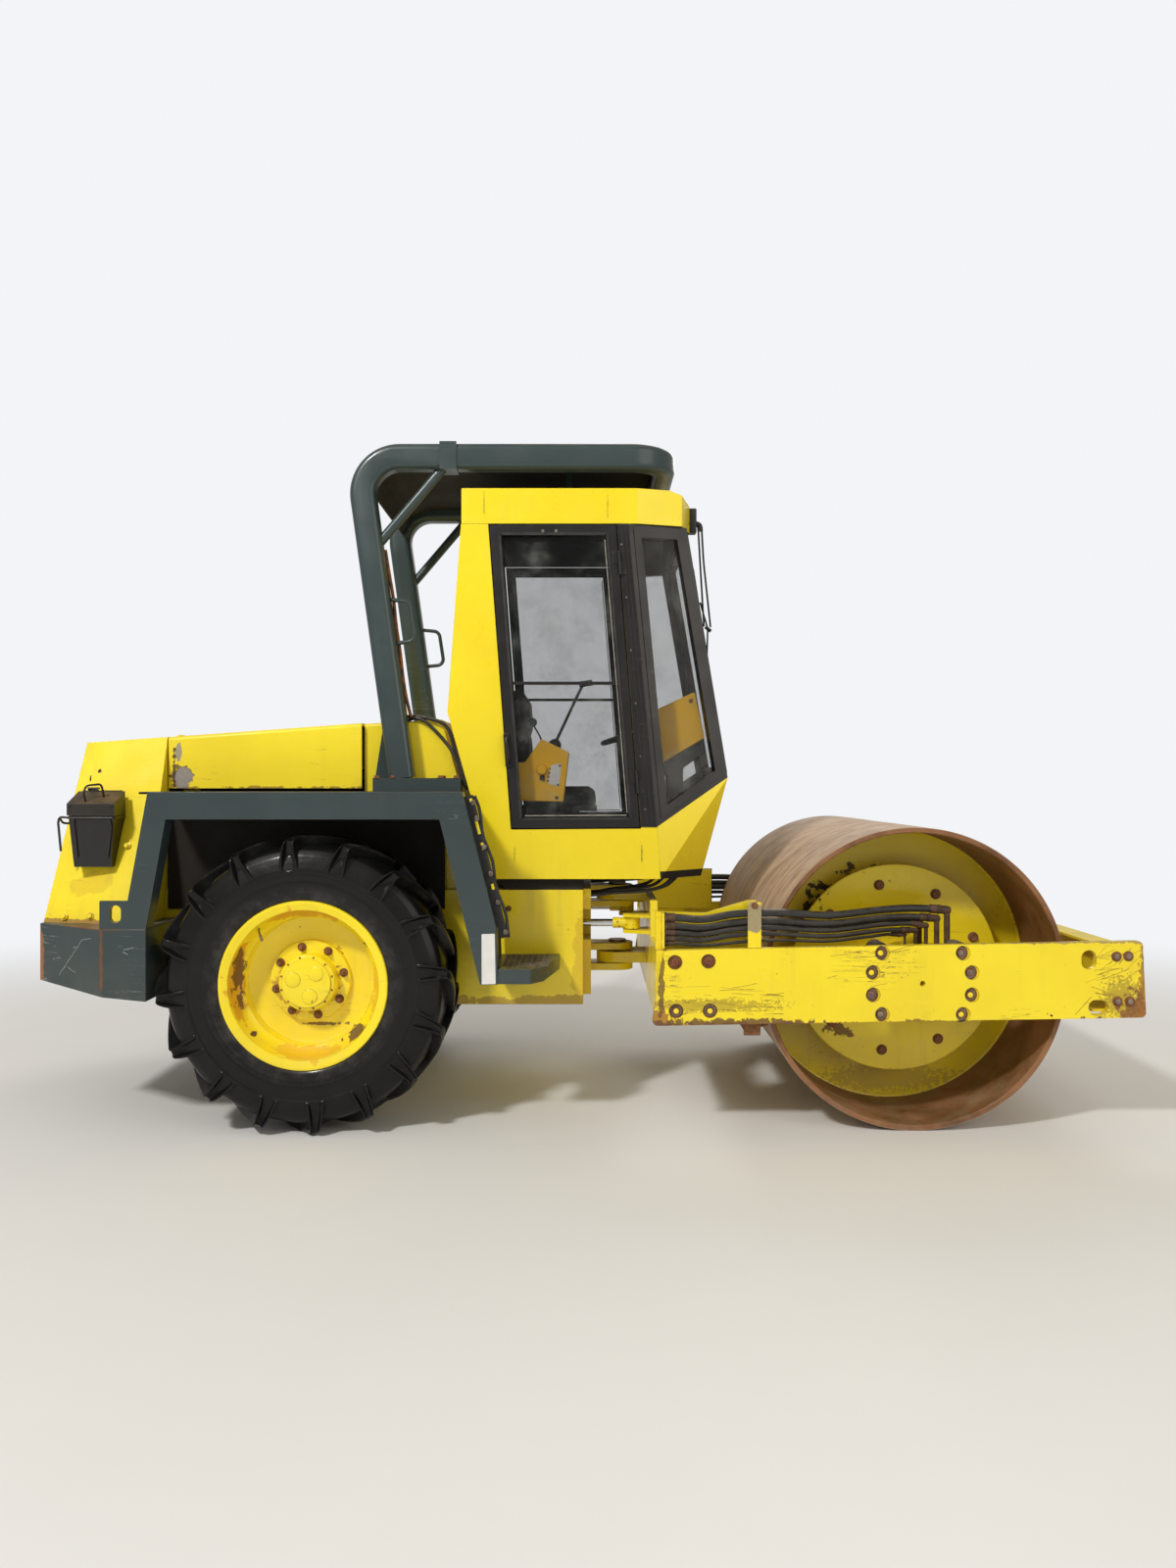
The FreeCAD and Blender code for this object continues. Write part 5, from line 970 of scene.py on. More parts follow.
@dataclass
class Drum:
    """Steel drum with its dished ends."""

    palette: Palette
    centre: tuple = (1.655, 0.0, 0.750)
    radius: float = 0.750
    wall: float = 0.028
    half: float = 1.050
    segments: int = 240
    bolt_circle: float = 0.440
    bolt_turn: float = 20.9
    plate_face: float = 0.666

    def build(self) -> None:
        """Makes the shell, the ends and their bolts."""
        settle(self.shell(), "drum", Slot.DRUM, "drum_shell")
        settle(self.ends(), "drum", Slot.YELLOW, "drum_webs")
        settle(self.bolts(), "drum", Slot.STEEL)

    def shell(self) -> bpy.types.Object:
        """Tube with eased lips; its skin sinks in by two crossed sines of up to 1.5 mm."""
        outer, inner, half, ease = self.radius, self.radius - self.wall, self.half, 0.004
        stations = np.linspace(-half + ease, half - ease, 40)
        profile = [(outer - ease, -half)] + [(outer, place) for place in stations] + [(outer - ease, half)]
        profile += [(inner + ease, half), (inner, half - ease), (inner, 0.52), (inner, -0.52),
                    (inner, -half + ease), (inner + ease, -half)]
        rings = lathe(profile, self.centre, (0, 1, 0), self.segments)
        turn = np.linspace(0, TURN, self.segments, endpoint=False)[None, :]
        along = np.array([place for _, place in profile])[:, None]
        sink = 0.0008 * (1 - np.sin(5 * turn + 3 * along) * np.sin(2.6 * along + 2 * turn))
        gate = (np.array([radius for radius, _ in profile]) > outer - 0.001)[:, None]
        rings -= unit_rows(rings - np.array(self.centre)) * (sink * gate)[..., None]
        pile = Pile()
        start = pile.grid(rings, wrap_rows=True, wrap_columns=True)
        shell = pile.solid("drum_skin", [self.palette.drum, self.palette.inner])
        count = len(profile)
        for face in shell.data.polygons:
            middle = face.center - Vector(self.centre)
            if math.hypot(middle.x, middle.z) < outer - 0.006:
                face.material_index = 1
        LOG.debug("shell starts at %d with %d rings", start, count)
        return shell

    def ends(self) -> bpy.types.Object:
        """Both dished ends as one lathed profile with weld beads where plates meet."""
        inner = self.radius - self.wall
        side = [(0.0, 0.6050), (0.1012, 0.6050), (0.1012, 0.664), (0.105, 0.666), (0.538, 0.666), (0.542, 0.662),
                (0.542, 0.648), (0.540, 0.646), (0.492, 0.646), (0.486, 0.643), (0.482, 0.636), (0.480, 0.545),
                (0.480, 0.522), (0.486, 0.517), (0.492, 0.510), (0.600, 0.510), (0.708, 0.510), (0.714, 0.516),
                (inner, 0.518), (inner, 0.485), (0.160, 0.485)]
        profile = side + [(radius, -place) for radius, place in reversed(side)]
        pile = Pile()
        pile.grid(lathe(profile, self.centre, (0, 1, 0), 160), wrap_columns=True)
        black, patches = (0.012, 0.009, 0.006), []
        # The two black patches near the top of each end are painted shadow of the shell.
        for y in (-0.575, 0.575):
            patches += [Patch((1.275, y, 1.075), (0.10, 0.075, 0.17), black, 0.7, 14.0, 0.95),
                        Patch((1.50, y, 1.235), (0.15, 0.075, 0.06), black, 0.8, 14.0, 0.9),
                        Patch((1.36, y, 0.42), (0.09, 0.12, 0.05), RUST, 0.9, 17.0, 0.9),
                        Patch((1.655, y, 0.13), (0.36, 0.2, 0.07), (0.30, 0.17, 0.06), 0.8, 45.0, 0.4)]
        paint = self.palette.painted("drum_end_paint", tuple(patches), chips=0.5, edge=0.8, runs=0.35, low=0.15, top=0.3)
        return pile.solid("drum_ends", [paint])

    def bolts(self) -> bpy.types.Object:
        """Bolts of the round plates on both ends."""
        pile = Pile()
        for index in range(9):
            turn = math.radians(self.bolt_turn + 40 * index)
            x = self.centre[0] + self.bolt_circle * math.cos(turn)
            z = self.centre[2] + self.bolt_circle * math.sin(turn)
            for side in (-1, 1):
                bolt(pile, (x, side * self.plate_face, z), (0, side, 0), 0.021, 0.015, spin=index)
        return pile.solid("drum_bolts", [self.palette.rusty])


def unit_rows(points: np.ndarray) -> np.ndarray:
    """Directions away from the cross axis: x and z kept, y dropped, length one."""
    flat = points * np.array([1.0, 0.0, 1.0])
    return flat / np.maximum(np.linalg.norm(flat, axis=-1, keepdims=True), 1e-9)


@dataclass
class Wheel:
    """Tyre, rim and geared hub of one side."""

    palette: Palette
    side: str
    centre: tuple = (-1.349, 0.930, 0.730)
    lugs: int = 16
    radius: float = 0.730

    # distance from the middle plane, radius of the carcass, both in mm
    CARCASS = [(0, 690), (60, 689), (120, 685), (165, 677), (188, 662), (204, 636), (215, 604), (223, 575),
               (226, 562), (219, 552), (219, 530), (218, 500), (214, 470), (209, 444), (207, 432), (204, 424),
               (200, 418), (192, 408), (188, 400), (186, 385)]
    # base across, base radius, top across, top radius, distance along the rim, width in mm, pocket in its face
    BAR = [(-16, 686, -16, 727, 0, 42, 0), (60, 684, 60, 730, 78, 46, 0), (120, 680, 120, 730, 138, 50, 0),
           (162, 672, 172, 726, 182, 52, 0), (180, 653, 218, 716, 204, 50, 0.1), (184, 643, 229, 702, 212, 52, 0.7),
           (194, 628, 233, 678, 217, 64, 1.0), (203, 606, 233, 644, 221, 82, 1.0), (211, 580, 233, 602, 224, 100, 1.0),
           (216, 562, 231, 572, 225, 110, 0.7), (214, 556, 226, 562, 225, 112, 0)]
    # half width on the outside of the rim's section and radius, in mm
    RIM = [(-205, 414), (-192, 414), (-186, 405), (-186, 385), (-150, 385), (-60, 372), (-40, 340), (60, 340),
           (90, 372), (150, 385), (186, 385), (186, 405), (190, 412), (198, 415), (205, 412), (207, 405),
           (205, 398), (200, 380), (196, 368), (120, 360), (96, 354), (78, 338), (66, 324), (40, 321), (24, 316),
           (17, 300), (16, 240), (20, 205), (44, 200), (46, 196), (46, 150), (52, 143), (112, 140), (118, 136),
           (120, 132), (121, 121), (132, 119), (133, 115), (133, 0)]
    BACK = [(-130, 0), (-130, 140), (-4, 140), (-4, 310), (10, 322), (-46, 322), (-66, 356), (-198, 368),
            (-205, 398)]

    def build(self) -> None:
        """Makes the wheel's pieces."""
        self.way = -1 if self.side == "right" else 1
        self.middle = (self.centre[0], self.way * self.centre[1], self.centre[2])
        body = "wheel_" + self.side
        settle(self.tyre(), body, Slot.TYRE, "tyre_" + self.side)
        settle(self.rim(), body, Slot.YELLOW, "rim_" + self.side)
        settle(self.nuts(), body, Slot.STEEL)
        settle(self.valve(), body, Slot.STEEL)

    def tyre(self) -> bpy.types.Object:
        """Lathed carcass with moulded rings, and bars: base and top lines carried from the middle over the shoulder."""
        table = np.array(self.CARCASS, float)
        reach = np.concatenate([[0], np.cumsum(np.linalg.norm(np.diff(table, axis=0), axis=1))])
        fine = np.linspace(0, reach[-1], 70)
        across, radius = np.interp(fine, reach, table[:, 0]), np.interp(fine, reach, table[:, 1])
        for ring, width, rise in ((452, 4, 2.5), (476, 3, 1.6), (500, 3, 1.6), (540, 5, 1.2)):
            across += rise * np.exp(-((radius - ring) / width) ** 2) * (across > 150)
        half = np.stack([radius, across], axis=1) / 1000
        profile = np.vstack([half[::-1] * (1, -1), half[1:]])
        pile = Pile()
        pile.grid(lathe(profile.tolist(), self.middle, (0, 1, 0), 192), wrap_rows=True, wrap_columns=True)
        bar = np.array(self.BAR, float)
        steps = np.linspace(0, len(bar) - 1, 28)
        bar = np.stack([np.interp(steps, np.arange(len(bar)), column) for column in bar.T], axis=1)
        pitch = TURN / self.lugs
        for index in range(self.lugs):
            for way in (1, -1):
                pile.sweep(self.bar(bar, (index + (0.5 if way < 0 else 0)) * pitch, way))
        return pile.solid("tyre_%s_tread" % self.side, [self.palette.tyre], 40)

    def bar(self, bar: np.ndarray, phase: float, way: int) -> np.ndarray:
        """Rings of one tread bar: its section carried from the middle over the shoulder, turned about the axle."""
        base = bar[:, None, 0:2] / 1000
        top = bar[:, None, 2:4] / 1000
        rise = np.array([0.0, 0.82, 0.97, 1.0, 0.98, 0.30, 0.22, 0.22, 0.30, 0.98, 1.0, 0.97, 0.82, 0.0])[None, :, None]
        full = np.array([0.0, 0.82, 0.97, 1.0, 1.0, 1.0, 1.0, 1.0, 1.0, 1.0, 1.0, 0.97, 0.82, 0.0])[None, :, None]
        wide = np.array([-0.60, -0.54, -0.50, -0.46, -0.36, -0.29, -0.08, 0.08, 0.29, 0.36, 0.46, 0.50, 0.54, 0.60])[None, :]
        sunk = bar[:, 6:7, None]
        cut = base + (top - base) * (full + (rise - full) * sunk)
        along = (bar[:, 4:5] + bar[:, 5:6] * wide) / 1000
        turn = phase - along / self.radius
        return np.stack([self.middle[0] + cut[..., 1] * np.sin(turn), self.middle[1] + way * cut[..., 0],
                         self.middle[2] + cut[..., 1] * np.cos(turn)], axis=-1)

    def rim(self) -> bpy.types.Object:
        """Rim, dish and hub as one lathed profile that closes on the axle."""
        profile = [(radius / 1000, across / 1000) for across, radius in self.RIM]
        profile += [(radius / 1000, across / 1000) for across, radius in self.BACK]
        pile = Pile()
        pile.grid(lathe(profile, self.middle, (0, self.way, 0), 128), wrap_rows=True, wrap_columns=True)
        x, y, z = self.middle
        end = self.way * 0.133
        for index in range(3):
            turn = math.radians(45 + 120 * index)
            spot = (x + 0.068 * math.cos(turn), y + end, z + 0.068 * math.sin(turn))
            ring = [(0.0, 0.0), (0.037, 0.0), (0.037, 0.002), (0.034, 0.004), (0.0, 0.0045)]
            pile.grid(lathe(ring, spot, (0, self.way, 0), 32), wrap_columns=True)
        def spot(across: float, out: float, up: float) -> tuple[float, float, float]:
            return (x + across, y + self.way * out, z + up)
        burnt, orange = (0.10, 0.035, 0.012), (0.74, 0.36, 0.012)
        # The four orange patches round the rim's step are painted shade, stronger at the left and the top.
        paint = self.palette.painted("rim_paint_" + self.side, chips=0.5, edge=1.0, runs=0.3, low=0.2, top=0.0, patches=(
            Patch(spot(-0.37, 0.12, 0.0), (0.10, 0.07, 0.30), orange, 0.45, 16.0, 0.8),
            Patch(spot(0.0, 0.12, 0.37), (0.28, 0.07, 0.09), orange, 0.45, 16.0, 0.8),
            Patch(spot(0.37, 0.12, 0.0), (0.09, 0.07, 0.26), orange, 0.5, 16.0, 0.55),
            Patch(spot(0.0, 0.12, -0.37), (0.26, 0.07, 0.08), orange, 0.5, 16.0, 0.55),
            Patch(spot(-0.335, 0.115, 0.06), (0.025, 0.05, 0.17), burnt, 1.0, 22.0, 0.85),
            Patch(spot(0.25, 0.10, -0.25), (0.11, 0.07, 0.05), burnt, 0.9, 18.0, 0.9),
            Patch(spot(-0.25, 0.14, -0.24), (0.020, 0.05, 0.020), burnt, 0.2, 34.0, 1.0),
            Patch(spot(-0.02, 0.03, -0.02), (0.165, 0.03, 0.165), (0.45, 0.17, 0.03), 0.35, 26.0, 0.7),
            Patch(spot(0.13, 0.02, 0.02), (0.035, 0.03, 0.14), (0.34, 0.11, 0.02), 0.4, 24.0, 0.9),
            Patch(spot(0.06, 0.02, -0.22), (0.11, 0.03, 0.009), burnt, 0.8, 30.0, 0.85)))
        return pile.solid("rim_%s_disc" % self.side, [paint])

    def nuts(self) -> bpy.types.Object:
        """Eight wheel nuts with studs and the ring of hub bolts."""
        pile = Pile()
        x, y, z = self.middle
        for index in range(8):
            turn = TURN * (index + 0.3) / 8
            spot = (x + 0.173 * math.cos(turn), y + self.way * 0.046, z + 0.173 * math.sin(turn))
            bolt(pile, spot, (0, self.way, 0), 0.017, 0.017, spin=index)
            stud = [(0.0, 0.0), (0.0095, 0.0), (0.0095, 0.034), (0.008, 0.036), (0.0, 0.036)]
            pile.grid(lathe(stud, spot, (0, self.way, 0), 16), wrap_columns=True)
        for index in range(12):
            turn = TURN * (index + 0.5) / 12
            spot = (x + 0.129 * math.cos(turn), y + self.way * 0.119, z + 0.129 * math.sin(turn))
            bolt(pile, spot, (0, self.way, 0), 0.0055, 0.004, spin=index, washer=False)
        return pile.solid("nuts_" + self.side, [self.palette.rusty])

    def valve(self) -> bpy.types.Object:
        """Bent valve stem inside the rim's step."""
        x, y, z = self.middle
        path = bent([(x - 0.24, y + self.way * 0.098, z + 0.27), (x - 0.23, y + self.way * 0.14, z + 0.255),
                     (x - 0.205, y + self.way * 0.185, z + 0.225)], 0.02)
        pile = Pile()
        pile.sweep(along_path(path, 0.005, 12))
        pile.sweep(along_path(path[-2:] + (path[-1] - path[-2]) * 0.2, 0.0075, 12))
        return pile.solid("valve_" + self.side, [self.palette.steel])


@dataclass
class FrontFrame:
    """Side plates, yoke, carriers and the hardware on them."""

    palette: Palette
    plate_face: float = 1.150
    buffer_middle: tuple = (1.655, 0.744)
    circle: float = 0.246
    angles: tuple = (12.7, 37.3)

    def build(self) -> None:
        """Dresses every node of the front frame."""
        for side, way in (("right", -1), ("left", 1)):
            self.side_plate(side, way)
        for node in ("front_beam", "articulation_yoke", "drum_carriers"):
            paint = self.palette.painted(node + "_paint", chips=0.5, edge=1.0, runs=0.6, low=0.35, top=0.45,
                                         scratch=0.5)
            eased_copy(node, "front_frame", paint, 0.003)
        frame["nodes"]["rubber_buffers"].data.materials[0] = self.palette.buffer
        eased_copy("drum_scraper", "front_frame", self.palette.rusty, 0.002)
        settle(self.bolts(), "front_frame", Slot.STEEL)
        settle(self.strokes(), "front_frame", Slot.STEEL)

    def strokes(self) -> bpy.types.Object:
        """Scratches down to the primer near both ends of each side plate."""
        pile = Pile()
        rng = np.random.default_rng(11)
        for way in (-1, 1):
            for low, high, turns, count in (((0.43, 0.575), (0.98, 0.73), (-0.12, 0.10), 42),
                                            ((2.40, 0.575), (2.725, 0.90), (-0.35, 0.95), 44),
                                            ((1.15, 0.70), (1.62, 0.90), (-0.10, 0.30), 9)):
                for _ in range(count):
                    x, z = rng.uniform(low, high)
                    turn, length = rng.uniform(*turns), rng.uniform(0.03, 0.16)
                    bow = rng.normal(0, 0.08)
                    share = np.linspace(0, 1, 8)
                    across = np.clip(x + length * share * math.cos(turn), low[0], high[0] + 0.01)
                    up = np.clip(z + length * (share * math.sin(turn) + bow * share ** 2), 0.555, 0.93)
                    if across[-1] - across[0] > 0.02:
                        line = np.stack([across, np.full(8, way * (self.plate_face + 0.0002)), up], axis=1)
                        strip(pile, line, (0, way, 0), rng.uniform(0.0008, 0.0022), 0.0003)
        return pile.solid("plate_scratches", [self.palette.stroke])

    def side_plate(self, side: str, way: int) -> None:
        """Skin of one long plate with rust at its ends and lower edge."""
        y = way * self.plate_face
        orange, brown = (0.34, 0.13, 0.03), (0.14, 0.06, 0.025)
        patches = (
            Patch((2.715, y, 0.575), (0.095, 0.2, 0.13), orange, 0.8, 30.0, 0.95),
            Patch((2.742, y, 0.74), (0.028, 0.2, 0.24), orange, 0.9, 34.0, 0.8),
            Patch((2.56, y, 0.545), (0.18, 0.2, 0.030), brown, 1.0, 26.0, 0.9),
            Patch((1.55, y, 0.540), (1.30, 0.2, 0.016), orange, 1.0, 22.0, 0.8),
            Patch((0.36, y, 0.560), (0.13, 0.2, 0.075), orange, 0.9, 36.0, 0.85),
            Patch((0.70, y, 0.548), (0.42, 0.2, 0.022), brown, 1.1, 30.0, 0.9),
            Patch((0.60, y, 0.64), (0.34, 0.2, 0.028), brown, 1.0, 75.0, 0.45),
            Patch((0.395, y, 0.72), (0.014, 0.2, 0.18), brown, 0.9, 26.0, 0.85),
            Patch((2.63, y, 0.67), (0.09, 0.2, 0.10), brown, 1.0, 75.0, 0.5),
            Patch((1.66, y, 0.556), (0.16, 0.2, 0.012), brown, 1.0, 30.0, 0.8),
            Patch((1.655, y, 0.945), (1.2, 0.2, 0.008), (0.30, 0.20, 0.10), 1.0, 24.0, 0.7))
        paint = self.palette.painted("side_plate_paint_" + side, patches, chips=0.5, edge=1.0, runs=0.25, low=0.05,
                                     top=0.5, scratch=1.0, scratch_colour=(0.16, 0.08, 0.03), scratch_scale=4.2,
                                     scratch_turns=((0.0, 0.04, 0.1), (0.0, 0.55, 0.1), (0.0, -0.42, 0.3)))
        eased_copy("side_plate_" + side, "front_frame", paint, 0.004)

    def bolts(self) -> bpy.types.Object:
        """Bolts of both side plates in their rusty pockets, some with painted or bare crowns."""
        pile = Pile()
        x, z = self.buffer_middle
        spots = []
        for half in self.angles:
            for index, turn in enumerate((half, 180 - half, 180 + half, -half)):
                spots.append((x + self.circle * math.cos(math.radians(turn)),
                              z + self.circle * math.sin(math.radians(turn)), 2 if index in (1, 3) else 1))
        spots += [(0.462, 0.847, 3), (0.625, 0.852, 3), (0.468, 0.611, 2), (0.632, 0.612, 2)]
        for way in (-1, 1):
            face = way * self.plate_face
            for spot_x, spot_z, tip in spots:
                floor = face - way * 0.0118
                spot = (spot_x, floor, spot_z)
                pile.grid(lathe([(0.0, 0.0), (0.034, 0.0), (0.0347, 0.003)], spot, (0, way, 0), 32), wrap_columns=True)
                collar = [(0.021, 0.0), (0.021, 0.0028), (0.0275, 0.0032), (0.029, 0.002), (0.029, 0.0)]
                pile.grid(lathe(collar, spot, (0, way, 0), 32), wrap_columns=True, mark=1 if tip != 3 else 0)
                bolt(pile, spot, (0, way, 0), 0.020, 0.013, spin=spot_x * 40, washer=False, tip=tip)
            for spot_x, spot_z in ((2.604, 0.876), (2.661, 0.878), (2.608, 0.659), (2.668, 0.659)):
                bolt(pile, (spot_x, face, spot_z), (0, way, 0), 0.019, 0.0095, spin=spot_x * 40, tip=1)
        return pile.solid("side_plate_bolts", [self.palette.rusty, self.palette.steel, self.palette.worn_yellow,
                                               self.palette.red_rust])


# Radius in metres, then the route of one right-hand hose from the bulkhead to the drum motor
HOSES = (
    (0.019, ((0.4123, 1.118, 1.062), (0.480, 1.118, 1.062), (0.600, 1.118, 1.048), (0.735, 1.118, 1.078),
             (0.849, 1.118, 1.085), (1.000, 1.118, 1.085), (1.120, 1.105, 1.073), (1.240, 1.075, 1.066),
             (1.370, 1.020, 1.074), (1.500, 0.960, 1.082), (1.640, 0.915, 1.086), (1.760, 0.900, 1.083),
             (1.822, 0.900, 1.078))),
    (0.017, ((0.4123, 1.118, 1.022), (0.480, 1.118, 1.022), (0.600, 1.118, 1.008), (0.735, 1.118, 1.038),
             (0.849, 1.118, 1.045), (1.000, 1.118, 1.045), (1.120, 1.105, 1.033), (1.240, 1.075, 1.026),
             (1.370, 1.020, 1.034), (1.500, 0.960, 1.042), (1.620, 0.915, 1.044), (1.720, 0.900, 1.041),
             (1.772, 0.900, 1.036))),
    (0.013, ((0.4123, 1.118, 0.988), (0.480, 1.118, 0.988), (0.600, 1.118, 0.974), (0.735, 1.118, 1.004),
             (0.849, 1.118, 1.011), (1.000, 1.118, 1.011), (1.120, 1.105, 0.999), (1.240, 1.075, 0.992),
             (1.370, 1.020, 1.000), (1.500, 0.960, 1.008), (1.620, 0.915, 1.009), (1.690, 0.900, 1.006),
             (1.722, 0.900, 1.001))),
    (0.012, ((0.4123, 1.118, 0.960), (0.480, 1.118, 0.960), (0.600, 1.118, 0.946), (0.735, 1.118, 0.975),
             (0.849, 1.118, 0.982), (1.000, 1.118, 0.982), (1.120, 1.105, 0.970), (1.240, 1.075, 0.963),
             (1.370, 1.020, 0.971), (1.500, 0.960, 0.979), (1.600, 0.915, 0.979), (1.672, 0.900, 0.973))),
    (0.008, ((0.4123, 1.118, 0.936), (0.480, 1.118, 0.936), (0.600, 1.118, 0.924), (0.735, 1.118, 0.936),
             (0.849, 1.118, 0.949), (1.000, 1.118, 0.951), (1.120, 1.105, 0.945), (1.240, 1.075, 0.940),
             (1.370, 1.020, 0.948), (1.500, 0.960, 0.954), (1.560, 0.915, 0.955), (1.622, 0.900, 0.951))),
    (0.015, ((0.4123, 1.080, 1.004), (0.480, 1.080, 1.004), (0.600, 1.080, 0.992), (0.700, 1.081, 1.012),
             (0.849, 1.083, 1.022), (1.000, 1.081, 1.020), (1.120, 1.066, 1.010), (1.240, 1.034, 1.002),
             (1.370, 0.980, 1.008), (1.500, 0.920, 1.016), (1.620, 0.874, 1.018), (1.700, 0.862, 1.014))),
)


@dataclass
class Hoses:
    """Hydraulic hoses on both sides with their sleeves, elbows and straps."""

    palette: Palette
    lengths: tuple = (1.45, 1.40, 1.35, 1.30, 1.255, 1.33)

    def build(self) -> None:
        """Makes the hoses and what holds them."""
        pile = Pile()
        for side, way in (("right", -1), ("left", 1)):
            for index, (radius, route) in enumerate(HOSES):
                points = np.array(route) * (1, way, 1)
                hose = spline("hose_%s_%d" % (side, index + 1), points, radius, self.palette.hose)
                settle(hose, "front_frame", Slot.HOSE, "drum_hoses")
                self.sleeve(pile, points[0], points[1] - points[0], radius)
                self.sleeve(pile, points[-1], points[-2] - points[-1], radius)
        settle(pile.solid("hose_sleeves", [self.palette.elbow]), "front_frame", Slot.PLATED)
        self.hardware()

    def sleeve(self, pile: Pile, end: np.ndarray, heading: np.ndarray, radius: float) -> None:
        """Crimped sleeve with a hexagon nut on one end of a hose."""
        grip = radius + 0.0028
        profile = [(radius * 0.7, 0.002), (grip * 0.92, 0.002), (grip * 0.92, 0.018)]
        for station in (0.020, 0.029, 0.038):
            profile += [(grip, station), (grip + 0.0012, station + 0.002), (grip + 0.0012, station + 0.005),
                        (grip, station + 0.007)]
        profile += [(grip, 0.052), (radius, 0.053)]
        pile.grid(lathe(profile, end, heading, 28), wrap_columns=True)
        along = unit(heading)
        bolt(pile, np.asarray(end) + along * 0.001, heading, radius + 0.0065, 0.015, washer=False)

    def hardware(self) -> None:
        """Strap and elbows from the frame's node: worn yellow on the strap, rusty at the motor."""
        thing = eased_copy("hose_hardware", "front_frame", self.palette.strap, 0.0012)
        thing.data.materials.append(self.palette.elbow)
        for face in thing.data.polygons:
            face.material_index = 1 if face.center.x > 1.2 else 0
        pile = Pile()
        for way in (-1, 1):
            bolt(pile, (0.849, way * 1.146, 1.122), (0, way, 0), 0.012, 0.009, spin=0.4)
        settle(pile.solid("strap_bolts", [self.palette.rusty]), "front_frame", Slot.PLATED)


def spline(name: str, points: np.ndarray, radius: float, material: bpy.types.Material) -> bpy.types.Object:
    """Round hose or wire on a smooth spline with these control points.

    Args:
        name: the piece's name.
        points: points by three.
        radius: tube radius.
        material: its finish.
    Returns:
        The linked curve.
    """
    curve = bpy.data.curves.new(name, "CURVE")
    curve.dimensions = "3D"
    curve.bevel_depth = radius
    curve.bevel_resolution = 4
    curve.resolution_u = 8
    curve.use_fill_caps = True
    line = curve.splines.new("NURBS")
    line.points.add(len(points) - 1)
    for point, place in zip(line.points, points):
        point.co = (*place, 1.0)
    line.order_u = 3
    line.use_endpoint_u = True
    curve.materials.append(material)
    thing = bpy.data.objects.new(name, curve)
    bpy.context.scene.collection.objects.link(thing)
    return thing


RUST_DARK = (0.06, 0.028, 0.014)
CAB_NODES = ("cab_side_right", "cab_side_left", "cab_rear_wall", "cab_front", "cab_roof")
CAB_MIDDLE = Vector((0.0, 0.0, 2.0))


def housing_side(x: float, z: float, out: float = 0.0) -> tuple[float, float, float]:
    """Point on the right side of the rear housing, moved out of its wall."""
    y = 0.878 + 0.197 * (x + 2.484) - 0.3325 * (z - 1.045)
    return (x - 0.18 * out, -y - 0.92 * out, z + 0.31 * out)


def strip(pile: Pile, points: np.ndarray, normal: tuple, width: float, rise: float, mark: int = 0) -> None:
    """Adds a flat strip along a path: its sides stand square to the path in the surface."""
    heading = np.gradient(np.asarray(points, float), axis=0)
    side = np.cross(heading, normal)
    side /= np.linalg.norm(side, axis=1)[:, None]
    lift = np.asarray(normal, float) * rise
    rings = np.stack([points - side * width / 2 - lift * 0.5, points - side * width / 2 + lift,
                      points + side * width / 2 + lift, points + side * width / 2 - lift * 0.5], axis=1)
    pile.sweep(rings, mark)


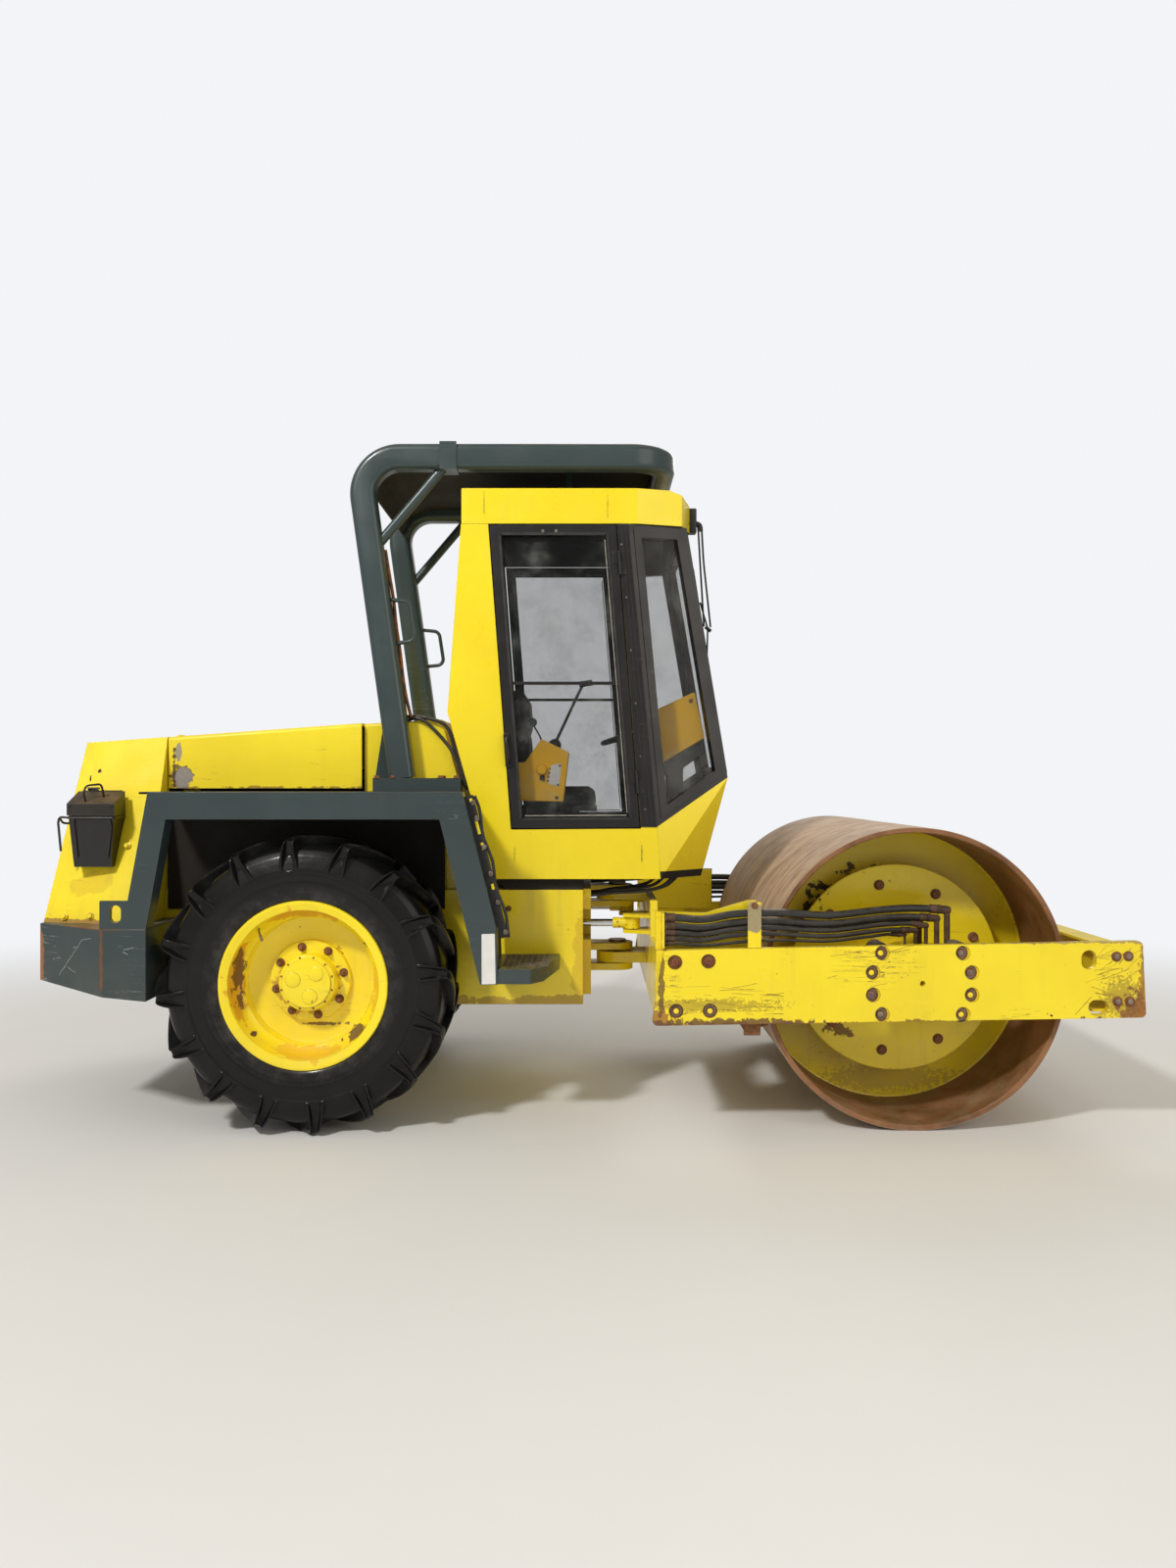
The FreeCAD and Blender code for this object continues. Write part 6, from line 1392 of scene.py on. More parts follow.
@dataclass
class RearFrame:
    """Frame, fenders, housing, hood and counterweight."""

    palette: Palette

    def build(self) -> None:
        """Dresses the nodes of the rear frame and adds their hardware."""
        self.painted_nodes()
        for node in ("steps", "rops_roof", "grab_handles"):
            thing = eased_copy(node, BODY_OF[node], self.palette.grey, 0.004)
            if node == "rops_roof":
                # Faces of the roof that look down wear near-black: painted shade under the roof.
                thing.data.materials.append(self.palette.shade_and_grime)
                for face in thing.data.polygons:
                    face.material_index = int(face.normal.z < -0.3)
        for node in ("seat_base", "steering_barrel_right", "steering_barrel_left"):
            eased_copy(node, BODY_OF[node], self.palette.black, 0.002)
        # The wheel arches wear near-black: painted shade inside the wheel wells, with some grime.
        eased_copy("wheel_arches", "rear_frame", self.palette.shade_and_grime, 0.003)
        eased_copy("rops_frame", "rear_frame", self.palette.grey_rops, 0.0)
        self.rods()
        self.toolbox()
        self.fenders()
        self.weight_marks()
        self.housing_bolts()
        self.cables()
        self.tail()

    def painted_nodes(self) -> None:
        """Painted pieces, each with the worn places of the photograph; the front end of the main frame also has painted
        shade.
        """
        bare = (0.30, 0.27, 0.25)
        make = self.palette.painted
        hood = make("hood_paint", (
            Patch((-2.124, -0.66, 1.744), (0.072, 0.12, 0.078), RUST_DARK, 0.35, 22.0, 0.9),
            Patch((-2.118, -0.66, 1.744), (0.062, 0.12, 0.068), bare, 0.30, 22.0, 1.0),
            Patch((-2.140, -0.64, 1.885), (0.020, 0.12, 0.050), bare, 0.45, 40.0, 0.9),
            Patch((-2.162, -0.66, 1.80), (0.010, 0.12, 0.12), RUST_DARK, 0.6, 45.0, 0.9),
            Patch((-1.60, -0.68, 1.694), (0.62, 0.1, 0.010), RUST, 0.8, 16.0, 0.7)), chips=0.12, low=0.0, coat=0.05, rough=0.5)
        housing = make("housing_paint", (
            Patch((-2.545, -0.66, 1.782), (0.011, 0.1, 0.011), RUST_DARK, 0.3, 60.0, 1.0),
            Patch((-2.590, -0.68, 1.742), (0.006, 0.1, 0.020), RUST_DARK, 0.3, 60.0, 1.0),
            Patch((-2.56, -0.90, 1.012), (0.32, 0.2, 0.014), RUST_LIGHT, 0.8, 18.0, 0.8),
            Patch((-2.52, -0.84, 1.20), (0.12, 0.1, 0.05), (0.62, 0.38, 0.02), 0.6, 8.0, 0.35)), chips=0.15, low=0.0, coat=0.0,
            rough=0.6)
        # The orange patch at the front end of the main frame is painted shade; the other patch is rust along the lower
        # edge.
        frame_paint = make("frame_paint", (
            Patch((-0.20, -0.60, 0.555), (0.8, 0.1, 0.03), RUST_LIGHT, 0.8, 12.0, 0.6),
            Patch((0.02, -0.45, 0.80), (0.08, 0.3, 0.30), (0.50, 0.22, 0.03), 0.4, 9.0, 0.35)),
            chips=0.35, runs=0.6, low=0.3, top=0.7)
        grey = Paint("weight_paint", GREY_TONE, 0.40, 0.15, chips=0.4, chip_colour=(0.17, 0.11, 0.07), runs=0.3,
                     edge=0.9, edge_colour=(0.20, 0.12, 0.07), top=0.6, low=0.25, scratch=1.0,
                     scratch_colour=(0.34, 0.35, 0.34), patches=(
                         Patch((-2.333, -1.13, 0.84), (0.0085, 0.03, 0.19), RUST, 0.9, 22.0, 0.9),
                         Patch((-2.333, 1.13, 0.84), (0.0085, 0.03, 0.19), RUST, 0.9, 22.0, 0.9),
                         Patch((-2.755, -0.88, 0.84), (0.030, 0.05, 0.22), RUST_LIGHT, 0.5, 18.0, 0.95),
                         Patch((-2.755, 0.88, 0.84), (0.030, 0.05, 0.22), RUST_LIGHT, 0.5, 18.0, 0.95),
                         Patch((-2.40, -1.08, 1.006), (0.20, 0.20, 0.007), RUST, 0.5, 26.0, 0.9),
                         Patch((-2.40, 1.08, 1.006), (0.20, 0.20, 0.007), RUST, 0.5, 26.0, 0.9))).make()
        for node, paint in (("hood", hood), ("rear_housing", housing), ("main_frame", frame_paint),
                            ("cowl", self.palette.yellow), ("counterweight", grey),
                            ("fender_frame_right", self.palette.grey), ("fender_frame_left", self.palette.grey)):
            eased_copy(node, BODY_OF[node], paint, 0.004)

    def rods(self) -> None:
        """Chrome steering rods with chipped yellow eyes."""
        for side in ("right", "left"):
            thing = eased_copy("steering_rod_" + side, "rod_" + side, self.palette.chrome, 0.0015)
            thing.data.materials.append(self.palette.worn_yellow)
            for face in thing.data.polygons:
                face.material_index = 1 if face.center.x > 0.172 else 0

    def toolbox(self) -> None:
        """Black box with rim band, bracket wire and the bent-wire handle of its lid."""
        for node, paint in (("toolbox", self.palette.black), ("toolbox_lid", self.palette.lid)):
            eased_copy(node, BODY_OF[node], paint, 0.003)
        pile = Pile()
        x0, x1, y, z = -2.604, -2.366, -0.884, 1.541
        pile.sweep(along_path(bent([(x1, -0.745, z), (x1, y, z), (x0, y, z), (x0, -0.745, z)], 0.012), 0.0055, 10))
        pile.sweep(along_path(bent([(x0, -0.86, z), (x0 - 0.045, -0.868, z + 0.004), (x0 - 0.052, -0.872, z - 0.02),
                                    (x0 - 0.035, -0.878, z - 0.17)], 0.02), 0.006, 10))
        pile.sweep(along_path(bent([(x0 - 0.004, -0.79, z - 0.03), (x0 - 0.05, -0.82, z - 0.03),
                                    (x0 - 0.045, -0.868, z - 0.002)], 0.02), 0.006, 10))
        for near in (x0 + 0.03, x1 - 0.03):
            outer = [(near, -0.8855, z), (near + (0.012 if near > -2.45 else 0.0), -0.8825, 1.50),
                     (near + (-0.012 if near > -2.45 else 0.012), -0.8715, 1.34)]
            strip(pile, bent(outer, 0.05), (0, -1, 0.08), 0.014, 0.002)
        settle(pile.solid("toolbox_band", [self.palette.black]), "rear_frame", Slot.BLACK)
        handle = Pile()
        grip = bent([(-2.520, -0.862, 1.622), (-2.522, -0.885, 1.668), (-2.515, -0.868, 1.705), (-2.452, -0.842, 1.712),
                     (-2.447, -0.832, 1.690), (-2.447, -0.812, 1.643)], 0.018)
        handle.sweep(along_path(grip, 0.0055, 12))
        for x, z_top in ((-2.592, 1.6), (-2.378, 1.6)):
            bolt(handle, (x, -0.8885, z_top), (0, -1, 0), 0.006, 0.004)
        settle(handle.solid("lid_handle", [self.palette.black]), "box_lid", Slot.BLACK)

    def fenders(self) -> None:
        """Blank white plates, guard strips with their clamps, and the steps' gratings, on both sides."""
        white, dark, gold, metal = Pile(), Pile(), Pile(), Pile()
        for way in (-1, 1):
            face = way * 1.130
            outline = rounded([(-0.4775, 0.737), (-0.4095, 0.739), (-0.4140, 0.984), (-0.4780, 0.982)], 0.004)
            plate(white, outline, side_place, face - way * 0.0004, face + way * 0.0012, 0.0004)
            top, foot = np.array([-0.548, way * 1.045, 1.655]), np.array([-0.372, way * 1.045, 0.955])
            line = top + (foot - top) * np.linspace(0, 1, 24)[:, None]
            strip(dark, line, (0, way, 0), 0.040, 0.012)
            for start, end in ((0.02, 0.06), (0.17, 0.27), (0.33, 0.38), (0.62, 0.66)):
                part = top + (foot - top) * np.linspace(start, end, 6)[:, None] + (0.006, way * 0.014, 0)
                strip(gold, part, (0, way, 0), 0.014, 0.004)
            for share in (0.05, 0.16, 0.36, 0.55, 0.75, 0.96):
                spot = top + (foot - top) * share + (0.012, way * 0.019, 0)
                bolt(metal, tuple(spot), (0, way, 0), 0.010, 0.008, spin=share * 9)
            cable = [tuple(top + (foot - top) * share + (0.028 + 0.008 * math.sin(share * 17), way * 0.004, 0))
                     for share in np.linspace(0, 1, 14)]
            dark.sweep(along_path(np.array(cable), 0.008, 10))
            for x in np.linspace(-0.39, -0.16, 9):
                reach = 1.118 if x < -0.25 else 1.118 - (x + 0.25) * 1.25
                rows = np.array([(x, way * y, 0.811) for y in np.linspace(0.64, reach, 16)])
                strip(metal, rows, (0, 0, 1), 0.005, 0.0025)
            for y in np.linspace(0.66, 1.02, 10):
                rows = np.array([(x, way * y, 0.811) for x in np.linspace(-0.392, -0.16, 8)])
                strip(metal, rows, (0, 0, 1), 0.005, 0.002)
        settle(white.solid("blank_plates", [self.palette.blank_white]), "rear_frame", Slot.GREY)
        settle(dark.solid("guard_strips", [self.palette.plastic]), "rear_frame", Slot.PLASTIC)
        settle(gold.solid("guard_clamps", [self.palette.worn_yellow]), "rear_frame", Slot.YELLOW)
        settle(metal.solid("step_gratings", [self.palette.steel]), "rear_frame", Slot.STEEL)

    def weight_marks(self) -> None:
        """Pale scratches on the side of the counterweight."""
        pile = Pile()
        rng = np.random.default_rng(7)
        normal = (-0.53, -0.848, 0)
        def on_side(x: float, z: float) -> tuple[float, float, float]:
            return (x, -(1.130 - (-2.330 - x) * 0.626) - 0.0006, z)
        for ends in (((-2.40, 0.955), (-2.455, 0.945)), ((-2.455, 0.945), (-2.53, 0.855)),
                     ((-2.53, 0.855), (-2.615, 0.755)), ((-2.555, 0.800), (-2.50, 0.775)),
                     ((-2.60, 0.845), (-2.66, 0.83)), ((-2.49, 0.905), (-2.52, 0.90))):
            share = np.linspace(0, 1, 12)
            line = [on_side(ends[0][0] + (ends[1][0] - ends[0][0]) * part + rng.normal(0, 0.0012),
                            ends[0][1] + (ends[1][1] - ends[0][1]) * part + rng.normal(0, 0.0018)) for part in share]
            strip(pile, np.array(line), normal, 0.0022, 0.0005)
        for ends in (((-2.22, 0.905), (-2.175, 0.915)), ((-2.225, 0.895), (-2.20, 0.882))):
            line = [(ends[0][0] + (ends[1][0] - ends[0][0]) * part, -1.1306,
                     ends[0][1] + (ends[1][1] - ends[0][1]) * part) for part in np.linspace(0, 1, 8)]
            strip(pile, np.array(line), (0, -1, 0), 0.0028, 0.0005)
        settle(pile.solid("weight_scratches", [self.palette.chalk]), "rear_frame", Slot.GREY)

    def housing_bolts(self) -> None:
        """Bolts near the foot of the housing on both sides and on the feet of the roll-over frame."""
        pile, grey = Pile(), Pile()
        for x, z in ((-2.632, 1.036), (-2.486, 1.040), (-2.335, 1.395)):
            x0, y0, z0 = housing_side(x, z, 0.006)
            for way in (-1, 1):
                bolt(pile, (x0, -way * y0, z0), (-0.18, way * 0.92, 0.31), 0.015, 0.010, spin=x * 9)
        for way in (-1, 1):
            bolt(grey, (-0.382, way * 0.6002, 1.051), (0, way, 0), 0.012, 0.010)
            for x in (-1.070, -0.985, -0.735, -0.650):
                bolt(grey, (x, way * (0.62 + 0.05), 1.744), (0, 0, 1), 0.016, 0.012, spin=x * 7)
                bolt(grey, (x, way * (0.62 - 0.04), 1.744), (0, 0, 1), 0.016, 0.012, spin=x * 5)
        settle(pile.solid("housing_bolts", [self.palette.worn_yellow]), "rear_frame", Slot.STEEL)
        settle(grey.solid("rops_bolts", [self.palette.rusty]), "rear_frame", Slot.STEEL)

    def cables(self) -> None:
        """Cables over the cowl, the taped line on the post and the hoses between the frames."""
        hose, taped = self.palette.hose, self.palette.taped
        rows = [
            ("cowl_cable_1", 0.010, hose, [(-0.93, -0.540, 2.075), (-0.863, -0.566, 2.075), (-0.804, -0.576, 2.062),
                                           (-0.727, -0.578, 2.039), (-0.690, -0.580, 1.982), (-0.657, -0.582, 1.833),
                                           (-0.622, -0.590, 1.720), (-0.600, -0.600, 1.690)]),
            ("cowl_cable_2", 0.009, hose, [(-0.93, -0.545, 2.050), (-0.894, -0.567, 2.070), (-0.826, -0.578, 2.051),
                                           (-0.737, -0.580, 1.959), (-0.675, -0.604, 1.880), (-0.640, -0.606, 1.800),
                                           (-0.612, -0.612, 1.700)]),
            ("post_line", 0.009, taped, [(-1.040, -0.585, 2.960), (-1.022, -0.580, 2.840), (-0.995, -0.588, 2.700),
                                         (-0.985, -0.580, 2.560), (-0.960, -0.588, 2.420), (-0.948, -0.580, 2.280),
                                         (-0.925, -0.588, 2.150), (-0.905, -0.570, 2.072)]),
        ]
        for index, (y, dip, front) in enumerate(((-0.50, 1.128, 0.40), (-0.42, 1.134, 0.36), (-0.36, 1.120, 0.44),
                                                 (-0.30, 1.132, 0.33), (0.36, 1.125, 0.42), (0.46, 1.130, 0.36))):
            rows.append(("nose_hose_%d" % (index + 1), 0.009, hose, [
                (0.016, y, 1.112), (0.090, y, 1.112), (0.170, y - 0.01, dip), (front - 0.10, y - 0.015, dip + 0.004),
                (front - 0.01, y - 0.01, dip + 0.016), (front + 0.060, y, 1.166), (front + 0.095, y, 1.2095)]))
        for name, radius, material, points in rows:
            thing = spline(name, np.array(points), radius, material)
            settle(thing, "rear_frame", Slot.HOSE)
            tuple(points[0])
            spline_length(np.array(points))

    def tail(self) -> None:
        """Rear lamps on the counterweight, and the latch and handle of the hood."""
        red, amber, metal = Pile(), Pile(), Pile()

        def rear_place(first: np.ndarray, second: np.ndarray, depth: np.ndarray) -> np.ndarray:
            return np.stack([-2.750 + 0.127 * (second - 1.005) - depth, first, second], axis=-1)

        for way in (-1, 1):
            for low, high, pile in ((0.60, 0.70, red), (0.705, 0.765, amber)):
                outline = rounded([(way * low, 1.055), (way * high, 1.055), (way * high, 1.125), (way * low, 1.125)], 0.01)
                plate(pile, outline, rear_place, -0.001, 0.0045, 0.002)
        for way in (-1, 1):
            path = bent([(-2.660, way * 0.10, 1.915), (-2.672, way * 0.10, 1.935), (-2.672, way * 0.04, 1.935)], 0.01)
            metal.sweep(along_path(path, 0.006, 10))
        settle(metal.solid("hood_catch", [self.palette.black]), "hood_lid", Slot.BLACK)
        settle(red.solid("tail_lamps", [self.palette.lamp]), "rear_frame", Slot.PLASTIC)
        settle(amber.solid("tail_blinkers", [self.palette.amber]), "rear_frame", Slot.PLASTIC)


def spline_length(points: np.ndarray) -> float:
    """Length of the clamped quadratic spline with these control points, summed over its pieces."""
    joints = np.vstack([points[:1], (points[1:-2] + points[2:-1]) / 2, points[-1:]])
    share = np.linspace(0, 1, 40)[:, None]
    total = 0.0
    for start, middle, end in zip(joints[:-1], points[1:-1], joints[1:]):
        curve = (1 - share) ** 2 * start + 2 * share * (1 - share) * middle + share ** 2 * end
        total += float(np.linalg.norm(np.diff(curve, axis=0), axis=1).sum())
    return total


def facet_normal(first: tuple, second: tuple, third: tuple) -> Vector:
    """Normal of a facet of the cab through three corners, its sideways part counted positive."""
    normal = (Vector(second) - Vector(first)).cross(Vector(third) - Vector(first)).normalized()
    return Vector((abs(normal.x), abs(normal.y), normal.z if normal.x > 0 else -normal.z))


QUARTER_NORMAL = facet_normal((0.405, 0.63, 1.485), (0.253, 0.63, 3.09), (0.795, 0.5, 1.748))
SCREEN_NORMAL = facet_normal((0.795, -0.5, 1.748), (0.795, 0.5, 1.748), (0.570, 0.5, 3.09))


@dataclass
class Seat:
    """Seat and back cushion, filled by a short cloth simulation and quilted along two lines."""

    palette: Palette
    voxel: float = 0.007
    reach: float = 0.024
    frames: int = 20

    def build(self) -> None:
        """Makes both cushions."""
        pan = Pile()
        block(pan, (-0.333, -0.222, 1.594), (0.088, 0.222, 1.684), 0.022)
        back = Pile()
        outline = rounded([(-0.364, 1.716), (-0.286, 1.716), (-0.322, 2.246), (-0.396, 2.246)], 0.022)
        plate(back, outline, side_place, -0.212, 0.212, 0.022)
        low, high = (-0.345, -0.235, 1.5905), (0.100, 0.235, 1.700)
        self.cushion("seat_pan", pan, low, high, 0.140, 2)
        self.cushion("seat_back", back, (-0.4156, -0.225, 1.706), (-0.270, 0.225, 2.260), 0.135, 0)

    def cushion(self, name: str, pile: Pile, low: tuple, high: tuple, quilt: float, facing: int) -> None:
        """Args:
            name: name of the piece.
            pile: its slack shape.
            low: lower corner of the room that it may fill.
            high: upper corner of that room.
            quilt: distance of the quilting lines from the middle.
            facing: axis that the quilted face looks along.
        """
        thing = pile.solid(name, [self.palette.fabric], 60)
        self.bake(thing, self.remeshed(thing))
        start = np.array([tuple(point.co) for point in thing.data.vertices])
        self.fill(thing, start, quilt, facing)
        points = np.array([tuple(point.co) for point in thing.data.vertices])
        shift = points - start
        length = np.linalg.norm(shift, axis=1)[:, None]
        points = start + shift * np.minimum(1.0, self.reach / np.maximum(length, 1e-9))
        points = np.clip(points, low, high)
        thing.data.vertices.foreach_set("co", points.ravel())
        smooth = thing.modifiers.new("rounder", "SUBSURF")
        smooth.levels = smooth.render_levels = 1
        self.bake(thing, smooth)
        points = np.clip(np.array([tuple(point.co) for point in thing.data.vertices]), low, high)
        thing.data.vertices.foreach_set("co", points.ravel())
        thing.data.polygons.foreach_set("use_smooth", [True] * len(thing.data.polygons))
        settle(thing, "rear_frame", Slot.SEAT, "seat_cushions")

    def remeshed(self, thing: bpy.types.Object) -> bpy.types.Modifier:
        """Even grid of faces over the whole piece."""
        grid = thing.modifiers.new("grid", "REMESH")
        grid.mode = "VOXEL"
        grid.voxel_size = self.voxel
        return grid

    def fill(self, thing: bpy.types.Object, start: np.ndarray, quilt: float, facing: int) -> None:
        """Runs the cloth with air inside, its quilting lines and its underside held."""
        held = thing.vertex_groups.new(name="held")
        face = start[:, facing] > np.quantile(start[:, facing], 0.80)
        lines = face & (np.abs(np.abs(start[:, 1]) - quilt) < self.voxel * 0.6)
        under = start[:, facing] < start[:, facing].min() + 0.004
        held.add([int(index) for index in np.flatnonzero(lines | under)], 1.0, "REPLACE")
        cloth = thing.modifiers.new("air", "CLOTH")
        cloth.settings.quality = 6
        cloth.settings.use_pressure = True
        cloth.settings.uniform_pressure_force = 4.0
        cloth.settings.vertex_group_mass = "held"
        cloth.settings.effector_weights.gravity = 0.0
        cloth.point_cache.frame_end = self.frames
        for number in range(1, self.frames + 1):
            bpy.context.scene.frame_set(number)
        self.bake(thing, cloth)

    @staticmethod
    def bake(thing: bpy.types.Object, modifier: bpy.types.Modifier) -> None:
        """Keeps a modifier's result as the mesh of the piece."""
        seen = thing.evaluated_get(bpy.context.evaluated_depsgraph_get())
        mesh = bpy.data.meshes.new_from_object(seen)
        thing.modifiers.remove(modifier)
        thing.data = mesh


@dataclass
class Cab:
    """Cab shell, doors, glass and what shows inside."""

    palette: Palette

    def build(self) -> None:
        """Dresses the cab."""
        self.shell()
        for node in ("window_frames", "door_frame_right", "door_frame_left"):
            eased_copy(node, BODY_OF[node], self.palette.black, 0.002)
        # The cab floor wears the same near-black: painted shade, with some grime.
        eased_copy("cab_floor", "rear_frame", self.palette.shade_and_grime, 0.002)
        self.seals()
        self.wiper()
        self.console()
        self.pod()
        self.wheel()
        Seat(self.palette).build()

    def shell(self) -> None:
        """Cab walls: yellow outside, dark lining on the faces that look at the middle."""
        for node in CAB_NODES:
            patches = ()
            if node == "cab_side_right":
                patches = (Patch((0.325, -0.63, 1.345), (0.003, 0.05, 0.050), RUST_DARK, 0.7, 50.0, 0.8),
                           Patch((-0.349, -0.63, 1.345), (0.002, 0.05, 0.048), RUST_DARK, 0.9, 50.0, 0.6))
            if node == "cab_roof":
                patches = tuple(Patch((x, way * 0.63, 3.19), (0.0022, 0.05, 0.062), RUST_DARK, 0.8, 50.0, 0.75)
                                for x in (-0.510, 0.144) for way in (-1, 1))
            paint = self.palette.painted(node + "_paint", patches, chips=0.06, edge=0.35, runs=0.12, low=0.0, top=0.3,
                                         scratch=0.1)
            thing = eased_copy(node, BODY_OF[node], paint, 0.004)
            for finish in (self.palette.lining, self.palette.black):
                thing.data.materials.append(finish)
            self.part_facets(thing.data)
            for face in thing.data.polygons:
                away = (face.center - CAB_MIDDLE).normalized()
                glazed = Vector((face.normal.x, abs(face.normal.y), face.normal.z))
                if face.normal.dot(away) < 0.12 and face.center.z > 1.23:
                    face.material_index = 1
                elif glazed.dot(SCREEN_NORMAL) > 0.995 or (glazed.dot(QUARTER_NORMAL) > 0.995 and 3.09 > face.center.z
                                                           > 1.485 + 0.674 * (face.center.x - 0.405)):
                    face.material_index = 2

    @staticmethod
    def part_facets(mesh: bpy.types.Mesh) -> None:
        """Cuts the facets beside the windscreen along the line where their black part ends."""
        work = bmesh.new()
        work.from_mesh(mesh)
        for way in (-1, 1):
            foot, corner = Vector((0.405, way * 0.63, 1.485)), Vector((0.795, way * 0.5, 1.748))
            normal = Vector((QUARTER_NORMAL.x, way * QUARTER_NORMAL.y, QUARTER_NORMAL.z))
            faces = [face for face in work.faces if face.normal.dot(normal) > 0.99]
            if faces:
                parts = set(faces) | {edge for face in faces for edge in face.edges}
                parts |= {vert for face in faces for vert in face.verts}
                bmesh.ops.bisect_plane(work, geom=list(parts), dist=1e-5, plane_co=foot,
                                       plane_no=(corner - foot).cross(normal).normalized())
        work.to_mesh(mesh)
        work.free()

    def seals(self) -> None:
        """Rubber beads and pale inner edges round the door glass, rivets and grooves on the pillar."""
        dark, pale, metal = Pile(), Pile(), Pile()
        for way in (-1, 1):
            face = way * 0.640
            inner = [(-0.428, 3.035), (0.141, 3.035), (0.264, 1.531), (-0.314, 1.527)]
            loop = np.array(inner + inner[:1])
            ring = np.insert(loop, 1, face, axis=1)
            body = "door_right" if way < 0 else "door_left"
            for start, end in zip(ring[:-1], ring[1:]):
                line = start + (end - start) * np.linspace(0, 1, 6)[:, None]
                strip(dark, line, (0, way, 0), 0.014, 0.004)
            inside = np.array([(-0.412, 3.020), (0.127, 3.020), (0.248, 1.548), (-0.300, 1.545)])
            ring = np.insert(np.vstack([inside, inside[:1]]), 1, way * 0.630, axis=1)
            for start, end in zip(ring[1:3], ring[2:4]):
                line = start + (end - start) * np.linspace(0.01, 0.99, 6)[:, None]
                strip(pale, line, (0, way, 0), 0.005, 0.002)
            latch = rounded([(-0.395, 1.80), (-0.360, 1.80), (-0.375, 1.98), (-0.408, 1.98)], 0.01)
            plate(metal, latch, side_place, way * 0.638, way * 0.650, 0.003)
            grip = bent([(-0.376, way * 0.648, 1.825), (-0.376, way * 0.690, 1.835), (-0.388, way * 0.692, 1.945),
                         (-0.390, way * 0.648, 1.955)], 0.02)
            metal.sweep(along_path(grip, 0.008, 12))
            settle(dark.solid("door_bead_" + body[5:], [self.palette.plastic]), body, Slot.BLACK)
            settle(pale.solid("door_edge_" + body[5:], [self.palette.zinc]), body, Slot.BLACK)
            settle(metal.solid("door_handle_" + body[5:], [self.palette.black]), body, Slot.BLACK)
            dark, pale, metal = Pile(), Pile(), Pile()
        for way in (-1, 1):
            for x in (-0.199, -0.129):
                bolt(metal, (x, way * 0.6385, 3.050), (0, way, 0), 0.009, 0.004, washer=False)
            for z in np.linspace(1.58, 2.98, 6):
                share = (z - 1.485) / 1.605
                x = 0.352 - 0.145 * share
                bolt(metal, (x, way * 0.635, z), (0, way, 0), 0.006, 0.003, washer=False)
            for offset in (0.026, 0.052):
                top, foot = np.array([0.196 + offset * 0.8, way * 0.6352, 3.07]), np.array([0.326 + offset, way * 0.6352, 1.50])
                strip(dark, top + (foot - top) * np.linspace(0, 1, 8)[:, None], (0, way, 0), 0.004, 0.003)
        settle(metal.solid("pillar_rivets", [self.palette.steel]), "rear_frame", Slot.BLACK)
        settle(dark.solid("pillar_beads", [self.palette.plastic]), "rear_frame", Slot.BLACK)

    def wiper(self) -> None:
        """Wiper motor under the eave with its double arm and the blade on the windscreen."""
        pile = Pile()
        y = -0.33
        block(pile, (0.590, y - 0.035, 3.100), (0.640, y + 0.035, 3.235), 0.008)
        pile.sweep(along_path(bent([(0.615, y, 3.16), (0.660, y, 3.150), (0.662, y, 3.115)], 0.02), 0.016, 16))
        for shift, start_x in ((-0.012, 0.650), (0.014, 0.672)):
            pile.sweep(along_path(bent([(start_x, y + shift, 3.130), (start_x + 0.010, y + shift, 2.95),
                                        (0.700 + shift * 1.5, y + shift, 2.585)], 0.05), 0.0055, 10))
        pile.sweep(along_path(np.array([(0.690, y, 2.585), (0.722, y, 2.560)]), 0.010, 12))
        for part in (((0.704, y, 2.575), (0.662, y, 2.72)), ((0.704, y, 2.575), (0.700, y, 2.42))):
            pile.sweep(along_path(np.array(part), 0.005, 10))
        blade = [(0.612 + 0.008, y, 2.905), (0.652, y, 2.70), (0.672, y, 2.56), (0.700, y, 2.40), (0.733, y, 2.205)]
        strip(pile, bent(blade, 0.08), (0, 1, 0), 0.016, 0.005)
        settle(pile.solid("wiper", [self.palette.plastic]), "rear_frame", Slot.PLASTIC)

    def console(self) -> None:
        """Operator's console with its blank plate, knob, screws and levers."""
        box = eased_copy("operator_console", "rear_frame", self.palette.console, 0.006)
        box.data.materials.append(self.palette.plastic)
        for face in box.data.polygons:
            face.material_index = 1 if face.center.z < 1.612 or face.normal.x < -0.9 else 0
        face = -0.520
        plates, knob, dark = Pile(), Pile(), Pile()
        corners = [(-0.161, 1.813), (-0.103, 1.824), (-0.114, 1.698), (-0.177, 1.715)]
        plate(plates, rounded(corners, 0.008), side_place, face + 0.0004, face - 0.0015, 0.0005)
        for index in range(4):
            spot = (-0.165 - 0.0035 * index, face - 0.0014, 1.795 - 0.022 * index)
            dark.grid(lathe([(0.0, 0.002), (0.004, 0.0018), (0.005, 0.0)], spot, (0, -1, 0), 12), wrap_columns=True)
        for spot in ((-0.112, 1.812), (-0.122, 1.708)):
            bolt(dark, (spot[0], face - 0.0014, spot[1]), (0, -1, 0), 0.006, 0.003, washer=False)
        bolt(dark, (-0.129, face, 1.639), (0, -1, 0), 0.010, 0.005, washer=False)
        profile = [(0.0, 0.030), (0.022, 0.029), (0.027, 0.024), (0.029, 0.010), (0.031, 0.006), (0.031, 0.0)]
        knob.grid(lathe(profile, (-0.209, face, 1.790), (0, -1, 0), 40), wrap_columns=True)
        pointer = rounded([(-0.222, 1.735), (-0.192, 1.728), (-0.196, 1.768), (-0.214, 1.768)], 0.004)
        plate(dark, pointer, side_place, face + 0.0004, face - 0.006, 0.001)
        dark.sweep(along_path(bent([(-0.205, -0.455, 1.93), (-0.225, -0.455, 1.98), (-0.258, -0.455, 2.035)], 0.02), 0.005, 12))
        ball = [(0.025 * math.sin(turn), -0.025 * math.cos(turn)) for turn in np.linspace(0.0, math.pi, 15)]
        dark.grid(lathe(ball, (-0.262, -0.455, 2.048), (0, 0, 1), 28), wrap_columns=True)
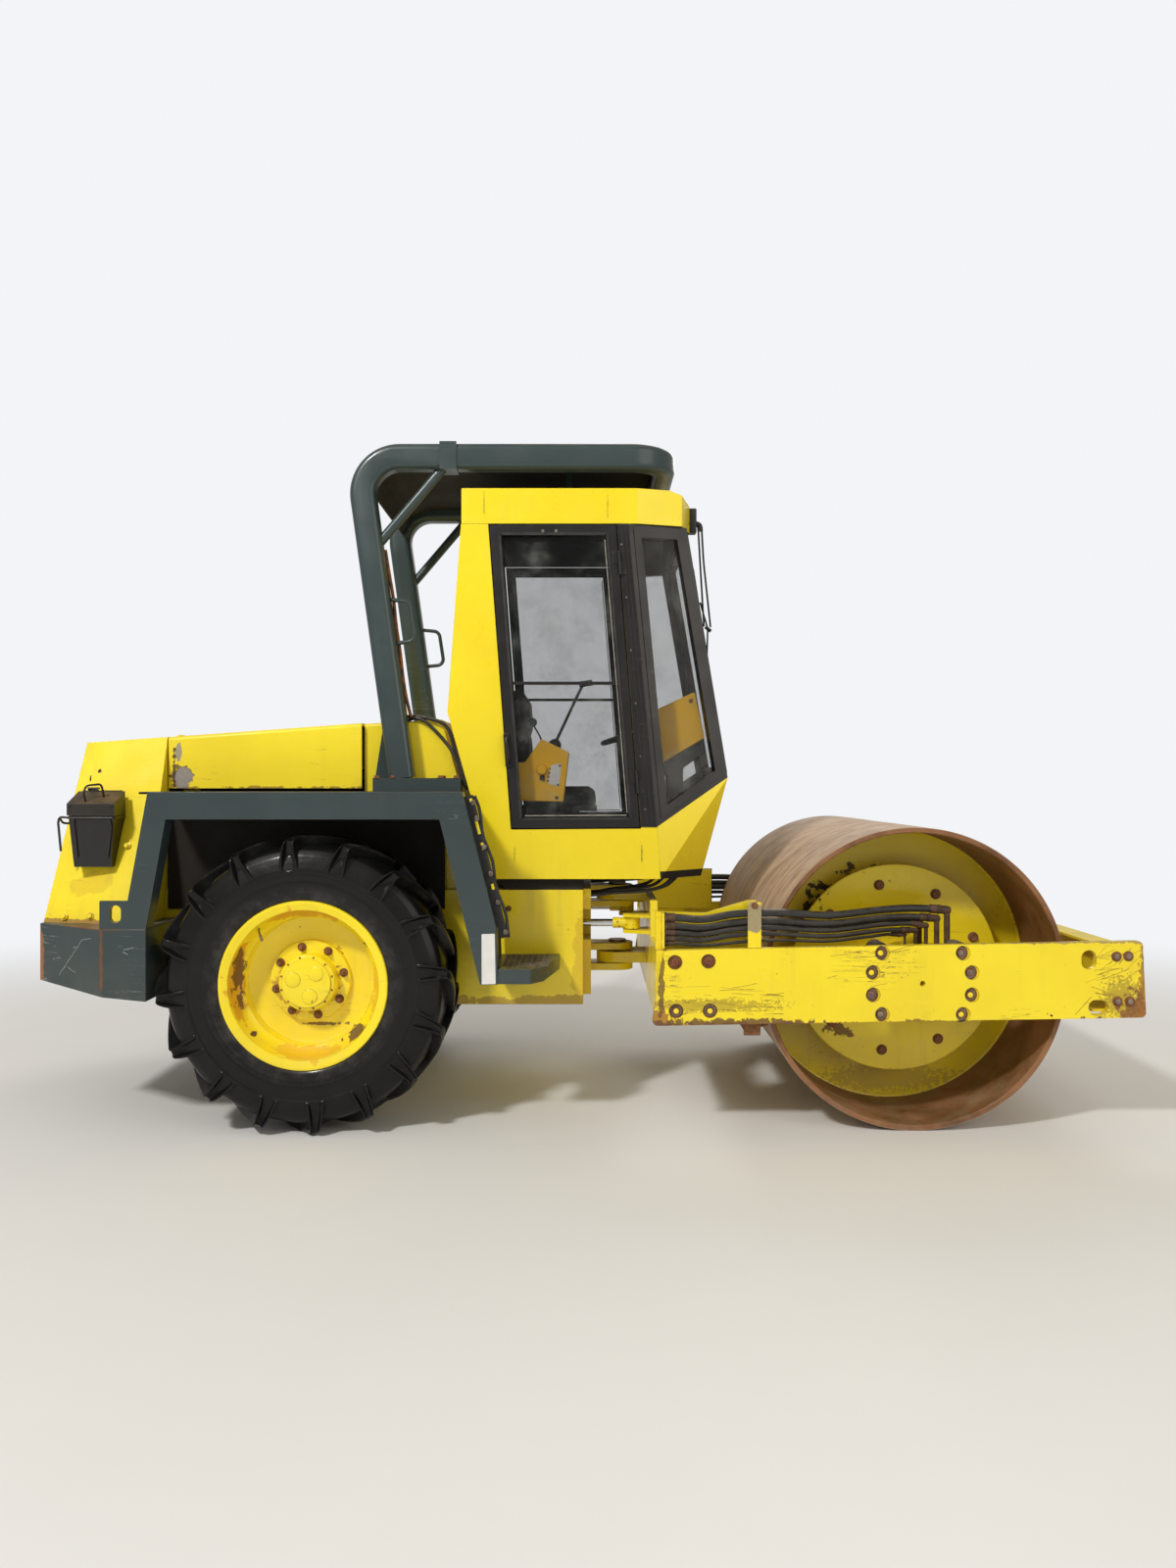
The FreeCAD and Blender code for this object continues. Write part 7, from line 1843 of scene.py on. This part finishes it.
        dark.sweep(along_path(bent([(-0.150, -0.440, 1.915), (-0.120, -0.440, 1.975), (-0.020, -0.440, 2.190),
                                    (0.012, -0.440, 2.254)], 0.04), 0.008, 14))
        dark.sweep(along_path(np.array([(-0.008, -0.440, 2.256), (0.064, -0.440, 2.266)]), 0.016, 18))
        boot = [(0.045, 0.0), (0.040, 0.012), (0.042, 0.016), (0.033, 0.028), (0.035, 0.032), (0.022, 0.048), (0.010, 0.056)]
        dark.grid(lathe(boot, (-0.150, -0.440, 1.905), (0.42, 0, 0.9), 32), wrap_columns=True)
        settle(plates.solid("console_plate", [self.palette.blank_white]), "rear_frame", Slot.CONSOLE)
        settle(knob.solid("console_knob", [self.palette.console]), "rear_frame", Slot.CONSOLE)
        settle(dark.solid("console_controls", [self.palette.plastic]), "rear_frame", Slot.PLASTIC)

    def pod(self) -> None:
        """Instrument pod at the front right on its dark stand."""
        body, dark = Pile(), Pile()
        corners = [(0.396, 2.110), (0.622, 2.216), (0.675, 1.962), (0.431, 1.821)]
        plate(body, rounded(corners, 0.012), side_place, -0.450, -0.270, 0.004)
        bolt(body, (0.600, -0.450, 2.165), (0, -1, 0), 0.009, 0.004, mark=1)
        stand = [(0.440, 1.830), (0.664, 1.960), (0.672, 1.880), (0.560, 1.800), (0.560, 1.252), (0.480, 1.252),
                 (0.470, 1.760), (0.446, 1.770)]
        plate(dark, rounded(stand, 0.01), side_place, -0.430, -0.290, 0.004)
        settle(body.solid("instrument_pod", [self.palette.console, self.palette.rusty]), "rear_frame", Slot.CONSOLE)
        settle(dark.solid("pod_stand", [self.palette.plastic]), "rear_frame", Slot.PLASTIC)

    def wheel(self) -> None:
        """Steering wheel with a grooved rim, three flat spokes and a hub cap."""
        foot, head = np.array([0.560, 0.0, 1.250]), np.array([0.330, 0.0, 1.990])
        along = unit(head - foot)
        centre = head + along * 0.022
        first, second, _ = frame_about(along)
        turn = np.linspace(0, TURN, 96, endpoint=False)
        around = np.linspace(0, TURN, 14, endpoint=False)
        aim = np.cos(turn)[:, None] * first + np.sin(turn)[:, None] * second
        grip = 0.0142 * (1 - 0.05 * (np.cos(turn * 24) > 0.2))[:, None, None]
        ring = centre + aim[:, None] * 0.205 + grip * (
            np.cos(around)[None, :, None] * aim[:, None] + np.sin(around)[None, :, None] * along)
        pile = Pile()
        pile.grid(ring, wrap_rows=True, wrap_columns=True)
        for index in range(3):
            angle = TURN * index / 3 + 0.5
            way = math.cos(angle) * first + math.sin(angle) * second
            line = centre + way * np.linspace(0.02, 0.200, 8)[:, None] - along * np.array(
                [0.0, 0.004, 0.007, 0.008, 0.008, 0.007, 0.004, 0.0])[:, None]
            strip(pile, line, tuple(along), 0.034, 0.005)
        cap = [(0.0, 0.046), (0.030, 0.044), (0.042, 0.036), (0.046, 0.022), (0.044, 0.008), (0.034, 0.0005), (0.0, 0.0005)]
        pile.grid(lathe(cap, head, along, 40), wrap_columns=True)
        settle(pile.solid("wheel_rim", [self.palette.plastic]), "hand_wheel", Slot.PLASTIC, "steering_wheel")


def dress_rest() -> None:
    """Gives every CAD node that still shows the finish of its slot."""
    for node, thing in frame["nodes"].items():
        thing.data.materials.clear()
        thing.data.materials.append(PALETTE.by_slot[SLOT_OF[node]])


PALETTE: Palette


def main() -> None:
    """Builds every sub-assembly in order."""
    global PALETTE
    logging.basicConfig(level=logging.INFO, format="%(name)s: %(message)s")
    PALETTE = Palette()
    Studio().build()
    dress_rest()
    Drum(PALETTE).build()
    for side in ("right", "left"):
        Wheel(PALETTE, side).build()
    FrontFrame(PALETTE).build()
    Hoses(PALETTE).build()
    RearFrame(PALETTE).build()
    Cab(PALETTE).build()


if __name__ == "__main__":
    main()
